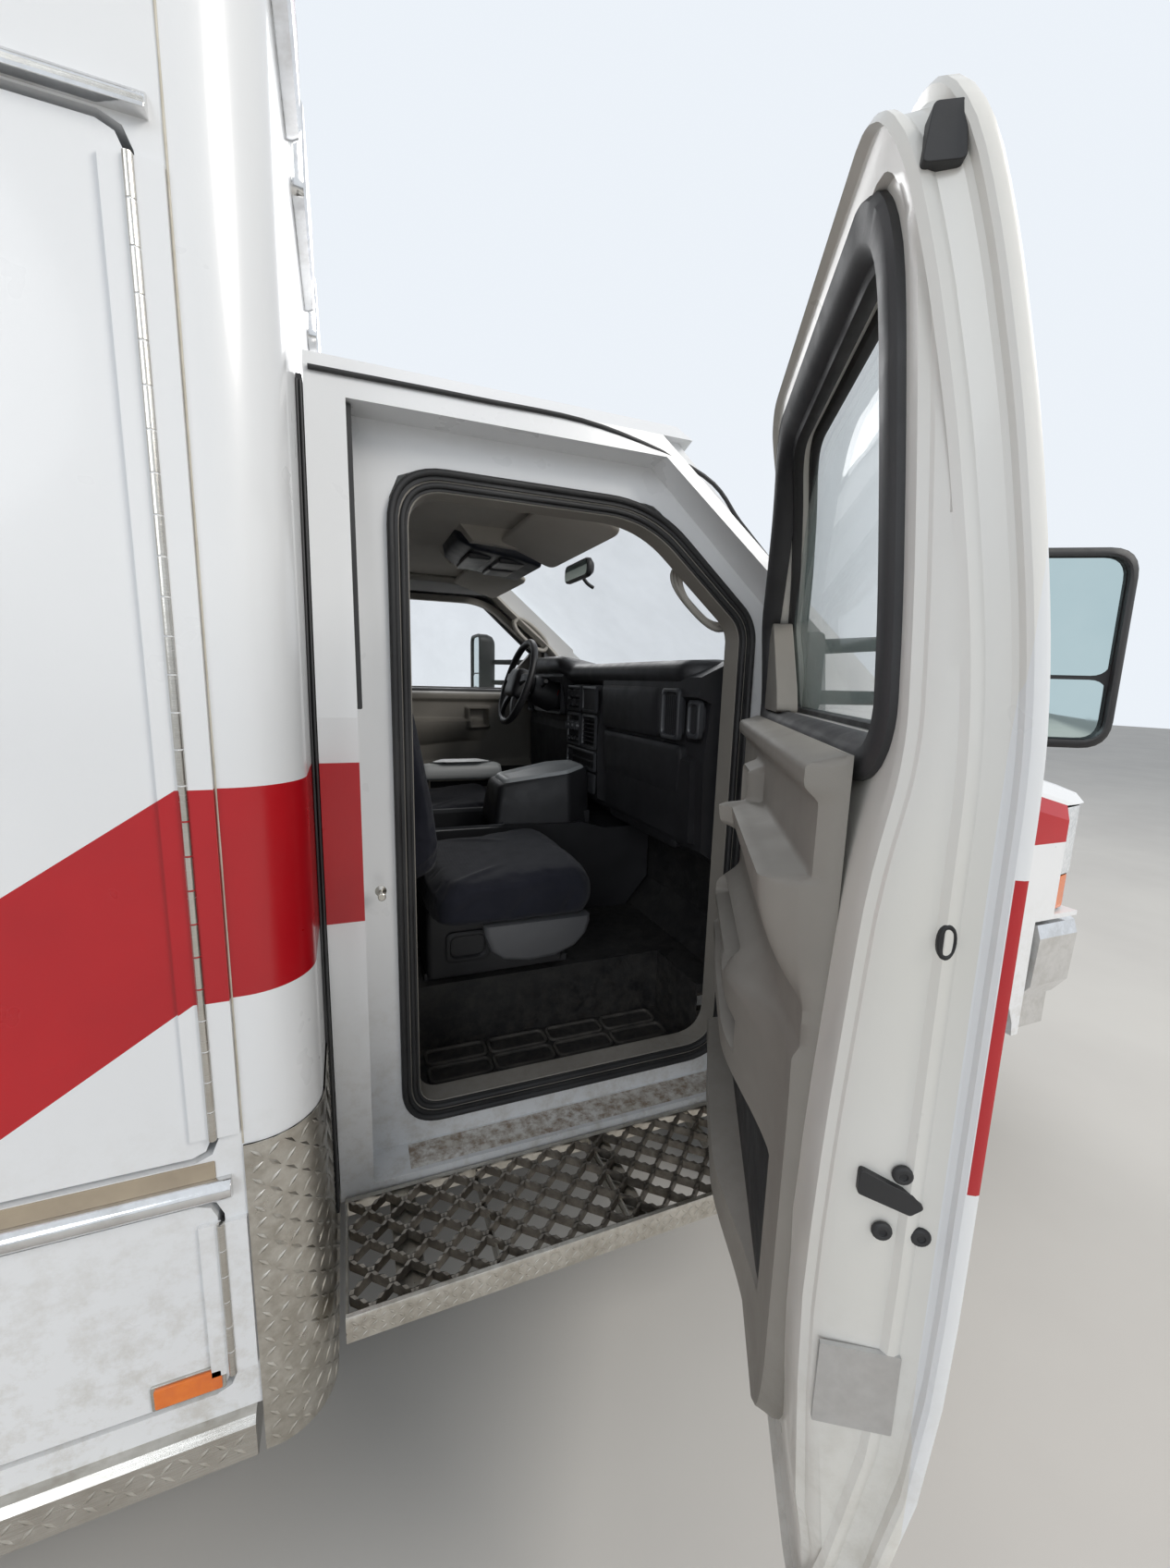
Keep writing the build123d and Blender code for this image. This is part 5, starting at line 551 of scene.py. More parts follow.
SILL_WORN = plain("sill_worn", (0.74, 0.73, 0.70), (0.60, 0.575, 0.52), scale=16.0, rough=(0.45, 0.75),
                  grain=(160.0, 0.5, 0.001), dirt=((0.22, 0.14, 0.08), 0.54, 0.68, 0.85))
CHROME = metal("bumper_chrome", (0.80, 0.80, 0.80), (0.72, 0.72, 0.72), (0.05, 0.16),
               dirt=((0.35, 0.32, 0.28), 0.35))
STAINLESS = metal("stainless", (0.66, 0.64, 0.60), (0.50, 0.48, 0.44), (0.14, 0.30), brushed=(0.4, 1.0, 14.0),
                  dirt=((0.30, 0.26, 0.20), 0.3))
TREAD = metal("tread_aluminium", (0.64, 0.62, 0.57), (0.47, 0.44, 0.39), (0.24, 0.48),
              dirt=((0.27, 0.24, 0.19), 0.45))
SHEET = metal("sheet_aluminium", (0.62, 0.62, 0.62), (0.55, 0.55, 0.55), (0.3, 0.5))
RIM_STEEL = metal("rim_steel", (0.62, 0.62, 0.62), (0.50, 0.50, 0.50), (0.3, 0.45),
                  dirt=((0.2, 0.17, 0.14), 0.5))
LAMINATE = plain("interior_panel", (0.70, 0.71, 0.70), (0.64, 0.65, 0.64), rough=(0.25, 0.4),
                 grain=(300.0, 0.1, 0.0003))
TYRE = plain("tyre_rubber", (0.014, 0.014, 0.014), (0.035, 0.033, 0.030), scale=7.0, rough=(0.6, 0.85),
             grain=(420.0, 0.35, 0.001), dirt=((0.12, 0.10, 0.08), 0.0, 0.5, 0.4))
CLEAR_GLASS = glazing("clear_glass", (0.50, 0.62, 0.60), 0.06)
SCREEN_GLASS = glazing("screen_glass", (0.62, 0.74, 0.70), 0.03)
TINTED_GLASS = glazing("tinted_glass", (0.03, 0.04, 0.045), 0.55)
MIRROR = mirror_finish("mirror_glass")
TAN = plain("tan_strip", (0.40, 0.33, 0.24), (0.33, 0.27, 0.20), scale=12.0, rough=(0.4, 0.6))
SEALANT = plain("sealant", (0.62, 0.58, 0.50), (0.52, 0.48, 0.40), scale=30.0, rough=(0.5, 0.7))
AMBER = plain("amber_lens", (0.85, 0.20, 0.01), (0.70, 0.14, 0.01), scale=20.0, rough=(0.12, 0.25),
              grain=(150.0, 0.5, 0.001), coat_weight=0.6)
RED_LENS = plain("red_lens", (0.50, 0.01, 0.01), (0.38, 0.008, 0.008), scale=20.0, rough=(0.12, 0.25),
                 grain=(150.0, 0.5, 0.001), coat_weight=0.6)
CLEAR_LENS = plain("clear_lens", (0.78, 0.80, 0.82), (0.62, 0.65, 0.68), scale=60.0, rough=(0.05, 0.15),
                   grain=(120.0, 0.8, 0.002), coat_weight=0.7)

NODE_FINISH = {
    "chassis_frame": BLACK_FRAME, "powertrain": CAST, "rear_axle": BLACK_FRAME, "suspension": BLACK_FRAME,
    "fuel_tank": BLACK_FRAME, "exhaust": EXHAUST, "knuckle_left": CAST, "knuckle_right": CAST,
    "cab_sides": WHITE_CAB, "cab_roof": WHITE_CAB, "front_fenders": WHITE_CAB, "hood": WHITE_CAB,
    "windshield": SCREEN_GLASS, "cab_floor": FLOOR_RUBBER, "grille": GREY_PLASTIC, "headlamps": CLEAR_LENS,
    "front_bumper": CHROME, "driver_door": WHITE_DOOR, "passenger_door": WHITE_OPEN,
    "driver_door_trim": TRIM, "passenger_door_trim": TRIM, "driver_door_glass": CLEAR_GLASS,
    "passenger_door_glass": CLEAR_GLASS, "driver_door_mirror": BLACK_RUBBER,
    "passenger_door_mirror": BLACK_RUBBER,
    "dashboard": DASH, "steering_wheel": DASH, "centre_console": DASH, "cab_seats": SEAT, "headliner": LINING,
    "running_boards": TREAD, "module_side_walls": WHITE, "module_end_walls": WHITE,
    "module_roof": WHITE_PLAIN,
    "module_floor": SHEET, "compartments": SHEET, "module_interior": LAMINATE, "module_trim": STAINLESS,
    "module_lamps": CLEAR_LENS, "rear_step": TREAD, "entry_door_glass": TINTED_GLASS,
    "rear_door_glass_left": TINTED_GLASS, "rear_door_glass_right": TINTED_GLASS,
}
for node, obj in frame["nodes"].items():
    finish = NODE_FINISH.get(node)
    if finish is None:
        finish = TYRE if "tyre" in node else RIM_STEEL if "rim" in node else WHITE
    if not obj.material_slots:
        obj.data.materials.append(finish)
    for slot in obj.material_slots:
        slot.material = finish


# Box details
def lozenge(centre, along, across, normal, long, wide, high):
    """Raised diamond of tread plate with a short ridge."""
    c, a, b, n = Vector(centre), Vector(along) * long / 2, Vector(across) * wide / 2, Vector(normal) * high
    points = [c - a, c - b, c + a, c + b, c - a * 0.45 + n, c + a * 0.45 + n]
    return points, [(0, 1, 4), (1, 2, 5, 4), (2, 3, 5), (3, 0, 4, 5)]


def tread(surface, u_span, v_span, pitch=0.023, long=0.024, wide=0.0075, high=0.0013):
    """Field of raised diamonds; surface(u, v) gives a point, the direction of u and the normal; v runs up."""
    shapes = []
    columns = max(1, round((u_span[1] - u_span[0]) / pitch))
    rows = max(1, round((v_span[1] - v_span[0]) / pitch))
    for row in range(rows):
        for column in range(columns):
            u = u_span[0] + (u_span[1] - u_span[0]) * (column + 0.5) / columns
            v = v_span[0] + (v_span[1] - v_span[0]) * (row + 0.5) / rows
            point, along, normal = surface(u, v)
            across = Vector(normal).cross(along)
            turn = math.radians(45 if (row + column) % 2 else -45)
            a = along * math.cos(turn) + across * math.sin(turn)
            b = across * math.cos(turn) - along * math.sin(turn)
            shapes.append(lozenge(point, a, b, normal, long, wide, high))
    return joined(*shapes)


def side_face(y, side):
    """Upright surface along the vehicle's side, for tread."""
    return lambda u, v: (Vector((u, y, v)), Vector((1, 0, 0)), Vector((0, side, 0)))


def corner_surface(side, skin):
    """Arc-length surface round a front corner of the box, skin above its plane, from the seam onward."""
    radius = CORNER_RADIUS + skin
    arc = radius * math.pi / 2
    flat = BOX_SEAM - CORNER_RADIUS

    def at(s, z):
        if s < flat:
            point = Vector((BOX_FRONT - BOX_SEAM + s, side * (BOX_HALF + skin), z))
            return point, Vector((1, 0, 0)), Vector((0, side, 0))
        if s < flat + arc:
            a = (s - flat) / radius
            normal = Vector((math.sin(a), side * math.cos(a), 0))
            centre = Vector((BOX_FRONT - CORNER_RADIUS, side * (BOX_HALF - CORNER_RADIUS), z))
            return centre + normal * radius, Vector((math.cos(a), -side * math.sin(a), 0)), normal
        left = s - flat - arc
        return (Vector((BOX_FRONT + skin, side * (BOX_HALF - CORNER_RADIUS - left), z)),
                Vector((0, -side, 0)), Vector((1, 0, 0)))
    return at, flat, arc


def corner_skin(side, skin, under, length, z0, z1, flip=False):
    """Smooth sheet round a corner between two heights."""
    at, flat, arc = corner_surface(side, skin)
    stops = [0.0] + [flat + arc * k / 16 for k in range(17)] + [flat + arc + length]
    outer = [at(s, 0)[0] for s in stops]
    inner = [at(s, 0)[0] - at(s, 0)[2] * under for s in reversed(stops)]
    outline = [(p.x, p.y) for p in outer + inner]
    if flip:
        outline = [(BOX_FRONT + BOX_REAR - x, y) for x, y in outline]
    return prism(outline, z0, z1, "z")


GUARD_LOW, GUARD_HIGH, GUARD_END = 0.293, 0.835, 0.660
RUB_LOW, RUB_OUT = 0.309, 0.024
SEAM_LOW, SEAM_HEIGHT = 0.838, 1.86
for name, side in SIDES:
    face = BOX_HALF - CORNER_RADIUS - GUARD_END
    sheet = corner_skin(side, 0.0034, 0.003, face, GUARD_LOW, GUARD_HIGH)
    at, flat, arc = corner_surface(side, 0.0034)
    marks = tread(at, (0.004, flat + arc + face - 0.004), (GUARD_LOW + 0.006, GUARD_HIGH - 0.006))
    make(f"corner_guard_{name}", joined(sheet, marks), TREAD, angle=25)
    for end, flip in (("front", False), ("rear", True)):
        low = GUARD_HIGH if end == "front" else SKIRT_Z
        make(f"corner_skin_{end}_{name}", corner_skin(side, 0.0004, 0.002, 0.002, low, 2.700, flip), WHITE,
             angle=60)
    for part, x0, x1 in (("front", 0.512, 2.398), ("rear", -1.556, -0.512)):
        y_face = side * (BOX_HALF + RUB_OUT)
        half = (SKIRT_Z - RUB_LOW) / 2
        ring = [(side * (BOX_HALF - 0.02 + (RUB_OUT + 0.02) * math.cos(a) ** 0.6),
                 RUB_LOW + half + half * math.sin(a))
                for a in (math.radians(-90 + 180 * k / 12) for k in range(1, 12))]
        buried = side * (BOX_HALF - 0.02)
        bar = prism([(buried, RUB_LOW)] + ring + [(buried, SKIRT_Z)], x0, x1, "x")
        marks = tread(side_face(y_face, side), (x0 + 0.01, x1 - 0.01), (RUB_LOW + 0.018, SKIRT_Z - 0.018))
        make(f"rub_rail_{part}_{name}", joined(bar, marks), TREAD, angle=30)
    bead = [(BOX_FRONT - BOX_SEAM, side * (BOX_HALF + 0.0006), SEAM_LOW + SEAM_HEIGHT * k / 30)
            for k in range(31)]
    make(f"seam_bead_{name}", tube(bead, [0.0012 + 0.0005 * random.random() for k in bead], 6), SEALANT)


def piano(radius, x, y, z0, z1, pitch=0.046):
    """Hinge barrel of short knuckles between two heights."""
    count = round((z1 - z0) / pitch)
    pitch = (z1 - z0) / count
    rings = []
    for k in range(count):
        z = z0 + k * pitch
        for step, r in ((0.0, 0.8), (0.0007, 0.8), (0.0012, 1.0), (pitch - 0.0012, 1.0),
                        (pitch - 0.0007, 0.8)):
            rings.append([(x + radius * r * math.cos(a), y + radius * r * math.sin(a), z + step)
                          for a in circle(12)])
    return lofted(rings)


for body, side, x0, x1, z0, z1, way in BAY_DOORS:
    x = x1 + DOOR_GAP / 2 if way > 0 else x0 - DOOR_GAP / 2
    make(f"{body}_piano", piano(BARREL_RADIUS, x, side * (BOX_HALF + HINGE_OUT), z0 + 0.028, z1 - 0.028),
         STAINLESS, body, angle=30)
    if body == "right_lower_door":
        continue
    lip = [(BOX_HALF - 0.001, z1 + 0.0115), (BOX_HALF + 0.0175, z1 + 0.0115), (BOX_HALF + 0.0175, z1 + 0.016),
           (BOX_HALF + 0.0125, z1 + 0.0185)]
    lip += [(BOX_HALF + 0.0125 * math.cos(a), z1 + 0.0185 + 0.017 * math.sin(a))
            for a in (math.radians(15 * k) for k in range(1, 7))]
    rail = prism([(side * y, z) for y, z in lip], x0 - 0.031, x1 + 0.025, "x")
    make(f"{body}_drip_rail", rail, CHROME, bevel=0.0006, angle=35)
for side, s in (("left", 1), ("right", -1)):
    shape = piano(BARREL_RADIUS, BOX_REAR - HINGE_OUT, s * 0.6265, 0.838, 2.268)
    make(f"rear_door_{side}_piano", shape, STAINLESS, f"rear_door_{side}", angle=30)

tan = prism(rect(1.745, 2.3715, 0.7925, 0.8195, 0.002, 2), -BOX_HALF - 0.0022, -BOX_HALF + 0.001, "y")
make("tan_strip", tan, TAN, bevel=0.0006)
half_round = [(-BOX_HALF - 0.0175 * math.cos(a), 0.776 + 0.0165 * math.sin(a))
              for a in (math.radians(-90 + 15 * k) for k in range(13))]
make("lower_rail", prism(half_round, 1.744, 2.391, "x"), CHROME, bevel=0.0005, angle=35)
frame_outline = rect(2.268, 2.3625, 0.437, 0.4785, 0.003, 3)
lens_outline = rect(2.2725, 2.358, 0.4415, 0.474, 0.003, 3)
make("reflector_frame", prism(frame_outline, -BOX_HALF - 0.0035, -BOX_HALF + 0.001, "y"), STAINLESS,
     "right_lower_door", bevel=0.001)
make("reflector_lens", prism(lens_outline, -BOX_HALF - 0.0065, -BOX_HALF - 0.001, "y"), AMBER,
     "right_lower_door", bevel=0.0012)


def lamp_shapes(centre, u, width, height, normal):
    """Bezel and lens of one rectangular lamp: rounded rings stepped along the normal."""
    centre, u, normal = Vector(centre), Vector(u), Vector(normal)
    up = Vector((0, 0, 1))

    def ring(grow, out, radius):
        w, h = width / 2 + grow, height / 2 + grow
        outline = rect(-w, w, -h, h, radius, 5)
        return [centre + u * a + up * b + normal * out for a, b in outline]
    bezel = [ring(0, 0.0, 0.035), ring(0, 0.010, 0.035), ring(-0.004, 0.021, 0.033),
             ring(-0.011, 0.0255, 0.030), ring(-0.017, 0.023, 0.026), ring(-0.019, 0.014, 0.024)]
    lens = [ring(-0.0188, 0.012, 0.024), ring(-0.020, 0.018, 0.024), ring(-0.028, 0.0235, 0.020),
            ring(-0.045, 0.0255, 0.014)]
    return lofted(bezel, cap=False), lofted(lens)


bezels, clear, red, amber = [], [], [], []
SIDE_LAMP_Z, REAR_LAMP_Z = 2.440, 2.480
CLEAR_LAMP_XS = (-0.760, 0.480, 1.620)
FRONT_LAMPS = ((-0.985, 0.290), (-0.540, 0.400), (0.0, 0.430), (0.540, 0.400), (0.985, 0.290))
for y, width in FRONT_LAMPS:
    rim, lens = lamp_shapes((BOX_FRONT, y, SIDE_LAMP_Z), (0, 1, 0), width, 0.180, (1, 0, 0))
    bezels.append(rim)
    (clear if y == 0 else red).append(lens)
for y in (-1.010, -0.400, 0.0, 0.400, 1.010):
    rim, lens = lamp_shapes((BOX_REAR, y, REAR_LAMP_Z), (0, -1, 0), 0.230, 0.180, (-1, 0, 0))
    bezels.append(rim)
    (amber if y == 0 else red).append(lens)
for y in (-0.930, 0.930):
    for z, lot in ((0.900, clear), (1.030, amber), (1.160, red)):
        rim, lens = lamp_shapes((BOX_REAR, y, z), (0, -1, 0), 0.160, 0.110, (-1, 0, 0))
        bezels.append(rim)
        lot.append(lens)
for side in (RIGHT, LEFT):
    for x in (-1.380, *CLEAR_LAMP_XS, 2.230):
        place = (x, side * BOX_HALF, SIDE_LAMP_Z)
        rim, lens = lamp_shapes(place, (-side, 0, 0), 0.230, 0.180, (0, side, 0))
        bezels.append(rim)
        (clear if x in CLEAR_LAMP_XS else red).append(lens)
make("lamp_bezels", joined(*bezels), CHROME, angle=35, replaces=("module_lamps",))
make("lamps_clear", joined(*clear), CLEAR_LENS, angle=35)
make("lamps_red", joined(*red), RED_LENS, angle=35)
make("lamps_amber", joined(*amber), AMBER, angle=35)


# Cab doors, in the left door's closed place
def along(table, z):
    """Straight-line value between the rows of a table of (height, value), lowest first."""
    if z <= table[0][0]:
        return table[0][1]
    for (z0, v0), (z1, v1) in zip(table, table[1:]):
        if z <= z1:
            return v0 + (v1 - v0) * (z - z0) / (z1 - z0)
    return table[-1][1]


def smooth(value, low, high):
    """Soft step from 0 at low to 1 at high."""
    t = min(1.0, max(0.0, (value - low) / (high - low)))
    return t * t * (3 - 2 * t)


def bump(x, low, high, edge):
    """Soft plateau between low and high with sides one edge wide."""
    return smooth(x, low, low + edge) * (1 - smooth(x, high - edge, high))


SKIN_ROWS = ((0.470, 0.935), (0.545, 0.956), (0.620, 0.974), (0.700, 0.988), (0.800, 0.997), (0.900, 1.0),
             (1.430, 1.0),
             (1.500, 0.995), (1.577, 0.984), (1.704, 0.960), (1.827, 0.929), (1.900, 0.903), (1.950, 0.878))
INNER_ROWS = ((0.480, 0.900), (0.562, 0.895), (0.662, 0.876), (0.902, 0.866), (1.090, 0.872), (1.323, 0.885),
              (1.449, 0.905), (1.577, 0.897), (1.707, 0.885), (1.827, 0.872), (1.950, 0.850))
DOOR_LOW, DOOR_HIGH, DOOR_DROP = 0.480, 1.950, 0.085
GLASS_LOW, GLASS_HIGH, GLASS_DROP = 1.450, 1.885, 0.170
GLASS_REAR, GLASS_FRONT = DOOR_REAR_X + 0.095, DOOR_FRONT_X - 0.110


def eased(table, z):
    """Table value smoothed over a short height."""
    return sum(along(table, z + d) for d in (-0.036, -0.018, 0.0, 0.018, 0.036)) / 5


def slanted(box, drop, radii, inset, least, steps):
    """Box (rear, front, low, top) cut off along the screen line, rounded and moved inward by an inset."""
    rear, front, low, top = box[0] + inset, box[1] - inset, box[2] + inset, box[3] - inset
    drop = drop + SLOPE_RUN * inset
    corners = [(rear, low), (front, low), (front, slope_z(front, drop)), (slope_x(top, drop), top),
               (rear, top)]
    return rounded(corners, [max(least, r - inset) for r in radii], steps)


def door_outline(inset):
    """Side outline of the door, moved inward by an inset."""
    return slanted((DOOR_REAR_X, DOOR_FRONT_X, DOOR_LOW, DOOR_HIGH), DOOR_DROP,
                   (0.075, 0.070, 0.090, 0.260, 0.080), inset, 0.004, 8)


def glass_outline(inset):
    """Side outline of the door's window, moved inward by an inset."""
    return slanted((GLASS_REAR, GLASS_FRONT, GLASS_LOW, GLASS_HIGH), GLASS_DROP,
                   (0.050, 0.030, 0.050, 0.180, 0.060), inset, 0.004, 8)


DOOR_EYE = Vector((3.02, 1.66))


def cast(outline, angle):
    """Point where a ray from the window's middle meets an outline."""
    ray = Vector((math.cos(angle), math.sin(angle)))
    for a, b in zip(outline, outline[1:] + outline[:1]):
        a, b = Vector(a) - DOOR_EYE, Vector(b) - DOOR_EYE
        edge = b - a
        turn = ray.x * edge.y - ray.y * edge.x
        if abs(turn) < 1e-12:
            continue
        far = (a.x * edge.y - a.y * edge.x) / turn
        share = (a.x * ray.y - a.y * ray.x) / turn
        if far > 0 and -1e-9 <= share <= 1 + 1e-9:
            return DOOR_EYE + ray * far
    return Vector(outline[0])


marks = [math.atan2(z - DOOR_EYE.y, x - DOOR_EYE.x) for x, z in door_outline(0.0) + glass_outline(0.0)]
DOOR_ANGLES = sorted(marks + [math.radians(3 * k - 180) for k in range(120)])
DOOR_ANGLES = [a for a, b in zip(DOOR_ANGLES, DOOR_ANGLES[1:] + [10]) if b - a > 0.004]


def door_ring(outline, depth):
    """Ring of points on an outline; depth gives the side position at a height."""
    ring = [cast(outline, a) for a in DOOR_ANGLES]
    return [Vector((p.x, depth(p.y), p.y)) for p in ring]


def between_rings(a, b, depth, count):
    """Rings that lead from one ring to another on a surface."""
    out = []
    for k in range(1, count):
        t = k / count
        ring = [p.lerp(q, t) for p, q in zip(a, b)]
        out.append([Vector((p.x, depth(p.z), p.z)) for p in ring])
    return out


def skin_y(z):
    """Side position of the door's skin at a height."""
    return eased(SKIN_ROWS, z)


def inner_y(z):
    """Side position of the door's inner panel at a height."""
    return eased(INNER_ROWS, z)


def door_shell():
    """Door skin, hem, shut face with its pressed ridge, inner panel and window frame."""
    glass_out = door_ring(glass_outline(-0.012), skin_y)
    hem = door_ring(door_outline(0.005), skin_y)
    rings = [door_ring(glass_outline(0.0), lambda z: skin_y(z) - 0.030),
             door_ring(glass_outline(-0.004), lambda z: skin_y(z) - 0.006)]
    rings += [glass_out] + between_rings(glass_out, hem, skin_y, 14) + [hem]
    # Inset and depth behind the skin of each line of the shut face
    for inset, depth in ((0.0015, 0.0012), (0.0, 0.005), (0.0, 0.013), (0.003, 0.017), (0.011, 0.018),
                         (0.014, 0.022), (0.016, 0.040), (0.013, 0.046), (0.013, 0.052), (0.018, 0.058)):
        rings.append(door_ring(door_outline(inset), lambda z, d=depth: skin_y(z) - d))
    for inset, out in ((0.020, 0.022), (0.026, 0.012), (0.030, 0.010), (0.034, 0.002), (0.044, 0.0)):
        rings.append(door_ring(door_outline(inset), lambda z, d=out: min(inner_y(z) + d, skin_y(z) - 0.050)))
    frame_in = door_ring(glass_outline(-0.030), inner_y)
    rings += between_rings(rings[-1], frame_in, inner_y, 8) + [frame_in]
    rings.append(door_ring(glass_outline(-0.004), lambda z: inner_y(z) + 0.006))
    rings.append(door_ring(glass_outline(0.0), lambda z: inner_y(z) + 0.014))
    return lofted(rings, loop=True)


def window_surround():
    """Dark moulding round the window on the inner side, wider at the sill."""
    rings = []
    for inset, out in ((-0.042, 0.001), (-0.042, -0.007), (-0.036, -0.012), (-0.012, -0.012),
                       (-0.002, -0.004), (0.004, 0.012), (0.004, 0.020)):
        rings.append(door_ring(glass_outline(inset), lambda z, d=out: inner_y(z) + d))
    return lofted(rings, cap=False)


def run_channel(inset, out, back):
    """Black rubber channel that the glass runs in."""
    rings = []
    for step, depth in ((inset, out), (inset + 0.008, out), (inset + 0.010, (out + back) / 2),
                        (inset + 0.008, back), (inset, back)):
        rings.append(door_ring(glass_outline(step), lambda z, d=depth: skin_y(z) - d))
    return lofted(rings, cap=False, loop=True)


TRIM_BACK, TRIM_X0, TRIM_X1, TRIM_Z0, TRIM_Z1 = 0.872, 2.690, 3.462, 0.560, 1.438
REST_Z = 1.300


def trim_edges(z):
    """Rear and front ends of the trim panel at a height."""
    low = max(0.0, 1 - (z - TRIM_Z0) / 0.16)
    rear = TRIM_X0 + 0.10 * (1 - math.sqrt(max(0.0, 1 - low * low))) * 0.9
    front = TRIM_X1 - 0.16 * max(0.0, 1 - (z - TRIM_Z0) / 0.10) ** 2 - 0.02 * (1 - smooth(z, 0.75, 1.30))
    return rear, front


# Map pockets: rear x, low z, rim z
POCKET_FRONT, TRIM_FACE = 3.436, TRIM_BACK + 0.004
POCKETS = ((2.775, 0.720, 0.925), (2.930, 0.960, 1.010), (3.040, 1.030, 1.075))


def pocket_shade_sheets():
    """Black sheets in the map pockets, a little above the bottom of each mouth: painted shade for the
    pockets' dark depth.
    """
    shapes = []
    for rear, low, rim in POCKETS:
        rows = ((0.004, 0.006), (0.004, 0.0215), (0.010, 0.0235))
        rings = stepped((rear, POCKET_FRONT, low, rim), rows, 0.016, 4, lambda x, z, d: (x, TRIM_FACE - d, z))
        shapes.append(lofted(rings))
    return joined(*shapes)


def trim_depth(x, z, edge):
    """How far the moulded panel stands in from its back, with edge the distance to its border."""
    level = 0.014 + 0.006 * smooth(z, 1.00, 1.35)
    # Sill roll
    level += 0.016 * bump(z, 1.385, 1.445, 0.022)
    # Arm rest: flat shelf on a pod that tapers to a point low at the rear
    reach = smooth(x, 2.69, 2.74) * (1 - smooth(x, 3.10, 3.22))
    foot = 1.165 + 0.035 * smooth(x, 2.70, 3.15)
    swell = max(0.0, min(1.0, (z - foot) / (REST_Z - foot)))
    pod = math.sin(swell * math.pi / 2) ** 0.8 if z <= REST_Z else 1 - smooth(z, REST_Z, REST_Z + 0.010)
    level += 0.050 * pod * reach
    # Pull cup ahead of the arm rest
    cup = bump(x, 3.105, 3.235, 0.016) * bump(z, 1.255, 1.372, 0.016)
    level += 0.026 * cup - 0.040 * bump(x, 3.125, 3.218, 0.012) * bump(z, 1.268, 1.360, 0.012)
    # Flowing crease under the arm rest
    crease = 1.120 - 0.25 * (x - 2.69) ** 1.2
    level += 0.008 * (1 - smooth(z, crease - 0.016, crease + 0.004)) * (1 - smooth(x, 3.20, 3.40))
    # One bulged shell low down, with the mouths of three map pockets
    level += 0.050 * smooth(x, 2.74, 3.02) * smooth(z, 0.575, 0.670) * (1 - smooth(z, 1.050, 1.110))
    for rear, low, rim in POCKETS:
        level -= 0.050 * bump(x, rear, POCKET_FRONT + 0.004, 0.010) * bump(z, low, rim, 0.010)
    border = smooth(edge, -0.001, 0.012)
    return max(0.001, level * border)


def trim_shell():
    """Moulded trim panel as a closed sheet over its outline."""
    rows, columns = 176, 128
    rings = []
    for k in range(rows + 1):
        z = TRIM_Z0 + (TRIM_Z1 - TRIM_Z0) * k / rows
        rear, front = trim_edges(z)
        face = []
        for i in range(columns + 1):
            x = rear + (front - rear) * i / columns
            edge = min(x - rear, front - x, TRIM_Z1 - z, (z - TRIM_Z0) * 1.2)
            face.append(Vector((x, TRIM_FACE - trim_depth(x, z, edge), z)))
        back = [Vector((front, TRIM_BACK + 0.010, z)), Vector((rear, TRIM_BACK + 0.010, z))]
        rings.append(face + back)
    return lofted(rings)


def mirror_head():
    """Mirror housing of rounded rings, hollowed for its glasses."""
    rows = ((0.010, 3.250), (0.004, 3.2515), (0.0, 3.256), (0.002, 3.300), (0.014, 3.330), (0.034, 3.344),
            (0.060, 3.349))
    rings = stepped((1.200, 1.450, 1.410, 1.745), rows, lambda inset: max(0.01, 0.048 - inset * 0.4), 6,
                    lambda a, b, x: (x, a, b))
    inner = rect(1.214, 1.436, 1.424, 1.731, 0.036, 6)
    lip = [[Vector((x, a, b)) for a, b in inner] for x in (3.262, 3.2515)]
    return lofted(lip + rings)


def mirror_glass(z0, z1, bulge):
    """Glass with an even swell toward the rear."""
    outline = rect(1.2155, 1.4345, z0, z1, 0.030, 6)
    middle = Vector((1.325, (z0 + z1) / 2))
    rings = []
    for k in range(5):
        t = 1 - k / 5
        x = 3.2605 - bulge * (1 - t * t)
        rings.append([Vector((x, middle.x + (a - middle.x) * t, middle.y + (b - middle.y) * t))
                      for a, b in outline])
    return lofted([[p + Vector((0.002, 0, 0)) for p in rings[0]]] + rings)


def mirror_arms():
    """Two arms that lead from the door to the housing."""
    shapes = []
    for z in (1.480, 1.590):
        path = spline([(3.520, 0.975, z), (3.470, 1.040, z + 0.002), (3.400, 1.130, z + 0.004),
                       (3.325, 1.235, z + 0.004)], 6)
        shapes.append(tube(path, [0.017 - 0.004 * k / (len(path) - 1) for k in range(len(path))], 14))
    foot_rows = ((-0.004, 0.975), (-0.004, 0.999), (0.0, 1.008), (0.010, 1.012))
    foot = stepped((3.470, 3.560, 1.452, 1.618), foot_rows, 0.02, 5, lambda x, z, y: (x, y, z))
    return joined(lofted(foot), *shapes)


def sail_panel():
    """Inner cover in the window's front corner."""
    outline = [(3.300, 1.452), (3.486, 1.452), (3.486, 1.610), (3.455, 1.640), (3.330, 1.500)]
    inner = [[Vector((x, y, z)) for x, z in rounded(outline, 0.012, 4)] for y in (0.895, 0.935)]
    return lofted(inner)


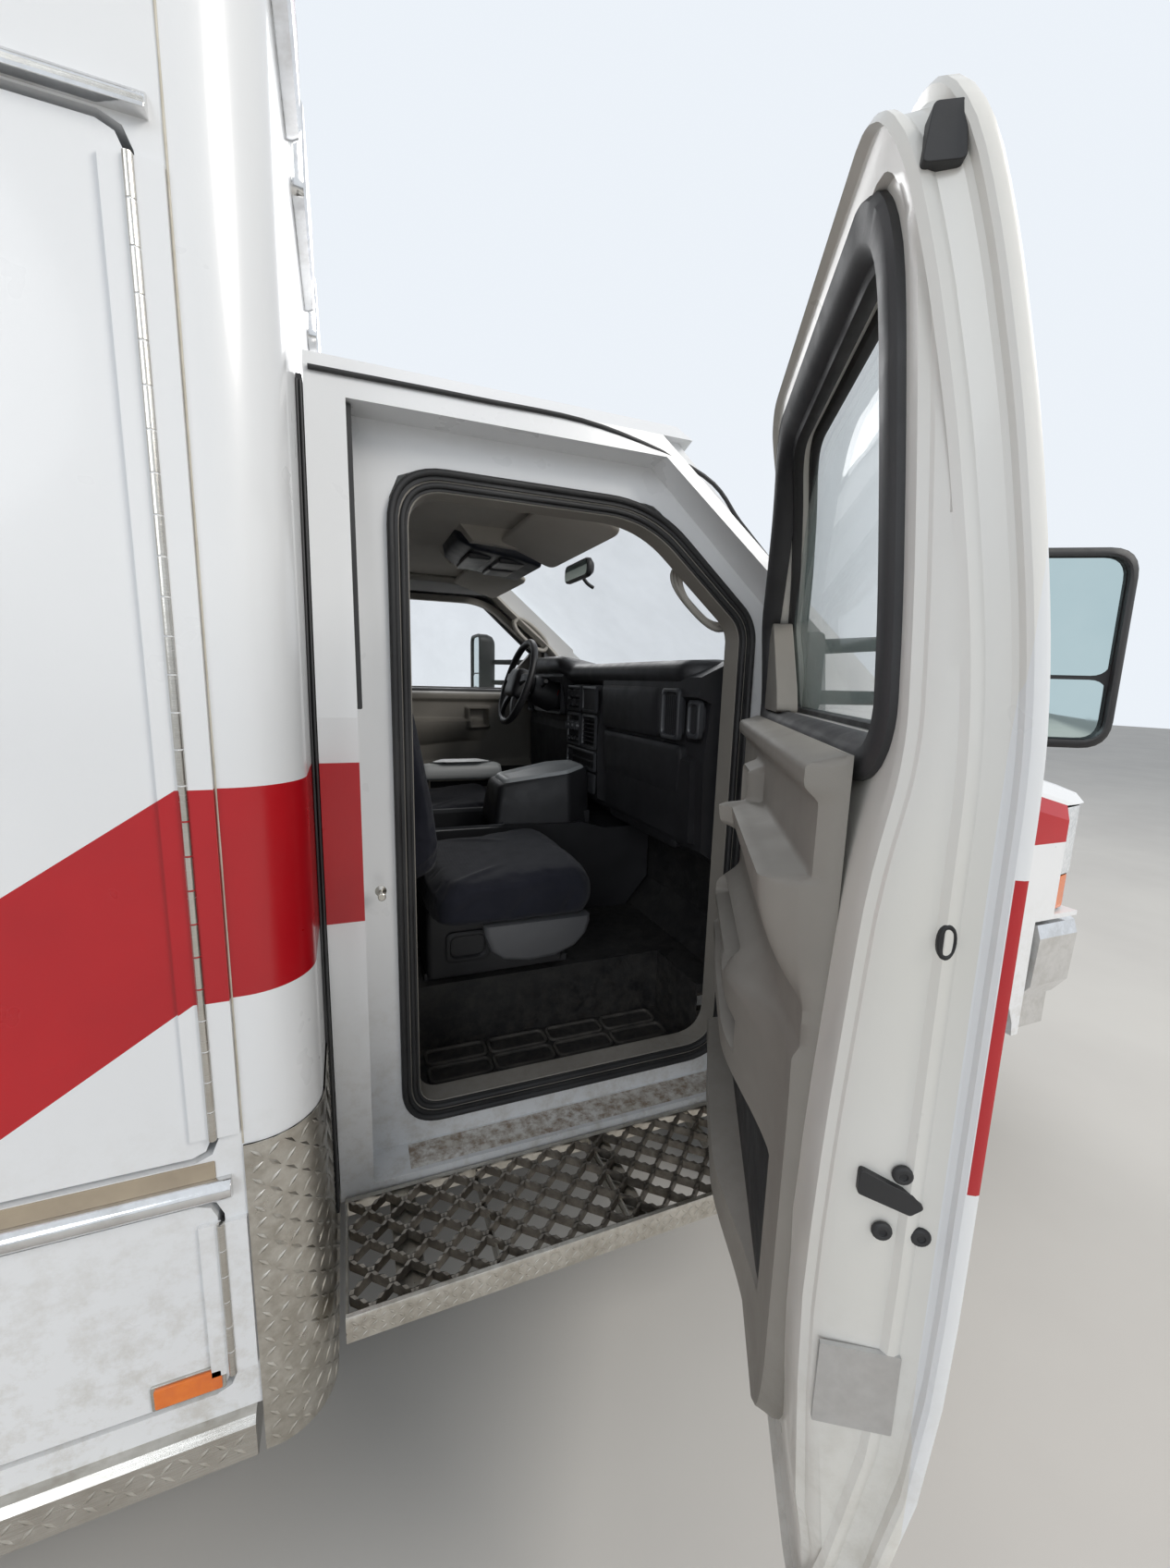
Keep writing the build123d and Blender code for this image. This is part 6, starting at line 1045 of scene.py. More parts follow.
def shut_hardware():
    """Latch, its bolts, plug, bare plate, buffers: shapes on the rear shut face, by finish."""
    x = DOOR_REAR_X + 0.0155
    black, bright = [], []
    claw = rounded([(0.902, 1.036), (0.950, 1.020), (0.962, 1.030), (0.950, 1.042), (0.925, 1.052),
                    (0.902, 1.062)], 0.004, 3)
    black.append(prism(claw, x - 0.0035, x + 0.004, "x"))
    for y, z in ((0.940, 1.060), (0.928, 0.998), (0.962, 0.998)):
        black.append(turned([(-0.001, 0.0095), (0.002, 0.0095), (0.004, 0.0075), (0.0042, 0.004),
                             (0.0022, 0.0035), (0.0022, 0.0001)], (x, y, z), (-1, 0, 0), 18))
    oval = [(0.950 + 0.008 * math.cos(a), 1.290 + 0.017 * math.sin(a)) for a in circle(24)]
    rings = [[Vector((x - out, 0.950 + (a - 0.950) * s, 1.290 + (b - 1.290) * s)) for a, b in oval]
             for out, s in ((-0.002, 1.0), (0.002, 1.0), (0.0035, 0.85), (0.002, 0.62), (0.002, 0.1))]
    black.append(lofted(rings))
    pad = rect(0.905, 0.925, 0.520, 0.548, 0.004, 3)
    black.append(prism(pad, x - 0.014, x + 0.006, "x"))
    plate = rect(0.884, 0.960, 0.768, 0.862, 0.0015, 2)
    bright.append(prism(plate, x - 0.0028, x + 0.002, "x"))
    return joined(*black), joined(*bright)


def door_cap():
    """Black cap at the top of the shut face."""
    return prism(rounded([(0.862, 1.868), (0.892, 1.868), (0.888, 1.905), (0.866, 1.905)], 0.004, 3),
                 DOOR_REAR_X + 0.006, DOOR_REAR_X + 0.022, "x")


def opened(shape):
    """Shape of the left door carried to the right side and swung out to where it stands."""
    hinge = Vector((DOOR_HINGE[0], -DOOR_HINGE[1], 0.0))
    turn = Matrix.Translation(hinge) @ Matrix.Rotation(DOOR_OPEN, 4, "Z") @ Matrix.Translation(-hinge)
    return moved(mirrored(shape), turn)


shut_black, shut_plate = shut_hardware()
for name, place, white in (("driver", joined, WHITE_DOOR), ("passenger", opened, WHITE_OPEN)):
    body = f"{name}_door"
    make(f"{body}_shell", place(door_shell()), white, body, angle=30, replaces=(body,))
    make(f"{body}_panel", place(trim_shell()), TRIM, body, angle=50,
         replaces=(f"{body}_trim",))
    # Black sheets in the pocket mouths: painted shade inside the map pockets
    make(f"{body}_pockets", place(pocket_shade_sheets()), BLACK_RUBBER, body, angle=40)
    make(f"{body}_surround", place(window_surround()), GREY_PLASTIC, body, angle=40)
    channel = joined(run_channel(0.0, 0.028, 0.044), run_channel(-0.002, 0.004, 0.016))
    make(f"{body}_run_channel", place(channel), BLACK_RUBBER, body, angle=40)
    make(f"{body}_sail", place(sail_panel()), TRIM, body, bevel=0.002)
    make(f"{body}_shut_black", place(shut_black), BLACK_RUBBER, body, bevel=0.0008)
    make(f"{body}_plate", place(shut_plate), SHEET, body)
    make(f"{body}_cap", place(door_cap()), BLACK_RUBBER, body, bevel=0.001)
    housing = joined(mirror_head(), mirror_arms())
    make(f"{body}_mirror_head", place(housing), BLACK_RUBBER, body, angle=35,
         replaces=(f"{body}_mirror",))
    make(f"{body}_mirror_flat", place(mirror_glass(1.535, 1.729, 0.0005)), MIRROR, body,
         angle=20)
    make(f"{body}_mirror_round", place(mirror_glass(1.4255, 1.528, 0.006)), MIRROR, body,
         angle=20)


# Doorway, cab and box joint details
def doorway(inset):
    """Outline of the cab's door opening, moved inward by an inset."""
    return slanted((2.657, 3.490, 0.523, 1.885), 0.138, (0.085, 0.120, 0.110, 0.300, 0.105), inset, 0.01, 10)


def seal_ring(side, inset, y, radius, lip):
    """Rubber tube round the door opening with a thin lip beneath it."""
    path = [Vector((x, side * y, z)) for x, z in doorway(inset)]
    return joined(tube(path, radius, 8, loop=True),
                  lofted([[Vector((x, side * (y + a), z)) for x, z in doorway(inset + b)]
                          for a, b in ((0.0, -0.001), (0.0, lip), (-0.006, lip), (-0.006, -0.001))],
                          cap=False, loop=True))


def leaned(shape, side):
    """Shape that leans in with the cab's upper side above the belt line."""
    points, faces = shape
    return [(x, y - side * max(0.0, z - BELT_Z) * UPPER_LEAN, z) for x, y, z in points], faces


for name, side in SIDES:
    seals = joined(seal_ring(side, 0.001, 0.8635, 0.0072, 0.013),
                   seal_ring(side, 0.022, 0.8560, 0.0062, 0.010))
    make(f"door_seal_{name}", seals, BLACK_RUBBER, angle=60)
    web = lofted([[Vector((x, side * y, z)) for x, z in doorway(inset)]
                  for inset, y in ((0.010, 0.8590), (0.019, 0.8570), (0.034, 0.852), (0.036, 0.800),
                                   (0.010, 0.800))], cap=False, loop=True)
    make(f"door_lining_{name}", web, TRIM, angle=50)
    y = side * SIDE_Y
    strip = prism(rect(2.5840, 2.5945, 1.444, 1.955, 0.003, 3), y - side * 0.075, y - side * 0.012, "y")
    make(f"strip_{name}", leaned(strip, side), BLACK_RUBBER, bevel=0.001)
    gasket = prism(rect(2.5105, 2.5205, 0.470, 1.985, 0.002, 2), side * 0.900, side * (SIDE_Y - 0.004), "y")
    make(f"gasket_{name}", leaned(gasket, side), BLACK_RUBBER, bevel=0.002)
    beads = [tube([(2.5125 + k * 0.0060, side * (SIDE_Y - 0.003), 0.480 + 0.95 * t / 12) for t in range(13)]
                  + [(2.5125 + k * 0.0060, side * (SIDE_Y - 0.003 - UPPER_LEAN * UPPER_HEIGHT * t / 6),
                      BELT_Z + UPPER_HEIGHT * t / 6) for t in range(1, 7)], 0.0022, 8) for k in (0, 1)]
    make(f"gasket_beads_{name}", joined(*beads), GREY_PLASTIC, angle=60)
    striker = turned([(0.0, 0.011), (0.004, 0.011), (0.006, 0.007), (0.007, 0.0045), (0.034, 0.0045),
                      (0.035, 0.0075), (0.040, 0.0075), (0.041, 0.006), (0.041, 0.0001)],
                     (2.619, side * 0.892, 1.080), (0, side, 0), 20)
    make(f"striker_{name}", striker, STAINLESS, angle=30)
    # Black tube along the roof edge under the drip moulding: painted shadow line under the moulding
    run = [(2.530, 0.925, 1.999), (2.80, 0.925, 2.000), (3.05, 0.923, 1.996)]
    run += [(slope_x(z) - 0.02, 0.921, z) for z in (1.94, 1.86, 1.78)]
    path = spline([(x, side * (y + 0.004), z - 0.004) for x, y, z in run], 6)
    make(f"gutter_shadow_line_{name}", tube(path, 0.0045, 8), BLACK_RUBBER, angle=60)
    # Worn sill plate between the seal and the running board
    sill = lofted([[Vector((a, side * b, z)) for a, b in ((x0, y0), (x1, y0), (x1, y1), (x0, y1))]
                   for z, x0, x1, y0, y1 in ((0.4722, 2.66, 3.47, 0.864, 0.936),
                                             (0.4737, 2.67, 3.46, 0.870, 0.930))])
    make(f"sill_wear_{name}", sill, SILL_WORN, bevel=0.0005)


# Running boards: tread sheet fascia, expanded metal, brackets
BOARD_X0, BOARD_X1, BOARD_Y0, BOARD_Y1, BOARD_Z = 2.530, 3.588, 0.952, 1.200, 0.457
FASCIA_LOW = BOARD_Z - 0.048
STRAND_PITCH, MESH_LENGTH, STRAND, STRAND_DEPTH = 0.0345, 0.0620, 0.0052, 0.0170


def expanded_sheet(side):
    """Expanded metal: toothed strands that zigzag across the board and meet to leave long diamonds."""
    shapes = []
    steps = 6
    width = BOARD_Y1 - BOARD_Y0 - 0.016
    halves = round(width / (MESH_LENGTH / 2))
    half = width / halves
    reach = STRAND_PITCH / 2 - STRAND / 2
    count = int((BOARD_X1 - BOARD_X0 - 0.012) / STRAND_PITCH)
    for strand in range(count):
        x0 = BOARD_X0 + 0.008 + STRAND_PITCH * (strand + 0.5)
        sections = []
        for k in range(halves * steps + 1):
            leg, part = divmod(k, steps)
            part = max(0.0, min(1.0, (part / steps - 0.12) / 0.76))
            sway = (1 if (leg + strand) % 2 else -1) * (1 - 2 * part)
            x = x0 + reach * sway
            y = BOARD_Y0 + 0.008 + half * k / steps
            top = BOARD_Z + (0.0030 if k % 2 else -0.0010)
            lean = 0.0016 * sway
            sections.append([Vector((x - STRAND, side * y, BOARD_Z - STRAND_DEPTH)),
                             Vector((x + STRAND, side * y, BOARD_Z - STRAND_DEPTH)),
                             Vector((x + STRAND * 0.7 + lean, side * y, top)),
                             Vector((x - STRAND * 0.7 + lean, side * y, top))])
        shapes.append(lofted(sections))
    return joined(*shapes)


def board_tray(side):
    """Folded sheet: outer fascia with a rolled top edge, inner flange, ends and cross ribs."""
    section = [(BOARD_Y1 - 0.012, BOARD_Z - 0.002), (BOARD_Y1 - 0.008, BOARD_Z + 0.0015),
               (BOARD_Y1 - 0.002, BOARD_Z), (BOARD_Y1, BOARD_Z - 0.004),
               (BOARD_Y1, FASCIA_LOW), (BOARD_Y1 - 0.002, FASCIA_LOW), (BOARD_Y1 - 0.003, BOARD_Z - 0.008),
               (BOARD_Y1 - 0.012, BOARD_Z - 0.006)]
    inner = [(BOARD_Y0, BOARD_Z), (BOARD_Y0 + 0.010, BOARD_Z), (BOARD_Y0 + 0.010, BOARD_Z - 0.004),
             (BOARD_Y0 + 0.003, BOARD_Z - 0.006), (BOARD_Y0 + 0.003, FASCIA_LOW + 0.01),
             (BOARD_Y0, FASCIA_LOW + 0.01)]
    shapes = [prism([(side * y, z) for y, z in s], BOARD_X0, BOARD_X1, "x") for s in (section, inner)]
    for x in (BOARD_X0, BOARD_X1 - 0.004):
        shapes.append(slab(x, x + 0.004, side * (BOARD_Y0 + 0.001), side * (BOARD_Y1 - 0.001),
                           FASCIA_LOW + 0.002, BOARD_Z - 0.001))
    for k in range(1, 4):
        x = BOARD_X0 + (BOARD_X1 - BOARD_X0) * k / 4
        shapes.append(slab(x - 0.002, x + 0.002, side * (BOARD_Y0 + 0.002), side * (BOARD_Y1 - 0.002),
                           FASCIA_LOW + 0.006, BOARD_Z - 0.007))
    for x in (BOARD_X0 + 0.110, BOARD_X0 + 0.550):
        shapes.append(slab(x - 0.025, x + 0.025, side * 0.465, side * (BOARD_Y1 - 0.006), BOARD_Z - 0.050,
                           BOARD_Z - 0.022))
        shapes.append(slab(x - 0.025, x + 0.025, side * 0.465, side * 0.485, BOARD_Z - 0.050, 0.560))
    return joined(*shapes)


boards = []
for side in (RIGHT, LEFT):
    y = side * (BOARD_Y1 + 0.0004)
    face = tread(side_face(y, side), (BOARD_X0 + 0.006, BOARD_X1 - 0.006),
                 (FASCIA_LOW + 0.003, BOARD_Z - 0.007), pitch=0.015, long=0.016, wide=0.005, high=0.0009)
    boards += [board_tray(side), face]
make("board_trays", joined(*boards), TREAD, angle=30, replaces=("running_boards",))
make("board_gratings", joined(*(expanded_sheet(s) for s in (RIGHT, LEFT))), GRATING,
     angle=30)


# Cab interior
def panel(outline, x, normal_depth, radius=0.0, steps=4):
    """Flat panel facing the rear: outline of (y, z) pushed forward from x."""
    shape = rounded(outline, radius, steps) if radius else outline
    return prism(shape, x, x + normal_depth, "x")


def soft_box(x0, x1, y0, y1, z0, z1, radius=0.02, crown=0.0):
    """Block with rounded upright edges and softened top and bottom."""
    rings = []
    inset_rows = ((z0, radius * 0.6), (z0 + radius * 0.3, radius * 0.15), (z0 + radius, 0.0),
                  (z1 - radius, 0.0), (z1 - radius * 0.3, radius * 0.15), (z1, radius * 0.6),
                  (z1 + crown * 0.7, radius * 2.0), (z1 + crown, radius * 3.2))
    for z, inset in inset_rows if crown else inset_rows[:6]:
        outline = rect(x0 + inset, x1 - inset, y0 + inset, y1 - inset, radius, 5)
        rings.append([Vector((x, y, z)) for x, y in outline])
    return lofted(rings)


DASH_FACE = 3.430


def vent(y0, y1, z0, z1, x, upright=True, blades=7):
    """Framed air outlet: rounded frame and blades; returns frame and blades."""
    rows = ((0.0, 0.006), (0.0, -0.006), (0.003, -0.009), (0.009, -0.009), (0.012, -0.005), (0.012, 0.020))
    rings = stepped((y0, y1, z0, z1), rows, 0.016, 5, lambda a, b, d: (x + d, a, b))
    shapes = []
    for k in range(blades):
        t = (k + 1) / (blades + 1)
        if upright:
            y = y0 + 0.010 + (y1 - y0 - 0.020) * t
            shapes.append(slab(x - 0.003, x + 0.016, y - 0.0016, y + 0.0016, z0 + 0.010, z1 - 0.010))
        else:
            z = z0 + 0.010 + (z1 - z0 - 0.020) * t
            shapes.append(slab(x - 0.003, x + 0.016, y0 + 0.010, y1 - 0.010, z - 0.0016, z + 0.0016))
    return lofted(rings, cap=False), joined(*shapes)


def dash_pad():
    """Long padded top with a rolled rear edge, hooded over the dials."""
    rings = []
    for k in range(61):
        y = -0.788 + 1.576 * k / 60
        hood = smooth(y, 0.150, 0.230) * (1 - smooth(y, 0.610, 0.680))
        shelf = 1 - smooth(abs(y), 0.70, 0.79)
        edge_x = DASH_FACE - 0.036 - 0.030 * hood + 0.14 * (1 - shelf)
        top = 1.566 + 0.036 * hood - 0.012 * (1 - shelf)
        section = [(edge_x + 0.030, top - 0.075), (edge_x + 0.006, top - 0.060),
                   (edge_x - 0.004, top - 0.036), (edge_x + 0.002, top - 0.014),
                   (edge_x + 0.022, top), (edge_x + 0.10, top + 0.004 - 0.016 * hood), (edge_x + 0.22, 1.562),
                   (3.80, 1.45), (3.80, 1.40)]
        rings.append([Vector((x, y, z)) for x, z in section])
    return lofted(rings)


def glove_front():
    """Passenger side: padded brow over a lid with a shadow gap, and a knee panel under it."""
    shapes = []
    for z0, z1, x_low, x_high, y0, y1 in ((1.352, 1.492, 3.398, 3.392, -0.585, -0.172),
                                          (1.190, 1.338, 3.410, 3.400, -0.700, -0.172),
                                          (1.030, 1.178, 3.440, 3.412, -0.640, -0.172)):
        rows = ((0.0, 0.030), (0.0, 0.004), (0.004, 0.0), (0.016, -0.003), (0.05, -0.004))
        rings = stepped((y0, y1, z0, z1), rows, 0.022, 5,
                        lambda a, b, d: (x_low + (x_high - x_low) * (b - z0) / (z1 - z0) + d, a, b))
        shapes.append(lofted(rings))
    return joined(*shapes)


def stack_face():
    """Centre stack: raised bezel with openings' frames, rockers, knobs, slats and a drawer."""
    grey, dark = [], []
    x = 3.388
    frame_rows = ((-0.146, -0.010, 1.392, 1.486), (0.008, 0.146, 1.392, 1.486),
                  (-0.146, -0.010, 1.262, 1.384), (0.008, 0.146, 1.262, 1.384),
                  (-0.146, 0.146, 1.182, 1.254), (-0.146, 0.146, 1.102, 1.174))
    frame_steps = ((0.0, 0.002), (0.0, -0.004), (0.003, -0.006), (0.009, -0.006), (0.011, 0.000))
    for y0, y1, z0, z1 in frame_rows:
        rings = stepped((y0, y1, z0, z1), frame_steps, 0.010, 4, lambda a, b, d: (x + d, a, b))
        grey.append(lofted(rings, cap=False))
    # Rockers beside each other, then knobs beneath them
    for k in range(3):
        y = 0.030 + 0.046 * k
        for j in range(2):
            z = 1.422 + 0.034 * j
            dark.append(soft_rocker(x - 0.004, y, z, 0.036, 0.026))
    for k in range(3):
        y = 0.030 + 0.046 * k
        grey.append(turned([(0.016, 0.019), (0.004, 0.019), (0.002, 0.017), (-0.016, 0.015), (-0.018, 0.013),
                            (-0.018, 0.0005)], (x, y, 1.335), (1, 0, 0), 24))
        grey.append(slab(x - 0.0215, x - 0.017, y - 0.002, y + 0.002, 1.323, 1.347))
        dark.append(soft_rocker(x - 0.003, y, 1.286, 0.034, 0.016))
    for k in range(7):
        z = 1.274 + 0.0155 * k
        dark.append(slab(x - 0.003, x + 0.016, -0.138, -0.018, z - 0.002, z + 0.002))
    dark.append(slab(x - 0.002, x + 0.010, -0.136, -0.020, 1.404, 1.474))
    dark.append(slab(x - 0.004, x + 0.002, -0.134, 0.134, 1.214, 1.221))
    grey.append(panel([(-0.128, 1.112), (0.128, 1.112), (0.128, 1.164), (-0.128, 1.164)], x - 0.003, 0.012,
                      0.008))
    grey.append(slab(x - 0.008, x - 0.002, -0.030, 0.030, 1.153, 1.160))
    return joined(*grey), joined(*dark)


def soft_rocker(x, y, z, wide, high):
    """Rocker key with a dished face."""
    box = (y - wide / 2, y + wide / 2, z - high / 2, z + high / 2)
    rows = ((0.0, 0.012), (0.0, -0.002), (0.002, -0.004), (0.006, -0.003))
    return lofted(stepped(box, rows, 0.004, 3, lambda a, b, d: (x + d + (0.002 if b > z else -0.001), a, b)))


stack_grey, stack_dark = stack_face()
make("dash_pad", dash_pad(), DASH, angle=50)
make("dash_lids", glove_front(), DASH, angle=40)
make("stack_bezels", stack_grey, DASH_TRIM, angle=40)
make("stack_keys", stack_dark, DASH, bevel=0.0006)
frames, blades = [], []
for y0, y1, z0, z1, x in ((-0.700, -0.600, 1.352, 1.490, 3.398), (-0.782, -0.722, 1.362, 1.462, 3.410),
                          (0.700, 0.780, 1.352, 1.470, 3.412)):
    rim, slats = vent(y0, y1, z0, z1, x)
    frames.append(rim)
    blades.append(slats)
make("vent_frames", joined(*frames), DASH_TRIM, angle=40)
make("vent_blades", joined(*blades), DASH, bevel=0.0005)


# Instrument cluster: bezel, five dials with blank faces, rings and pointers
def cluster():
    """Bezel, dials with blank faces and needles of the instrument cluster."""
    rows = ((0.0, 0.010), (0.0, -0.004), (0.004, -0.008), (0.012, -0.006), (0.020, 0.014))
    rings = stepped((0.226, 0.614, 1.364, 1.510), rows, 0.030, 6, lambda a, b, d: (3.392 + d, a, b))
    dials, needles = [], []
    for y, z, r in ((0.350, 1.436, 0.050), (0.490, 1.436, 0.050), (0.270, 1.465, 0.024),
                    (0.270, 1.408, 0.024), (0.572, 1.465, 0.024), (0.572, 1.408, 0.024)):
        dials.append(turned([(0.0, r), (-0.006, r), (-0.008, r * 0.96), (-0.006, r * 0.9), (-0.001, r * 0.9),
                             (-0.001, 0.0005)], (3.412, y, z), (1, 0, 0), 32))
        needles.append(moved(slab(-0.0008, 0.0008, -0.0012, 0.0012, -0.006, r * 0.72),
                             Matrix.Translation((3.4085, y, z)) @ Matrix.Rotation(math.radians(40), 4, "X")))
    return lofted(rings, cap=False), joined(*dials), joined(*needles)


bezel, dials, needles = cluster()
make("cluster_bezel", bezel, DASH_TRIM, angle=40)
make("cluster_dials", dials, DASH, angle=30)
make("cluster_needles", needles, RED_LENS)


# Steering wheel with a padded hub and spokes; column shroud and stalks
def on_wheel(along_axis, across, up):
    """Point in the wheel's own frame."""
    axis = Vector((math.cos(WHEEL_TILT), 0, -math.sin(WHEEL_TILT)))
    high = Vector((math.sin(WHEEL_TILT), 0, math.cos(WHEEL_TILT)))
    return WHEEL_CENTRE + axis * along_axis + Vector((0, 1, 0)) * across + high * up


rim_path = [on_wheel(0.0, WHEEL_RADIUS * math.cos(a), WHEEL_RADIUS * math.sin(a)) for a in circle(48)]
rim_size = [0.0135 + 0.0012 * (1 if k % 12 in (4, 5, 6, 7, 8) else 0) for k in range(48)]
hub_rings = []
for depth, grow in ((0.040, 0.9), (0.020, 1.0), (-0.006, 1.0), (-0.020, 0.92), (-0.028, 0.72),
                    (-0.030, 0.40)):
    outline = rounded([(-0.082 * grow, -0.070 * grow), (0.082 * grow, -0.070 * grow),
                       (0.070 * grow, 0.058 * grow), (-0.070 * grow, 0.058 * grow)], 0.030 * grow, 6)
    hub_rings.append([on_wheel(depth, a, b) for a, b in outline])
spokes = []
for a0, b0, a1, b1, wide in ((-0.070, 0.010, -0.168, 0.020, 0.022), (0.070, 0.010, 0.168, 0.020, 0.022),
                             (-0.040, -0.060, -0.090, -0.150, 0.017), (0.040, -0.060, 0.090, -0.150, 0.017)):
    start, end = Vector((a0, b0)), Vector((a1, b1))
    across = Vector((-(end - start).y, (end - start).x)).normalized()
    rings = []
    for t, depth, share in ((0.0, -0.004, 1.25), (0.3, -0.008, 1.0), (0.7, -0.006, 0.85), (1.0, 0.0, 1.0)):
        p = start.lerp(end, t)
        rings.append([on_wheel(depth + d, p.x + across.x * w * wide * share,
                               p.y + across.y * w * wide * share)
                      for w, d in ((-1, 0.002), (-0.7, -0.007), (0.7, -0.007), (1, 0.002), (0.7, 0.009),
                                   (-0.7, 0.009))])
    spokes.append(lofted(rings))
shaft = tube([on_wheel(0.02, 0, 0), on_wheel(0.115, 0, 0)], 0.021, 16)
make("wheel_rim_round", joined(tube(rim_path, rim_size, 14, loop=True), lofted(hub_rings), shaft, *spokes),
     DASH, "steering_wheel", angle=45, replaces=("steering_wheel",))
shroud = [[on_wheel(depth, 0.062 * grow * math.cos(a), 0.058 * grow * math.sin(a) - 0.004)
           for a in circle(28)]
          for depth, grow in ((0.060, 0.80), (0.064, 0.98), (0.075, 1.06), (0.140, 1.20), (0.230, 1.32))]
stalks = [tube(spline([on_wheel(0.095, s * 0.050, 0.012), on_wheel(0.085, s * 0.110, 0.020),
                       on_wheel(0.070, s * 0.165, 0.030)], 6), [0.0055] * 9 + [0.0085] * 4, 12)
          for s in (1, -1)]
make("column_shroud", joined(lofted(shroud), *stalks), DASH, angle=40)


# Console top with its tray rim, padded arm rest beside the driver's seat
def kite_top(lift):
    """Light lid over the engine cover with a recess between raised rims."""
    outline = [(3.075, -0.080), (3.290, -0.125), (3.372, -0.070), (3.372, 0.070), (3.290, 0.125),
               (3.075, 0.080)]
    middle = Vector((3.22, 0.0))
    rings = []
    for inset, z in ((-0.004, 1.018), (0.0, 1.030), (0.006, 1.036), (0.016, 1.036), (0.024, 1.030),
                     (0.036, 1.0285)):
        ring = rounded([tuple(middle + (Vector(p) - middle) * (1 - inset / 0.13)) for p in outline], 0.02, 4)
        rings.append([Vector((a, b, z + lift + 0.16 * (a - 3.075))) for a, b in ring])
    return lofted(rings)


def cover_riser(lift):
    """Raised middle of the engine cover, drawn in toward the lid."""
    rings = []
    for z, grow in ((0.998, 0.030), (1.060, 0.022), (1.012 + lift, 0.010), (1.024 + lift, 0.0)):
        outline = [(3.060 - grow, -0.086 - grow), (3.290, -0.130 - grow), (3.384, -0.080 - grow),
                   (3.384, 0.080 + grow), (3.290, 0.130 + grow), (3.060 - grow, 0.086 + grow)]
        share = (z - 0.998) / (0.026 + lift)
        rings.append([Vector((a, b, z + share * 0.16 * (a - 3.075))) for a, b in rounded(outline, 0.03, 5)])
    return lofted(rings)


LID_LIFT = 0.120
make("cover_riser", cover_riser(LID_LIFT), DASH, angle=50)
make("console_lid", kite_top(LID_LIFT), LIGHT_TRIM, angle=40)
tray_rows = ((0.0, 1.008), (0.0, 1.013), (0.004, 1.016), (0.010, 1.013), (0.011, 1.000))
tray_rim = stepped((2.790, 3.062, -0.150, 0.150), tray_rows, 0.018, 5, lambda a, b, z: (a, b, z))
make("console_tray_rim", lofted(tray_rim, cap=False), DASH_TRIM, angle=40)
rest = soft_box(2.820, 3.130, 0.176, 0.238, 1.118, 1.178, 0.024, 0.012)
post = soft_box(2.800, 2.850, 0.190, 0.226, 1.040, 1.150, 0.010)
make("arm_rest_pad", rest, LIGHT_TRIM, angle=60)
make("arm_rest_post", post, DASH, angle=60)


# Roof: visors, overhead console, mirror on the screen, pillar trims, grab handles and head lining
def visor(corners, thick):
    """Soft flat pad on four corners (x, y, z)."""
    a, b, c, d = (Vector(p) for p in corners)
    up = (b - a).cross(d - a).normalized()
    if up.z < 0:
        up = -up
    outline = rect(0, 1, 0, 1, 0.10, 5)
    rings = []
    for out, shrink in ((-1.0, 0.95), (-0.6, 0.99), (0.0, 1.0), (0.6, 0.99), (1.0, 0.95)):
        ring = []
        for u, v in outline:
            u, v = 0.5 + (u - 0.5) * shrink, 0.5 + (v - 0.5) * shrink
            p = a.lerp(b, u).lerp(d.lerp(c, u), v)
            ring.append(p + up * out * thick / 2)
        rings.append(ring)
    return lofted(rings)


for name, y0, y1 in (("passenger", -0.700, -0.150), ("driver", 0.150, 0.700)):
    shape = visor([(3.030, y0, 1.925), (3.030, y1, 1.925), (3.215, y1 * 0.985, 1.868),
                   (3.215, y0 * 0.985, 1.868)], 0.020)
    make(f"visor_{name}", shape, LINING, angle=60)
overhead = []
for x, half, low in ((2.900, 0.110, 1.945), (2.912, 0.150, 1.918), (2.960, 0.172, 1.893),
                     (3.080, 0.180, 1.878), (3.170, 0.165, 1.862), (3.186, 0.120, 1.880)):
    across = rounded([(-half, low), (half, low), (half * 1.12, 1.957), (-half * 1.12, 1.957)], 0.022, 5)
    overhead.append([Vector((x, y, z)) for y, z in across])
make("overhead_console", lofted(overhead), NAVY_PLASTIC, angle=45)
PAD_STEPS = ((0.0, 0.0), (0.0, -0.010), (0.003, -0.013), (0.012, -0.0135))
pads = [lofted(stepped(box, PAD_STEPS, 0.010, 4, lambda x, y, d, top=top: (x, y, top + d)))
        for box, top in (((2.945, 3.020, -0.110, 0.110), 1.892), ((3.040, 3.130, -0.130, -0.015), 1.882),
                         ((3.040, 3.130, 0.015, 0.130), 1.882))]
make("overhead_pads", joined(*pads), DASH_TRIM, angle=45)
glass_stem = tube(spline([(3.420, 0.0, 1.838), (3.395, 0.0, 1.852), (3.372, 0.0, 1.878)], 6), 0.0065, 12)
back_rows = ((0.002, 3.350), (0.0, 3.353), (0.0, 3.365), (0.012, 3.378), (0.026, 3.382))
back = lofted(stepped((-0.118, 0.118, 1.858, 1.922), back_rows, 0.028, 6, lambda y, z, x: (x, y, z)))
make("screen_mirror", joined(glass_stem, back), DASH, angle=45)
face = prism(rect(-0.110, 0.110, 1.866, 1.914, 0.022, 6), 3.3485, 3.351, "x")
make("screen_mirror_glass", face, MIRROR)
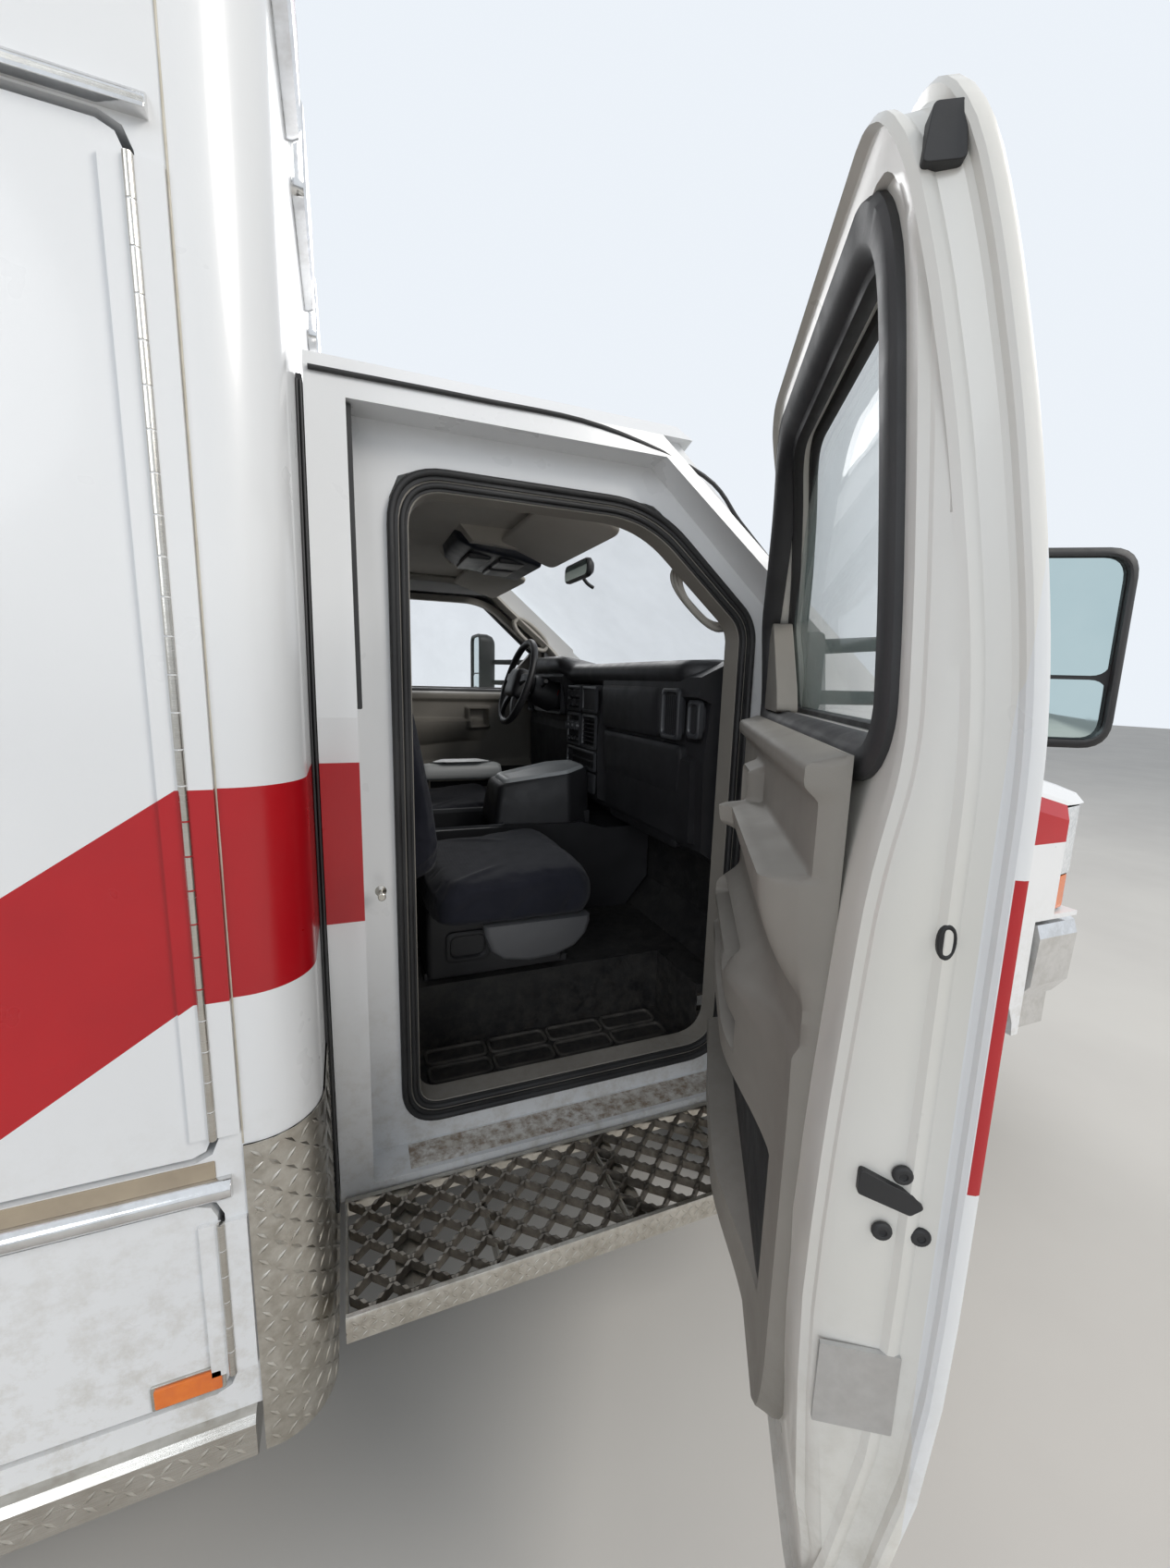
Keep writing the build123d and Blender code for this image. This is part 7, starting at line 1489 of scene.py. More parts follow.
for name, side in SIDES:
    # Side rail and screen pillar trim inside the door opening
    path = [(2.560, 0.775, 1.938), (2.80, 0.776, 1.944), (3.05, 0.776, 1.938), (3.190, 0.776, 1.906),
            (3.300, 0.776, 1.820), (3.400, 0.776, 1.738),
            (3.500, 0.775, 1.655), (3.560, 0.775, 1.590)]
    path = spline([(x, side * y, z) for x, y, z in path], 8)
    section = [(-0.014, -0.026), (-0.002, -0.034), (0.012, -0.024), (0.014, 0.0), (0.012, 0.024),
               (-0.002, 0.034), (-0.014, 0.026)]
    make(f"pillar_trim_{name}", swept(path, section, (0, 1, 0)), LINING_PLASTIC, angle=60)
    middle = Vector((3.408, side * 0.752, 1.716))
    along_p = Vector((0.773, 0, -0.634))
    across_p = Vector((0.634, 0, 0.773))
    ring = []
    for k in range(40):
        a = 2 * math.pi * k / 40
        c, s = math.cos(a), math.sin(a)
        ring.append(middle + along_p * 0.098 * (abs(c) ** 0.8) * (1 if c > 0 else -1)
                    + across_p * 0.036 * (abs(s) ** 0.8) * (1 if s > 0 else -1))
    make(f"grab_ring_{name}", tube(ring, 0.0095, 12, loop=True), LINING_PLASTIC, angle=60)
    back_pad = [[middle + along_p * 0.112 * g * math.cos(a) + across_p * 0.050 * g * math.sin(a)
                 + Vector((0, side * d, 0)) for a in circle(36)]
                for d, g in ((0.012, 1.0), (0.006, 0.97), (0.004, 0.90), (0.010, 0.78), (0.014, 0.70))]
    make(f"grab_pad_{name}", lofted(back_pad, cap=False), LINING_PLASTIC, angle=60)
cove = []
for k in range(25):
    y = -0.780 + 1.56 * k / 24
    cove.append([Vector((x, y, z)) for x, z in ((2.552, 1.90), (2.556, 1.935), (2.575, 1.951), (2.66, 1.9535),
                                                (3.05, 1.9535), (3.180, 1.930), (3.190, 1.915),
                                                (3.194, 1.930), (3.194, 1.958), (2.552, 1.958))])
make("lining_cove", lofted(cove), LINING, angle=60)


# Seats: valances, base trims and the covered cushions
def seat_form(width, depth_rows, steps=26):
    """Closed crowned form across the seat: rows of (x, z) outline with the sides drawn in."""
    rings = []
    for k in range(steps + 1):
        t = -1 + 2 * k / steps
        pull = math.sqrt(max(0.0, 1 - abs(t) ** 4))
        middle = Vector((sum(x for x, z in depth_rows) / len(depth_rows),
                         sum(z for x, z in depth_rows) / len(depth_rows)))
        share = 0.80 + 0.20 * pull
        rings.append([Vector((middle.x + (x - middle.x) * share, t * width / 2,
                              middle.y + (z - middle.y) * share)) for x, z in depth_rows])
    return lofted(rings)


def puffed(shape, voxel, pressure, cap, frames=16):
    """Closed form remeshed and blown up a little as cloth, each point held within the cap."""
    points, faces = shape
    mesh = bpy.data.meshes.new("pad_start")
    mesh.from_pydata([tuple(p) for p in points], [], faces)
    start = bpy.data.objects.new("pad_start", mesh)
    bpy.context.scene.collection.objects.link(start)
    cut = start.modifiers.new("even", "REMESH")
    cut.mode = "VOXEL"
    cut.voxel_size = voxel
    graph = bpy.context.evaluated_depsgraph_get()
    even = bpy.data.meshes.new_from_object(start.evaluated_get(graph))
    bpy.data.objects.remove(start)
    pad = bpy.data.objects.new("pad_even", even)
    bpy.context.scene.collection.objects.link(pad)
    rest_points = [v.co.copy() for v in even.vertices]
    result = [p.copy() for p in rest_points]
    fabric = pad.modifiers.new("fabric", "CLOTH")
    fabric.settings.use_pressure = True
    fabric.settings.uniform_pressure_force = pressure
    fabric.settings.effector_weights.gravity = 0.0
    fabric.settings.quality = 5
    fabric.settings.mass = 0.3
    fabric.settings.tension_stiffness = 12.0
    fabric.settings.compression_stiffness = 12.0
    fabric.settings.shrink_min = -0.035
    for step in range(1, frames + 1):
        bpy.context.scene.frame_set(step)
    graph = bpy.context.evaluated_depsgraph_get()
    blown = bpy.data.meshes.new_from_object(pad.evaluated_get(graph))
    for k, vertex in enumerate(blown.vertices):
        move = vertex.co - rest_points[k]
        if move.length > cap:
            move = move.normalized() * cap
        result[k] = rest_points[k] + move
    bpy.context.scene.frame_set(1)
    faces = [tuple(p.vertices) for p in even.polygons]
    bpy.data.objects.remove(pad)
    return [tuple(p) for p in result], faces


def creased(shape, folds):
    """Shape with drawn-in folds of a loose cover: start, end, depth and width of each."""
    points, faces = shape
    out = []
    for p in points:
        p = Vector(p)
        shift = Vector()
        for start, end, depth, width, way in folds:
            start, end = Vector(start), Vector(end)
            run = end - start
            t = min(1.0, max(0.0, (p - start).dot(run) / run.length_squared))
            near = (p - (start + run * t)).length
            if near < width * 3:
                wave = math.exp(-(near / width) ** 2) * math.sin(math.pi * min(1.0, 0.15 + t))
                shift += Vector(way) * depth * wave
        out.append(tuple(p + shift))
    return out, faces


def moved_y(shape, y):
    """Shape shifted across the vehicle."""
    return moved(shape, Matrix.Translation((0, y, 0)))


CUSHION_ROWS = [(2.735, 0.893), (2.74, 0.960), (2.79, 0.992), (2.90, 0.998), (3.05, 1.012), (3.125, 1.016),
                (3.168, 1.004), (3.186, 0.970), (3.186, 0.930), (3.166, 0.893), (3.05, 0.886), (2.86, 0.886)]
BACK_ROWS = [(2.652, 1.010), (2.700, 0.990), (2.752, 1.010), (2.764, 1.070), (2.748, 1.200), (2.712, 1.400),
             (2.668, 1.590), (2.650, 1.632),
             (2.616, 1.640), (2.588, 1.622), (2.590, 1.560), (2.626, 1.300), (2.642, 1.080)]
HEAD_ROWS = [(2.590, 1.660), (2.622, 1.648), (2.650, 1.664), (2.646, 1.740), (2.634, 1.792), (2.604, 1.800),
             (2.578, 1.786), (2.578, 1.720)]
CUSHION_WIDTH, BACK_WIDTH, HEAD_WIDTH = 0.492, 0.480, 0.250
VOXEL, PRESSURE, MOVE_CAP = 0.0085, 5.0, 0.008
SEAT_Y = 0.450
cushion = puffed(seat_form(CUSHION_WIDTH, CUSHION_ROWS), VOXEL, PRESSURE, MOVE_CAP)
backrest = puffed(seat_form(BACK_WIDTH, BACK_ROWS), VOXEL, PRESSURE, MOVE_CAP)
headrest = seat_form(HEAD_WIDTH, HEAD_ROWS, 16)
CUSHION_FOLDS = (
    ((3.180, -0.20, 0.960), (2.95, -0.02, 1.015), -0.007, 0.012, (0.2, 0, 1)),
    ((3.185, 0.10, 0.950), (3.02, 0.16, 1.012), -0.006, 0.010, (0.2, 0, 1)),
    ((2.80, -0.21, 1.000), (2.98, -0.10, 1.010), 0.006, 0.011, (0, 0, 1)),
    ((2.86, 0.20, 1.005), (3.05, 0.06, 1.012), 0.005, 0.010, (0, 0, 1)),
    ((2.76, -0.246, 0.900), (2.90, -0.240, 0.985), -0.008, 0.012, (0, -1, 0)),
    ((2.93, -0.246, 0.895), (3.02, -0.240, 0.990), -0.008, 0.011, (0, -1, 0)),
    ((3.08, -0.246, 0.895), (3.12, -0.236, 0.990), -0.008, 0.012, (0, -1, 0)),
    ((3.186, -0.13, 0.900), (3.180, -0.10, 0.995), -0.006, 0.011, (1, 0, 0)),
    ((3.186, 0.04, 0.900), (3.180, 0.02, 0.995), -0.006, 0.010, (1, 0, 0)),
)
BACK_FOLDS = (
    ((2.752, -0.19, 1.120), (2.735, 0.02, 1.250), -0.007, 0.012, (1, 0, 0)),
    ((2.745, 0.18, 1.180), (2.720, 0.00, 1.330), -0.006, 0.011, (1, 0, 0)),
    ((2.700, -0.235, 1.080), (2.690, -0.235, 1.330), -0.008, 0.013, (0, -1, 0)),
    ((2.680, -0.235, 1.350), (2.640, -0.225, 1.560), -0.007, 0.012, (0, -1, 0)),
    ((2.700, -0.16, 1.450), (2.712, 0.10, 1.380), 0.006, 0.012, (1, 0, 0)),
)
cushion = creased(cushion, CUSHION_FOLDS)
backrest = creased(backrest, BACK_FOLDS)
for name, side in (("passenger", RIGHT), ("driver", LEFT)):
    y = side * SEAT_Y
    turn = (lambda s: s) if side == RIGHT else mirrored
    seat = make(f"seat_cushion_{name}", moved_y(turn(cushion), y), SEAT, angle=180, soft=1)
    back = make(f"seat_back_{name}", moved_y(turn(backrest), y), SEAT, angle=180, soft=1)
    head = make(f"seat_head_{name}", moved_y(headrest, y), SEAT, angle=180, soft=1)
    rods = [tube([(2.612, y + s * 0.060, 1.600), (2.612, y + s * 0.060, 1.680)], 0.006, 12) for s in (1, -1)]
    make(f"head_rods_{name}", joined(*rods), CHROME)
    box_base = soft_box(2.745, 3.135, min(side * 0.262, side * 0.545), max(side * 0.262, side * 0.545), 0.686,
                        0.888, 0.018)
    frames = []
    for x0, x1 in ((2.795, 2.915), (2.965, 3.100)):
        rows = ((0.0, -0.004), (0.0, 0.008), (0.004, 0.011), (0.010, 0.011), (0.014, 0.006), (0.014, -0.003))
        rings = stepped((x0, x1, 0.735, 0.822), rows, 0.022, 5, lambda a, b, d: (a, side * (0.545 + d), b))
        frames.append(lofted(rings, cap=False))
    rail = [slab(2.740, 3.150, side * (0.300 + k) - 0.012, side * (0.300 + k) + 0.012, 0.684, 0.704)
            for k in (0.0, 0.22)]
    make(f"seat_base_{name}", joined(box_base, *frames, *rail), GREY_PLASTIC, angle=40)
    rings = []
    for out, grow in ((0.640, -0.016), (0.646, -0.004), (0.652, 0.0), (0.678, 0.0), (0.686, -0.004),
                      (0.690, -0.014)):
        outline = [(2.872 - grow, 0.884), (2.875 - grow, 0.858), (2.890 - grow, 0.815 - grow * 0.5),
                   (2.925, 0.788 - grow), (2.990, 0.776 - grow), (3.060, 0.780 - grow),
                   (3.115, 0.800 - grow), (3.150 + grow, 0.836), (3.160 + grow, 0.866), (3.160 + grow, 0.884)]
        rings.append([Vector((a, side * out, b)) for a, b in outline])
    make(f"seat_valance_{name}", lofted(rings), VALANCE, angle=45,
         replaces=("cab_seats",) if side == RIGHT else ())


# Raised outlines moulded in the step wells
WELL_FLOOR = 0.5032
ribs = []
for side in (RIGHT, LEFT):
    for x0, x1, y0, y1 in ((2.725, 3.405, 0.580, 0.640), (2.725, 3.405, 0.655, 0.715),
                           (2.725, 3.405, 0.730, 0.785)):
        for part in range(4):
            a = x0 + (x1 - x0) * part / 4 + 0.006
            b = x0 + (x1 - x0) * (part + 1) / 4 - 0.006
            ring = [(x, side * y, WELL_FLOOR) for x, y in rect(a, b, y0, y1, 0.018, 4)]
            ribs.append(tube(ring, 0.0050, 6, loop=True))
make("step_ribs", joined(*ribs), RIB_RUBBER, angle=60)


# Wheels: round tyres with grooved tread and lugs, pressed steel rims with hand holes, studs and hub caps
BEAD, RIM_HALF = 0.205, 0.0825
REAR_TYRE_YS = (0.760, 1.030)
REAR_DISC, FRONT_TYRE_Y, FRONT_DISC = 0.895, 0.860, 0.905
GROOVES = (-0.058, -0.020, 0.020, 0.058)
STUD_CIRCLE = 0.0845


def tyre_profile():
    """Closed section of a tyre: distance from its middle, radius."""
    half = [(0.0755, BEAD + 0.0008), (0.0800, BEAD + 0.016), (0.0905, 0.2290), (0.1020, 0.2450),
            (0.1100, 0.2700), (0.1115, 0.2900), (0.1090, 0.3150),
            (0.1035, 0.3370), (0.0970, 0.3520), (0.0880, 0.3640), (0.0800, 0.3690)]
    tread_line = []
    marks = sorted([-0.074, 0.074] + [g + d for g in GROOVES for d in (-0.0055, -0.0035, 0.0035, 0.0055)],
                   reverse=True)
    for a in marks:
        deep = any(abs(a - g) < 0.004 for g in GROOVES)
        tread_line.append((a, TYRE_RADIUS - 0.0012 - (0.009 if deep else 0.0)))
    other = [(-a, r) for a, r in reversed(half)]
    return half + tread_line + other


def tyre_shape(x, y):
    """Tyre with shoulder lugs across the edge of its tread."""
    body = turned(tyre_profile(), (x, y, TYRE_RADIUS), (0, 1, 0), 96, closed=True)
    lugs = []
    count = 54
    for k in range(count):
        for side in (1, -1):
            a = 2 * math.pi * (k + (0.5 if side > 0 else 0.0)) / count
            half_wide = math.pi / count * 0.70
            section = [(0.0640, 0.3708), (0.0640, 0.3718), (0.0800, 0.3708), (0.0905, 0.3650),
                       (0.0990, 0.3520), (0.1010, 0.3430), (0.0985, 0.3440), (0.080, 0.366)]
            rings = []
            for t in (-half_wide, half_wide):
                c, s = math.cos(a + t), math.sin(a + t)
                rings.append([Vector((x + r * c, y + side * (b + 0.0006), TYRE_RADIUS + r * s))
                              for b, r in section])
            lugs.append(lofted(rings))
            for low, high in ((0.024, 0.0535), (-0.0145, 0.0)):
                rings = []
                for t in (-half_wide * 0.9, half_wide * 0.9):
                    c, s = math.cos(a + t), math.sin(a + t)
                    rings.append([Vector((x + r * c, y + side * b, TYRE_RADIUS + r * s))
                                  for b, r in ((low, 0.3700), (low, 0.3719), (high, 0.3719), (high, 0.3700))])
                if low > 0 or side > 0:
                    lugs.append(lofted(rings))
    return joined(body, *lugs)


def disc_y(r, face, dish):
    """Side position of the pressed disc at a radius: flat face, then a swept cone to the barrel."""
    return face + (dish - face) * smooth(r, 0.112, 0.192)


def rim_shape(x, centre, face, way):
    """Barrel with rolled flanges, and a disc with hand holes between hub face and barrel."""
    dish = centre + way * 0.030
    barrel = [(-RIM_HALF, BEAD + 0.017), (-RIM_HALF + 0.003, BEAD + 0.018), (-RIM_HALF + 0.009, BEAD + 0.004),
              (-RIM_HALF + 0.018, BEAD - 0.0006), (-0.045, BEAD - 0.001),
              (-0.036, BEAD - 0.014), (0.036, BEAD - 0.014), (0.045, BEAD - 0.001),
              (RIM_HALF - 0.018, BEAD - 0.0006), (RIM_HALF - 0.009, BEAD + 0.004),
              (RIM_HALF - 0.003, BEAD + 0.018), (RIM_HALF, BEAD + 0.017), (RIM_HALF - 0.002, BEAD + 0.013),
              (RIM_HALF - 0.010, BEAD - 0.006),
              (0.048, BEAD - 0.010), (0.038, BEAD - 0.020), (-0.038, BEAD - 0.020), (-0.048, BEAD - 0.010),
              (-RIM_HALF + 0.010, BEAD - 0.006), (-RIM_HALF + 0.002, BEAD + 0.013)]
    shapes = [turned([(centre + a, r) for a, r in barrel], (x, 0, TYRE_RADIUS), (0, 1, 0), 72, closed=True)]
    sectors, inner, outer = 8, 0.118, 0.186
    skin = 0.008
    for front in (1, -1):
        shift = way * skin / 2 * front
        for sector in range(sectors):
            a0 = 2 * math.pi * sector / sectors
            a1 = 2 * math.pi * (sector + 1) / sectors
            middle_a, middle_r = (a0 + a1) / 2, 0.154
            frame, hole = [], []
            steps = 32
            for k in range(steps):
                t = 2 * math.pi * k / steps
                c, s = math.cos(t), math.sin(t)
                reach = 1 / max(abs(c), abs(s))
                frame.append((middle_a + (a1 - a0) / 2 * c * reach,
                              middle_r + (s * reach) * (outer - middle_r if s > 0 else middle_r - inner)))
                hole.append((middle_a + 0.021 * c / middle_r, middle_r + 0.017 * s))
            rows = []
            for share in (0.0, 0.35, 0.7, 1.0):
                rows.append([(fa + (ha - fa) * share, fr + (hr - fr) * share)
                             for (fa, fr), (ha, hr) in zip(frame, hole)])
            rings = [[Vector((x + r * math.cos(a), disc_y(r, face, dish) + shift,
                              TYRE_RADIUS + r * math.sin(a))) for a, r in row] for row in rows]
            if front == 1:
                rings.append([Vector((p.x, p.y - way * skin, p.z)) for p in rings[-1]])
            shapes.append(lofted(rings, cap=False))
    hub_face = face + way * skin / 2
    shapes.append(turned([(face - way * skin / 2, 0.119), (hub_face, 0.1185), (hub_face, 0.100),
                          (hub_face + way * 0.003, 0.096), (hub_face + way * 0.003, 0.074),
                          (hub_face, 0.070), (hub_face, 0.060), (face - way * skin / 2, 0.060)],
                          (x, 0, TYRE_RADIUS), (0, 1, 0), 56, closed=True))
    weld = [(dish - way * 0.006, 0.1855), (dish + way * 0.004, 0.1855), (dish + way * 0.012, 0.190),
            (dish + way * 0.010, 0.1945), (dish - way * 0.010, 0.1945)]
    shapes.append(turned(weld, (x, 0, TYRE_RADIUS), (0, 1, 0), 72, closed=True))
    return joined(*shapes)


def studs(x, face, way, hub_radius, hub_out):
    """Eight nuts on their studs round a stepped hub cap."""
    shapes = []
    for k in range(8):
        a = 2 * math.pi * (k + 0.5) / 8
        place = Vector((x + STUD_CIRCLE * math.cos(a), 0, TYRE_RADIUS + STUD_CIRCLE * math.sin(a)))
        nut = [(face + way * 0.003, 0.0135), (face + way * 0.005, 0.0125), (face + way * 0.022, 0.0118),
               (face + way * 0.026, 0.0095), (face + way * 0.027, 0.0002)]
        shapes.append(turned(nut, place, (0, 1, 0), 6))
        shapes.append(turned([(face + way * 0.026, 0.0062), (face + way * 0.036, 0.0062),
                              (face + way * 0.037, 0.0002)], place, (0, 1, 0), 12))
    cap = [(face - way * 0.010, hub_radius), (face + way * (hub_out - 0.020), hub_radius),
           (face + way * (hub_out - 0.006), hub_radius * 0.94),
           (face + way * (hub_out - 0.002), hub_radius * 0.80),
           (face + way * (hub_out - 0.002), hub_radius * 0.60), (face + way * hub_out, hub_radius * 0.56),
           (face + way * hub_out, 0.0003)]
    shapes.append(turned(cap, (x, 0, TYRE_RADIUS), (0, 1, 0), 40))
    return joined(*shapes)


for name, side in (("left", LEFT), ("right", RIGHT)):
    front_body, rear_body = f"front_wheel_{name}", f"rear_wheels_{name}"
    make(f"tyre_front_{name}", tyre_shape(WHEELBASE, side * FRONT_TYRE_Y), TYRE, front_body,
         angle=28, replaces=(f"front_tyre_{name}",))
    make(f"tyres_rear_{name}", joined(*(tyre_shape(0.0, side * y) for y in REAR_TYRE_YS)), TYRE,
         rear_body, angle=28, replaces=(f"rear_tyres_{name}",))
    front_rim = joined(rim_shape(WHEELBASE, side * FRONT_TYRE_Y, side * FRONT_DISC, side),
                       studs(WHEELBASE, side * FRONT_DISC, side, 0.056, 0.060))
    make(f"rim_front_{name}", front_rim, RIM_STEEL, front_body, angle=30,
         replaces=(f"front_rim_{name}",))
    rear_rim = joined(rim_shape(0.0, side * REAR_TYRE_YS[0], side * (REAR_DISC - 0.0045), side),
                      rim_shape(0.0, side * REAR_TYRE_YS[1], side * (REAR_DISC + 0.0045), -side),
                      studs(0.0, side * (REAR_DISC + 0.0085), side, 0.074, 0.066))
    make(f"rims_rear_{name}", rear_rim, RIM_STEEL, rear_body, angle=30,
         replaces=(f"rear_rims_{name}",))


# Nose: lamp glasses, grille bars and frame
def lamp_glass(side, low, high, front, grow):
    """Smooth skin over one lamp, wrapped round the fender's corner."""
    plan = [(4.588, 0.815), (front, 0.815), (front - 0.020, 0.925), (front - 0.060, 0.970), (4.588, 0.988)]
    plan = rounded(plan, [0.002, 0.010, 0.060, 0.045, 0.002], 6)
    rings = []
    middle = Vector((4.60, 0.86))
    for z, inset in ((low, 0.010), (low + 0.004, 0.003), (low + 0.012, 0.0), (high - 0.012, 0.0),
                     (high - 0.004, 0.003), (high, 0.010)):
        rings.append([Vector((middle.x + (a - middle.x) * (1 - inset) + grow,
                              side * (middle.y + (b - middle.y) * (1 - inset) + grow), z)) for a, b in plan])
    return lofted(rings)


for name, side in (("left", LEFT), ("right", RIGHT)):
    make(f"head_lamp_{name}", lamp_glass(side, 0.950, 1.165, 4.740, 0.002), CLEAR_LENS, angle=40)
    make(f"turn_lamp_{name}", lamp_glass(side, 0.838, 0.945, 4.730, 0.002), AMBER, angle=40)
GRILLE_LOW, BAR_PITCH = 0.854, 0.052
ribs = []
for k in range(4):
    z = GRILLE_LOW + BAR_PITCH / 2 + BAR_PITCH * (k + 1)
    for n in range(28):
        y = -0.545 + 1.090 * n / 27
        ribs.append(slab(4.768, 4.790, y - 0.0015, y + 0.0015, z - 0.024, z + 0.024))
bar = []
for k in range(5):
    z = GRILLE_LOW + BAR_PITCH * (k + 0.5) + BAR_PITCH / 2
    bar.append(prism(rounded([(4.778, z - 0.004), (4.800, z - 0.006), (4.804, z), (4.800, z + 0.006),
                              (4.778, z + 0.004)], 0.002, 2), -0.559, 0.559, "y"))
make("grille_bars", joined(*ribs, *bar), GREY_PLASTIC, bevel=0.0005)
rim_rows = ((0.0, 4.799), (0.0, 4.805), (0.006, 4.808), (0.020, 4.808), (0.026, 4.800), (0.026, 4.780))
rim = stepped((-0.586, 0.586, GRILLE_LOW, 1.166), rim_rows, 0.040, 8, lambda a, b, x: (x, a, b))
make("grille_frame", lofted(rim, cap=False), CHROME, angle=40)


# Latches: paddle handles in dished bezels on the box doors, pull handles on the cab doors
LATCH_SETBACK, LATCH_REACH = 0.085, 0.0005


def latch_shapes(half_u, half_w):
    """Bezel with a dished pan and a sloping paddle, facing +Y about the origin."""
    rows = ((0.0, -0.002), (0.0, 0.003), (0.004, 0.0065), (0.011, 0.0065), (0.016, 0.002), (0.030, 0.0015))
    pan = stepped((-half_u, half_u, -half_w, half_w), rows, lambda inset: max(0.004, 0.018 - inset * 0.5), 5,
                  lambda a, b, out: (a, out, b))
    paddle = []
    for inset, out in ((0.0, 0.001), (0.0, 0.006), (0.004, 0.0085), (0.014, 0.0085)):
        u, w = half_u - 0.019 - inset, half_w - 0.021 - inset
        outline = rect(-u, u, -w, w, 0.008, 4)
        paddle.append([Vector((a, out + (0.007 * (w - b) / (2 * w) if out > 0.002 else 0.0), b))
                       for a, b in outline])
    return joined(lofted(pan), lofted(paddle))


def placed_latch(place, turn, half_u=0.056, half_w=0.072):
    """Latch turned and set on a door."""
    return moved(latch_shapes(half_u, half_w),
                 Matrix.Translation(Vector(place)) @ Matrix.Rotation(turn, 4, "Z"))


for body, side, x0, x1, z0, z1, hinge in BAY_DOORS:
    x = x0 + LATCH_SETBACK if hinge > 0 else x1 - LATCH_SETBACK
    z = (z0 + z1) / 2 if z1 - z0 < 1.0 else 1.210
    turn = 0.0 if side > 0 else math.pi
    if z1 - z0 < 0.5:
        latch = placed_latch((x + 0.01, side * (BOX_HALF + LATCH_REACH), z), turn, 0.050, 0.050)
    else:
        latch = placed_latch((x, side * (BOX_HALF + LATCH_REACH), z), turn)
    make(f"{body}_latch", latch, STAINLESS, body, angle=35)
REAR_DOOR_FACE = BOX_REAR - LATCH_REACH
for name, y in (("rear_door_left", 0.085), ("rear_door_right", -0.085)):
    make(f"{name}_latch", placed_latch((REAR_DOOR_FACE, y, 1.300), math.pi / 2), STAINLESS,
         name, angle=35)


def pull_handle():
    """Outer handle of a cab door: a dark pan with a rounded bar across it."""
    z, x = 1.225, 2.735
    rows = ((0.0, -0.004), (0.0, 0.001), (0.003, 0.003), (0.007, 0.003), (0.011, 0.0005), (0.018, 0.0004))
    pan = stepped((x - 0.080, x + 0.080, z - 0.034, z + 0.034), rows,
                  lambda inset: max(0.006, 0.022 - inset), 5, lambda a, b, out: (a, skin_y(b) + out, b))
    sections = []
    for k in range(17):
        t = k / 16
        lift = 0.003 + 0.016 * math.sin(math.pi * t) ** 0.45
        half = 0.0125 + 0.002 * math.sin(math.pi * t)
        centre = Vector((x - 0.068 + 0.136 * t, skin_y(z + 0.006) + lift - 0.003, z + 0.006))
        sections.append([centre + Vector((0, 0.0055 * math.cos(a), half * math.sin(a))) for a in circle(16)])
    return joined(lofted(pan), lofted(sections))


for name, place in (("driver", joined), ("passenger", opened)):
    make(f"{name}_door_pull", place(pull_handle()), GREY_PLASTIC, f"{name}_door", angle=45)


# Camera where the photographer stood
CAMERA_PLACE = (2.5676, -2.1001, 1.5014)
YAW, PITCH, ROLL = 0.3807, 0.1689, -0.0274
LENS = 13.77
forward = Vector((math.sin(YAW) * math.cos(PITCH), math.cos(YAW) * math.cos(PITCH), -math.sin(PITCH)))
level = Vector((math.cos(YAW), -math.sin(YAW), 0.0))
down = forward.cross(level)
right = math.cos(ROLL) * level + math.sin(ROLL) * down
down = -math.sin(ROLL) * level + math.cos(ROLL) * down
camera = bpy.data.objects.new("camera", bpy.data.cameras.new("camera"))
camera.data.lens = LENS
camera.data.sensor_width = 36.0
camera.data.clip_start = 0.02
facing = Matrix((right, -down, -forward)).transposed().to_4x4()
camera.matrix_world = Matrix.Translation(CAMERA_PLACE) @ facing
bpy.context.scene.collection.objects.link(camera)
bpy.context.scene.camera = camera

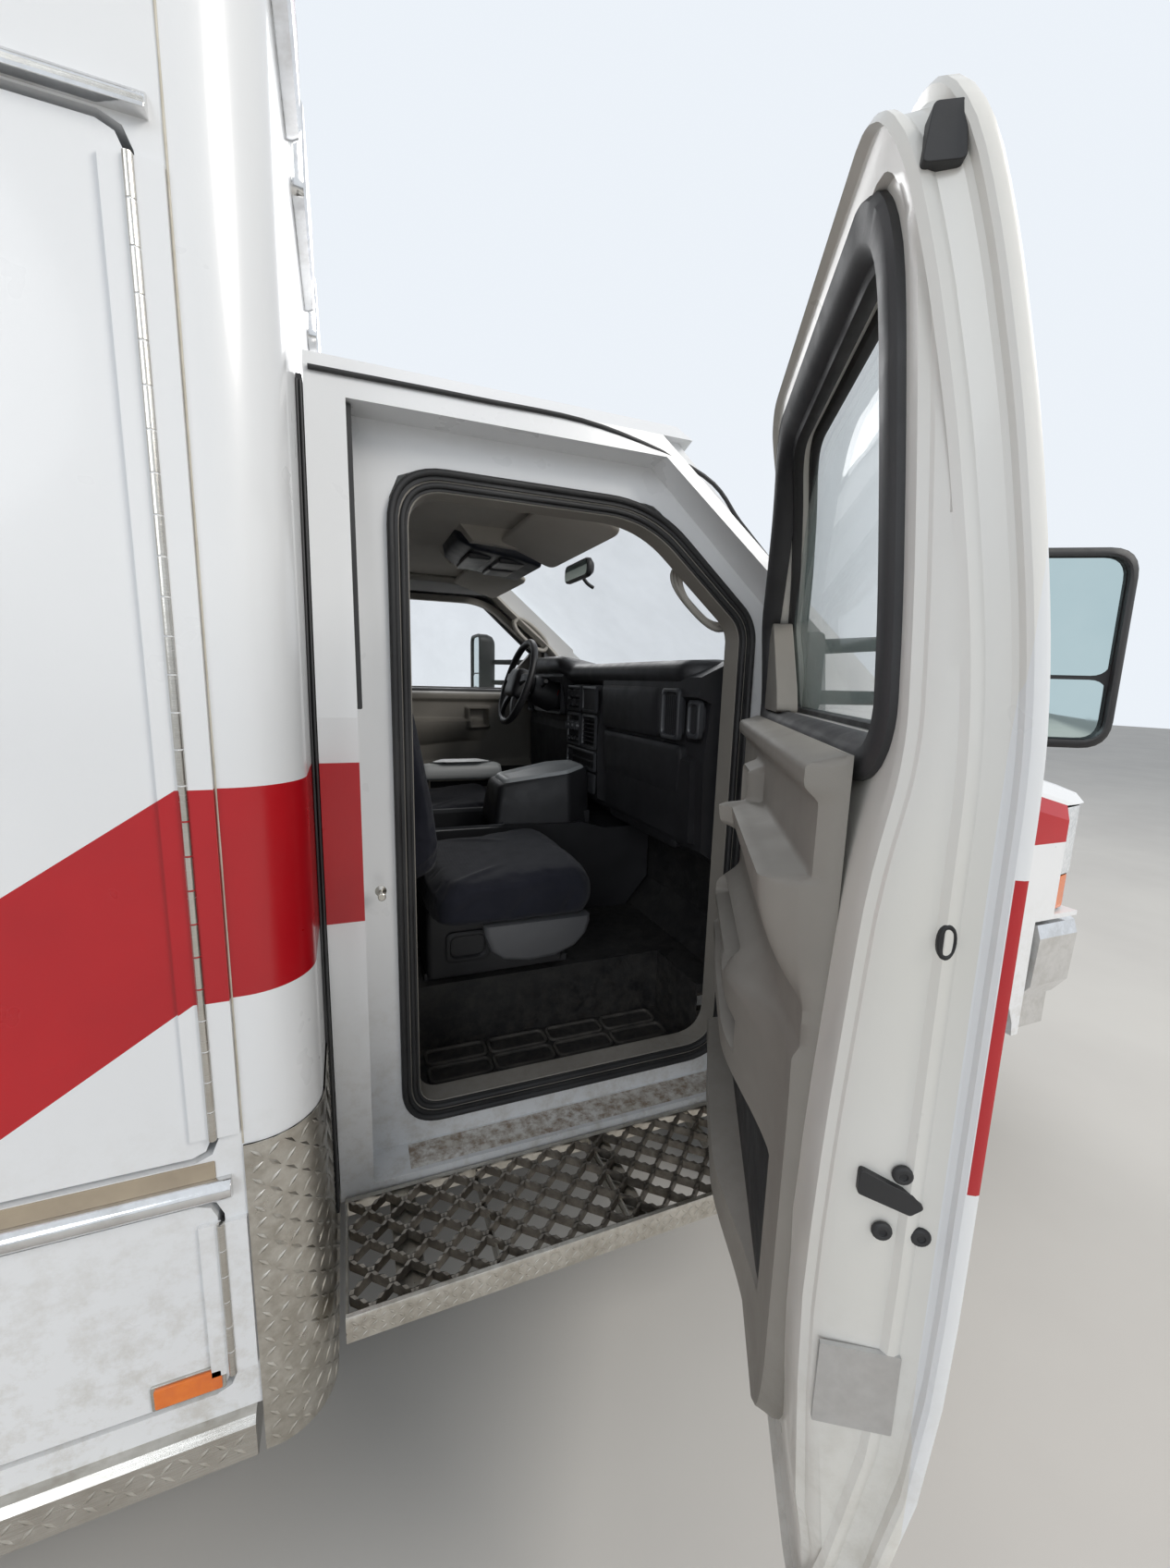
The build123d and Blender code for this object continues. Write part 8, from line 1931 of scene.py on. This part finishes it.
# Floor, sky and lamps
floor_mesh = bpy.data.meshes.new("floor")
reach = 40.0
floor_mesh.from_pydata([(-reach, -reach, 0), (reach, -reach, 0), (reach, reach, 0), (-reach, reach, 0)], [],
                       [(0, 1, 2, 3)])
floor = bpy.data.objects.new("floor", floor_mesh)
bpy.context.scene.collection.objects.link(floor)
floor_mesh.materials.append(plain("floor_concrete", (0.62, 0.60, 0.565), (0.58, 0.56, 0.53), scale=0.8,
                                  rough=(0.7, 0.85), grain=(90.0, 0.15, 0.001)))

world = bpy.data.worlds.new("sky")
world.use_nodes = True
bpy.context.scene.world = world
sky = world.node_tree
background = sky.nodes["Background"]
background.inputs["Color"].default_value = (0.86, 0.91, 0.97, 1.0)


def larger(a, b):
    """The larger of two values of the sky's nodes."""
    node = sky.nodes.new("ShaderNodeMath")
    node.operation = "MAXIMUM"
    sky.links.new(a, node.inputs[0])
    sky.links.new(b, node.inputs[1])
    return node.outputs[0]


# The sky looks brighter to the camera and in reflections than it lights
SKY_LIGHT, SKY_SEEN = 0.55, 0.98
rays = sky.nodes.new("ShaderNodeLightPath")
seen = larger(rays.outputs["Is Camera Ray"], rays.outputs["Is Transmission Ray"])
strength = sky.nodes.new("ShaderNodeMapRange")
strength.inputs[3].default_value = SKY_LIGHT
strength.inputs[4].default_value = SKY_SEEN
sky.links.new(larger(seen, rays.outputs["Is Glossy Ray"]), strength.inputs[0])
sky.links.new(strength.outputs[0], background.inputs["Strength"])

LAMPS = (
    ("key", (7.5, -6.0, 6.5), (2.9, -1.0, 1.2), 4.0, 400.0, (1.0, 0.96, 0.90)),
    ("side", (-2.5, -9.0, 5.0), (1.8, -1.2, 1.2), 5.0, 225.0, (0.92, 0.96, 1.0)),
    ("far", (5.0, 9.0, 7.0), (2.5, 0.0, 1.2), 6.0, 360.0, (1.0, 1.0, 1.0)),
)
for name, place, target, size, power, tint in LAMPS:
    light = bpy.data.lights.new(name, "AREA")
    light.shape = "DISK"
    light.size = size
    light.energy = power
    light.color = tint
    lamp = bpy.data.objects.new(name, light)
    lamp.location = place
    lamp.rotation_euler = (Vector(target) - Vector(place)).to_track_quat("-Z", "Y").to_euler()
    bpy.context.scene.collection.objects.link(lamp)

bpy.context.scene.view_settings.view_transform = "Standard"
